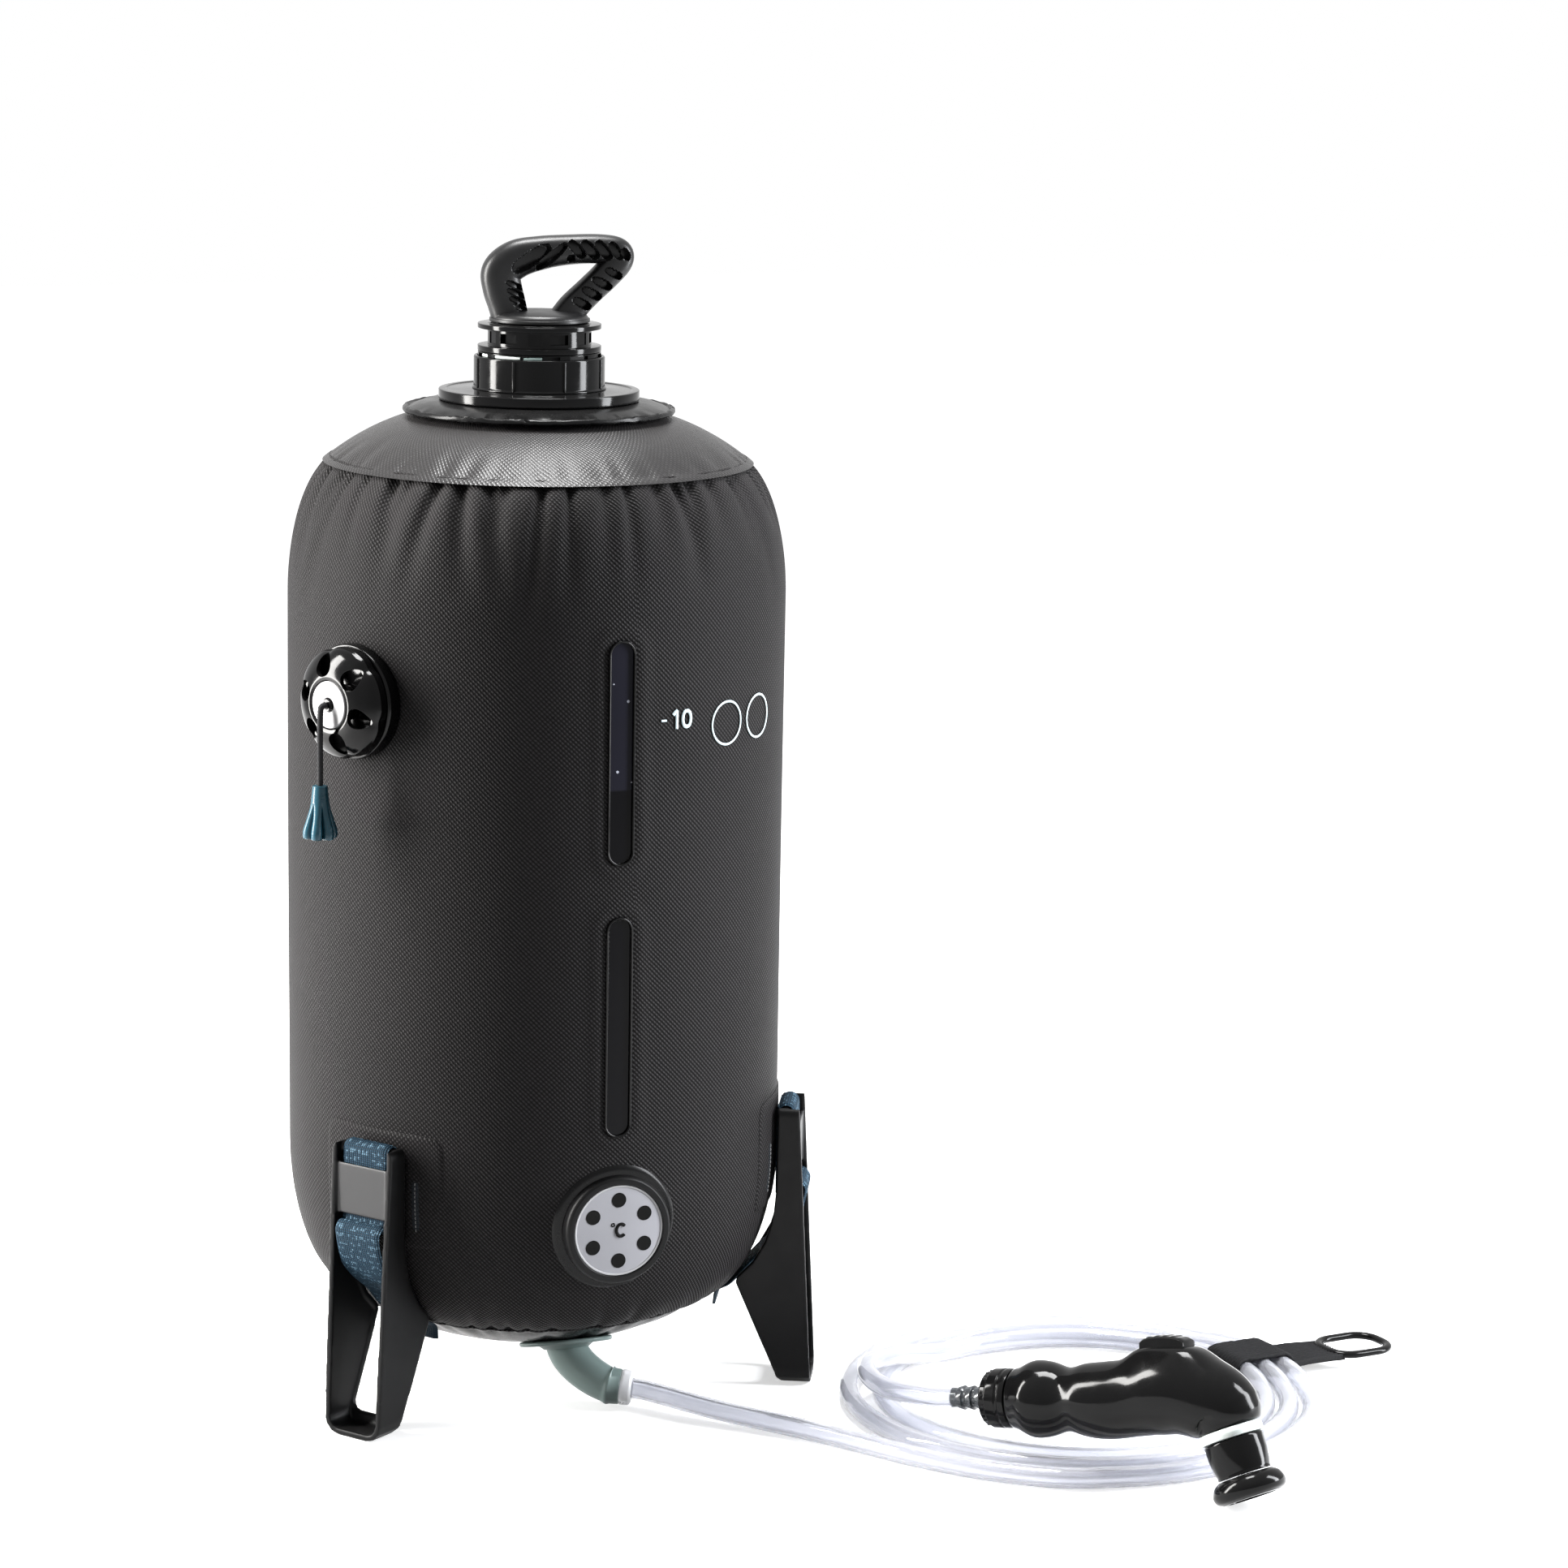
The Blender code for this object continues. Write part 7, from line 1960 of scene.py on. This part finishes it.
def handset():
    """Barb, collar, body, button, band, sleeve and spray knob."""
    place = handset_place()
    lengthwise = place @ Matrix.Rotation(math.pi / 2, 4, "Y")
    outline = [(0.0030, BARB_LENGTH), (0.0056, BARB_LENGTH), (0.0056, BARB_LENGTH - 0.0012)]
    for i in range(3):
        high = BARB_LENGTH - 0.0017 - 0.0046 * i
        outline += [(0.0044, high), (0.0054, high - 0.0006), (0.0049, high - 0.0030), (0.0044, high - 0.0036)]
    outline += [(0.0044, 0.0), (0.0030, 0.0)]
    barb = turned("hose_stem", outline, lengthwise, steps=48, rounding=0.0002, closed=True)
    dressed(barb, "bag", "clear_hose", "smoky_barb", ("hose_barb",), angle=30)

    low = BARB_LENGTH + GAP
    collar = turned(
        "inlet_nut",
        [
            (0.0035, low + COLLAR_LENGTH - GAP),
            (0.0128, low + COLLAR_LENGTH - GAP),
            (0.0131, low + 0.0100),
            (0.0126, low + 0.0096),
            (0.0126, low + 0.0086),
            (0.0130, low + 0.0082),
            (0.0130, low + 0.0036),
            (0.0118, low + 0.0031),
            (0.0117, low + 0.0006),
            (0.0110, low),
            (0.0035, low),
        ],
        lengthwise,
        steps=72,
        closed=True,
    )
    for i in range(18):
        turn = lengthwise @ Matrix.Rotation(math.tau * i / 18, 4, "Z")
        rib = [(0.0118, 0, low + 0.0008), (0.0118, 0, low + 0.0016), (0.0118, 0, low + 0.0029)]
        carve(collar, swept("rib", rib, [0.0004] * 3, turn, sides=8, hint=(1, 0, 0)), "UNION")
    dressed(collar, "bag", "black_gloss", nodes=("inlet_collar",))

    line = flowing(handset_form(), 12)
    line = evenly(line, 0.0010)
    path = np.stack([line[:, 0], 0 * line[:, 0], line[:, 1]], axis=1)
    body = swept("handset_shell", path, line[:, 2], BAG.inverted(), sides=64, hint=(0, 1, 0))
    for vertex in body.data.vertices:
        near = math.exp(-(((vertex.co.x - BUTTON_REACH - 0.001) / 0.0175) ** 4))
        side = math.exp(-((vertex.co.y / 0.0105) ** 4))
        vertex.co.z += max(0.0, 0.0238 - vertex.co.z) * near * side * (vertex.co.z > 0.010)
    remeshed(body, 0.0007, 12)
    body.data.transform(BAG @ place)
    pocket = box_tool("pocket", (0.0213, 0.0128, 0.0230), (BUTTON_REACH, 0, BUTTON_TOP - 0.0055), place)
    carve(body, pocket)
    dressed(body, "bag", "black_gloss", nodes=("handset_body",), angle=34)

    length, wide = 0.0205, 0.0120
    xs = np.linspace(-1, 1, 36)
    ys = np.linspace(-1, 1, 22)
    a, b = np.meshgrid(xs, ys, indexing="ij")
    hump = 0.0012 * (1 - a**2) - 0.0010 * np.abs(b) ** 6 - 0.0010 * np.abs(a) ** 8
    ridges = 0.00022 * np.sin(a * 17) * (np.abs(b) < 0.75) * (np.abs(a) < 0.7)
    top = np.stack([BUTTON_REACH + a * length / 2, b * wide / 2, BUTTON_TOP - 0.0012 + hump + ridges], axis=2)
    base = top.copy()
    base[..., 2] = BUTTON_TOP - 0.0140
    points = np.concatenate([top, base[:, ::-1]], axis=1)
    button = link("thumb_key", tidy(sheet_mesh("thumb_key", points, around=True), ends=True), BAG @ place)
    dressed(button, "thumb_button", "black_gloss", nodes=("thumb_button",), angle=50)

    down = handset_place() @ Matrix.Translation((HEAD_REACH, 0, 0)) @ Matrix.Rotation(
        math.pi / 2 + HEAD_ANGLE, 4, "Y"
    )
    low = HEAD_JOINT + GAP
    band = turned(
        "neck_band",
        [
            (0.0035, low),
            (0.0136, low),
            (0.0139, low + 0.0021),
            (0.0136, low + 0.0042),
            (0.0035, low + 0.0042),
        ],
        down,
        steps=96,
        closed=True,
    )
    dressed(band, "bag", "pale_plastic", nodes=("head_band",))
    low += 0.0032 + GAP
    sleeve = turned(
        "neck_sleeve",
        [
            (0.0035, low + 0.0010),
            (0.0126, low + 0.0010),
            (0.0130, low + 0.0020),
            (0.0129, low + 0.0080),
            (0.0122, low + 0.0130),
            (0.0116, low + SLEEVE_LENGTH - 0.0012),
            (0.0118, low + SLEEVE_LENGTH),
            (0.0035, low + SLEEVE_LENGTH),
        ],
        down,
        steps=96,
        closed=True,
    )
    dressed(sleeve, "bag", "black_gloss", nodes=("head_sleeve",))
    low += SLEEVE_LENGTH + GAP
    edge = flowing(
        [
            (0.0120, 0.0002),
            (0.0143, 0.0018),
            (0.0157, 0.0042),
            (0.0160, 0.0064),
            (0.0150, 0.0086),
            (0.0128, 0.0099),
        ],
        6,
    )
    outline = [(0.0035, 0.0)] + [tuple(p) for p in edge]
    outline += [(0.0108, 0.0100), (0.0108, 0.0062), (0.0035, 0.0062)]
    knob = turned(
        "spray_head", [(r, low + z) for r, z in outline], down, steps=120, rounding=0.0003, closed=True
    )
    dressed(knob, "spray_knob", "black_gloss", nodes=("spray_knob",), angle=32)


def declare_cords():
    """Say what the hose and the valve's cord are, and what is on them."""


# ---------------------------------------------------------------- stage


def white_to(tree, path):
    """The rays that see the white room: the camera's, and those in gloss and through the hose."""
    clear = calc(tree, "MAXIMUM", path.outputs["Is Camera Ray"], path.outputs["Is Transmission Ray"])
    return calc(tree, "MAXIMUM", clear, path.outputs["Is Glossy Ray"])


def stage(settings):
    """Floor, lamps, world and camera."""
    scene = bpy.context.scene
    scene.view_settings.view_transform = "Standard"
    floor_mesh = bpy.data.meshes.new("floor")
    reach = FLOOR_REACH
    floor_mesh.from_pydata(
        [(-reach, -reach, 0), (reach, -reach, 0), (reach, reach, 0), (-reach, reach, 0)],
        [],
        [(0, 1, 2, 3)],
    )
    floor = bpy.data.objects.new("floor", floor_mesh)
    floor.location.z = -FLOOR_DROP
    scene.collection.objects.link(floor)
    material = bpy.data.materials.new("studio_floor")
    material.use_nodes = True
    tree = material.node_tree
    tree.nodes.clear()
    path = add(tree, "ShaderNodeLightPath")
    seen = white_to(tree, path)
    diffuse = add(tree, "ShaderNodeBsdfDiffuse", {"Color": (*settings.floor_colour, 1)})
    # The lamps reach less of the far floor, so it glows more by itself
    away = add(
        tree,
        "ShaderNodeVectorMath",
        {0: add(tree, "ShaderNodeNewGeometry").outputs["Position"]},
        operation="LENGTH",
    )
    level = ranged(tree, away.outputs["Value"], 0.4, 1.4, settings.floor_glow, 1.0)
    glow = add(tree, "ShaderNodeEmission", {"Color": (1, 1, 1, 1), "Strength": level})
    lit = add(tree, "ShaderNodeAddShader", {0: diffuse.outputs[0], 1: glow.outputs[0]})
    dim = add(tree, "ShaderNodeBsdfDiffuse", {"Color": (*settings.bounce_colour, 1)})
    both = add(tree, "ShaderNodeMixShader", {0: seen, 1: dim.outputs[0], 2: lit.outputs[0]})
    out = add(tree, "ShaderNodeOutputMaterial", {"Surface": both.outputs[0]})
    out.is_active_output = True
    floor_mesh.materials.append(material)

    world = bpy.data.worlds.new("studio")
    world.use_nodes = True
    tree = world.node_tree
    tree.nodes.clear()
    path = add(tree, "ShaderNodeLightPath")
    seen = white_to(tree, path)
    plain = add(tree, "ShaderNodeBackground", {"Color": (1, 1, 1, 1), "Strength": settings.world_level})
    white = add(tree, "ShaderNodeBackground", {"Color": (1, 1, 1, 1), "Strength": 1.0})
    both = add(tree, "ShaderNodeMixShader", {0: seen, 1: plain.outputs[0], 2: white.outputs[0]})
    add(tree, "ShaderNodeOutputWorld", {"Surface": both.outputs[0]})
    scene.world = world

    focus = BAG @ Vector((0, 0, FOCUS_HEIGHT))
    for name, (azimuth, reach, height, wide, tall, power, tint) in LAMPS.items():
        lamp = bpy.data.lights.new(name, "AREA")
        lamp.shape = "RECTANGLE"
        lamp.size, lamp.size_y = wide, tall
        lamp.energy = getattr(settings, power)
        lamp.color = tint
        holder = bpy.data.objects.new(name, lamp)
        holder.location = BAG @ around(math.radians(azimuth), reach, height)
        holder.rotation_euler = (focus - holder.location).to_track_quat("-Z", "Y").to_euler()
        scene.collection.objects.link(holder)

    camera = bpy.data.cameras.new("camera")
    camera.lens = CAMERA_LENS
    camera.sensor_width = 36.0
    camera.clip_end = 50.0
    holder = bpy.data.objects.new("camera", camera)
    turn = Matrix((CAMERA_RIGHT, CAMERA_UP, CAMERA_RIGHT.cross(CAMERA_UP))).transposed().to_4x4()
    holder.matrix_world = BAG @ Matrix.Translation(CAMERA_PLACE) @ turn
    scene.collection.objects.link(holder)
    scene.camera = holder


def inner_solids():
    """Finish the solids that stay: the pump's and the valve's working parts."""
    for node, slot in (
        ("neck_gasket", "black_rubber"),
        ("pump_barrel", "barrel_plastic"),
        ("barrel_foot", "black_gloss"),
        ("check_flap", "black_rubber"),
        ("piston", "black_gloss"),
        ("piston_ring", "black_rubber"),
        ("plunger_rod", "spring_steel"),
        ("vent_stem", "black_gloss"),
        ("valve_pin", "spring_steel"),
        ("button_spring", "spring_steel"),
        ("spray_plate", "black_satin"),
    ):
        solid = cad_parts[node]
        solid.data.materials.clear()
        solid.data.materials.append(FINISHES[slot])


# ---------------------------------------------------------------- the add-on


def colour_setting(title, text, default):
    """A colour in the panel."""
    return bpy.props.FloatVectorProperty(
        name=title, description=text, subtype="COLOR", size=3, default=default, min=0, max=1
    )


def level_setting(title, text, default):
    """A level in the panel."""
    return bpy.props.FloatProperty(name=title, description=text, default=default, min=0, max=2)


def power_setting(title, text, default):
    """A lamp's power in the panel."""
    return bpy.props.FloatProperty(
        name=title, description=text, default=default, min=0, unit="POWER"
    )


class ShowerCloth(bpy.types.PropertyGroup):
    """Sizes and colours of the cloth."""

    fold_count: bpy.props.IntProperty(
        name="Folds", description="Puckers round each seam", default=50, min=8, max=90
    )
    fold_depth: bpy.props.FloatProperty(
        name="Fold depth",
        description="How far a pucker draws the cloth in",
        default=0.0040,
        min=0,
        max=0.006,
        unit="LENGTH",
    )
    weave_pitch: bpy.props.FloatProperty(
        name="Weave pitch",
        description="Width of one diagonal rib of the twill",
        default=0.0020,
        min=0.0004,
        max=0.004,
        unit="LENGTH",
    )
    cloth_colour: colour_setting("Cloth", "Colour of the coated twill", (0.017, 0.016, 0.0165))
    webbing_colour: colour_setting("Webbing", "Colour of the straps", (0.006, 0.030, 0.055))
    gloss_colour: colour_setting("Gloss plastic", "Colour of the shiny fittings", (0.003, 0.003, 0.0032))
    satin_colour: colour_setting("Satin plastic", "Colour of legs and handle", (0.004, 0.004, 0.0043))
    bore_share: bpy.props.FloatProperty(
        name="Hose bore",
        description="The hose's bore as a share of its outside",
        default=0.66,
        min=0.3,
        max=0.9,
        subtype="FACTOR",
    )


class ShowerStage(bpy.types.PropertyGroup):
    """Levels of the stage."""

    floor_colour: colour_setting("Floor", "Colour of the floor", (0.80, 0.80, 0.80))
    bounce_colour: colour_setting("Bounce", "Colour of the floor in what it lights", (0.15, 0.15, 0.15))
    floor_glow: level_setting("Floor glow", "Light that the floor shows by itself", 0.55)
    world_level: level_setting("Room light", "Light from all round", 0.10)
    left_power: power_setting("Left lamp", "Power of the left softbox", 62.0)
    right_power: power_setting("Right lamp", "Power of the right softbox", 41.0)
    top_power: power_setting("Top lamp", "Power of the lamp above", 33.0)


def step(label, text, work):
    """An operator class for one piece or group of like pieces."""

    def execute(self, context):
        work(context.scene)
        return {"FINISHED"}

    name = label.lower().replace(" ", "_")
    return type(
        "SHOWER_OT_" + name,
        (bpy.types.Operator,),
        {"bl_idname": "shower." + name, "bl_label": label, "__doc__": text, "execute": execute},
    )


def all_legs():
    """The three legs."""
    for i in range(LEG_COUNT):
        leg(i + 1, FIRST_LEG_AZIMUTH + math.tau * i / LEG_COUNT)


def all_windows():
    """Both level windows."""
    for name, centre in WINDOW_CENTRES.items():
        window(name, centre)


def finishes(scene):
    """Materials, and the solids that keep their shape."""
    FINISHES.update(make_materials(scene.shower_cloth))
    inner_solids()


def hose_and_outlet(scene):
    """The outlet, and the hose that starts at it."""
    start, leaving = outlet()
    hose(start, leaving, scene.shower_cloth)


def bag_cloth(scene):
    """Panels, liner and seams."""
    bag_side(scene.shower_cloth)
    bag_top(scene.shower_cloth)
    bag_base(scene.shower_cloth)
    bag_liner()
    bag_seams()


STEPS = (
    step("Stage", "Floor, lamps and camera.", lambda scene: stage(scene.shower_stage)),
    step("Finishes", "Materials, and the solids that keep their shape.", finishes),
    step("Hose", "Outlet elbow and the coiled hose.", hose_and_outlet),
    step("Bag", "The bag's panels, liner and seams.", bag_cloth),
    step("Neck", "Welded ring, flange and collar.", lambda scene: neck()),
    step("Pump", "Pump head and cage.", lambda scene: pump()),
    step("Pump handle", "The loop handle.", lambda scene: pump_handle()),
    step("Windows", "The two level windows.", lambda scene: all_windows()),
    step("Thermometer", "Patch, bezel and dial.", lambda scene: thermometer()),
    step("Vent valve", "Boss, cap and insert.", lambda scene: vent_valve()),
    step("Vent spring", "The spring under the insert.", lambda scene: vent_coil()),
    step("Toggle", "The valve's cord and toggle.", lambda scene: pull_toggle()),
    step("Marks", "The plain marks on the wall.", lambda scene: prints()),
    step("Legs", "Legs, straps and their patches.", lambda scene: all_legs()),
    step("Tie", "The band on the coil and its ring.", lambda scene: tie()),
    step("Handset", "The handset and its moving pieces.", lambda scene: handset()),
    step("Cords", "What the hose and the valve's cord are.", lambda scene: declare_cords()),
)


class SHOWER_PT_panel(bpy.types.Panel):
    """Lists the steps and the settings."""

    bl_label = "Camp shower"
    bl_idname = "SHOWER_PT_panel"
    bl_space_type = "VIEW_3D"
    bl_region_type = "UI"
    bl_category = "Camp shower"

    def draw(self, context):
        for group in (context.scene.shower_cloth, context.scene.shower_stage):
            for key in group.bl_rna.properties.keys():
                if key not in ("rna_type", "name"):
                    self.layout.prop(group, key)
        for operator in STEPS:
            self.layout.operator(operator.bl_idname)


CLASSES = (ShowerCloth, ShowerStage, *STEPS, SHOWER_PT_panel)


def register():
    for item in CLASSES:
        bpy.utils.register_class(item)
    bpy.types.Scene.shower_cloth = bpy.props.PointerProperty(type=ShowerCloth)
    bpy.types.Scene.shower_stage = bpy.props.PointerProperty(type=ShowerStage)


def unregister():
    del bpy.types.Scene.shower_cloth
    del bpy.types.Scene.shower_stage
    for item in reversed(CLASSES):
        bpy.utils.unregister_class(item)


def main():
    """Run every step, and write the box of the solids and of what is seen."""
    register()
    for operator in STEPS:
        getattr(bpy.ops.shower, operator.bl_idname.split(".")[1])()


if __name__ == "__main__":
    main()
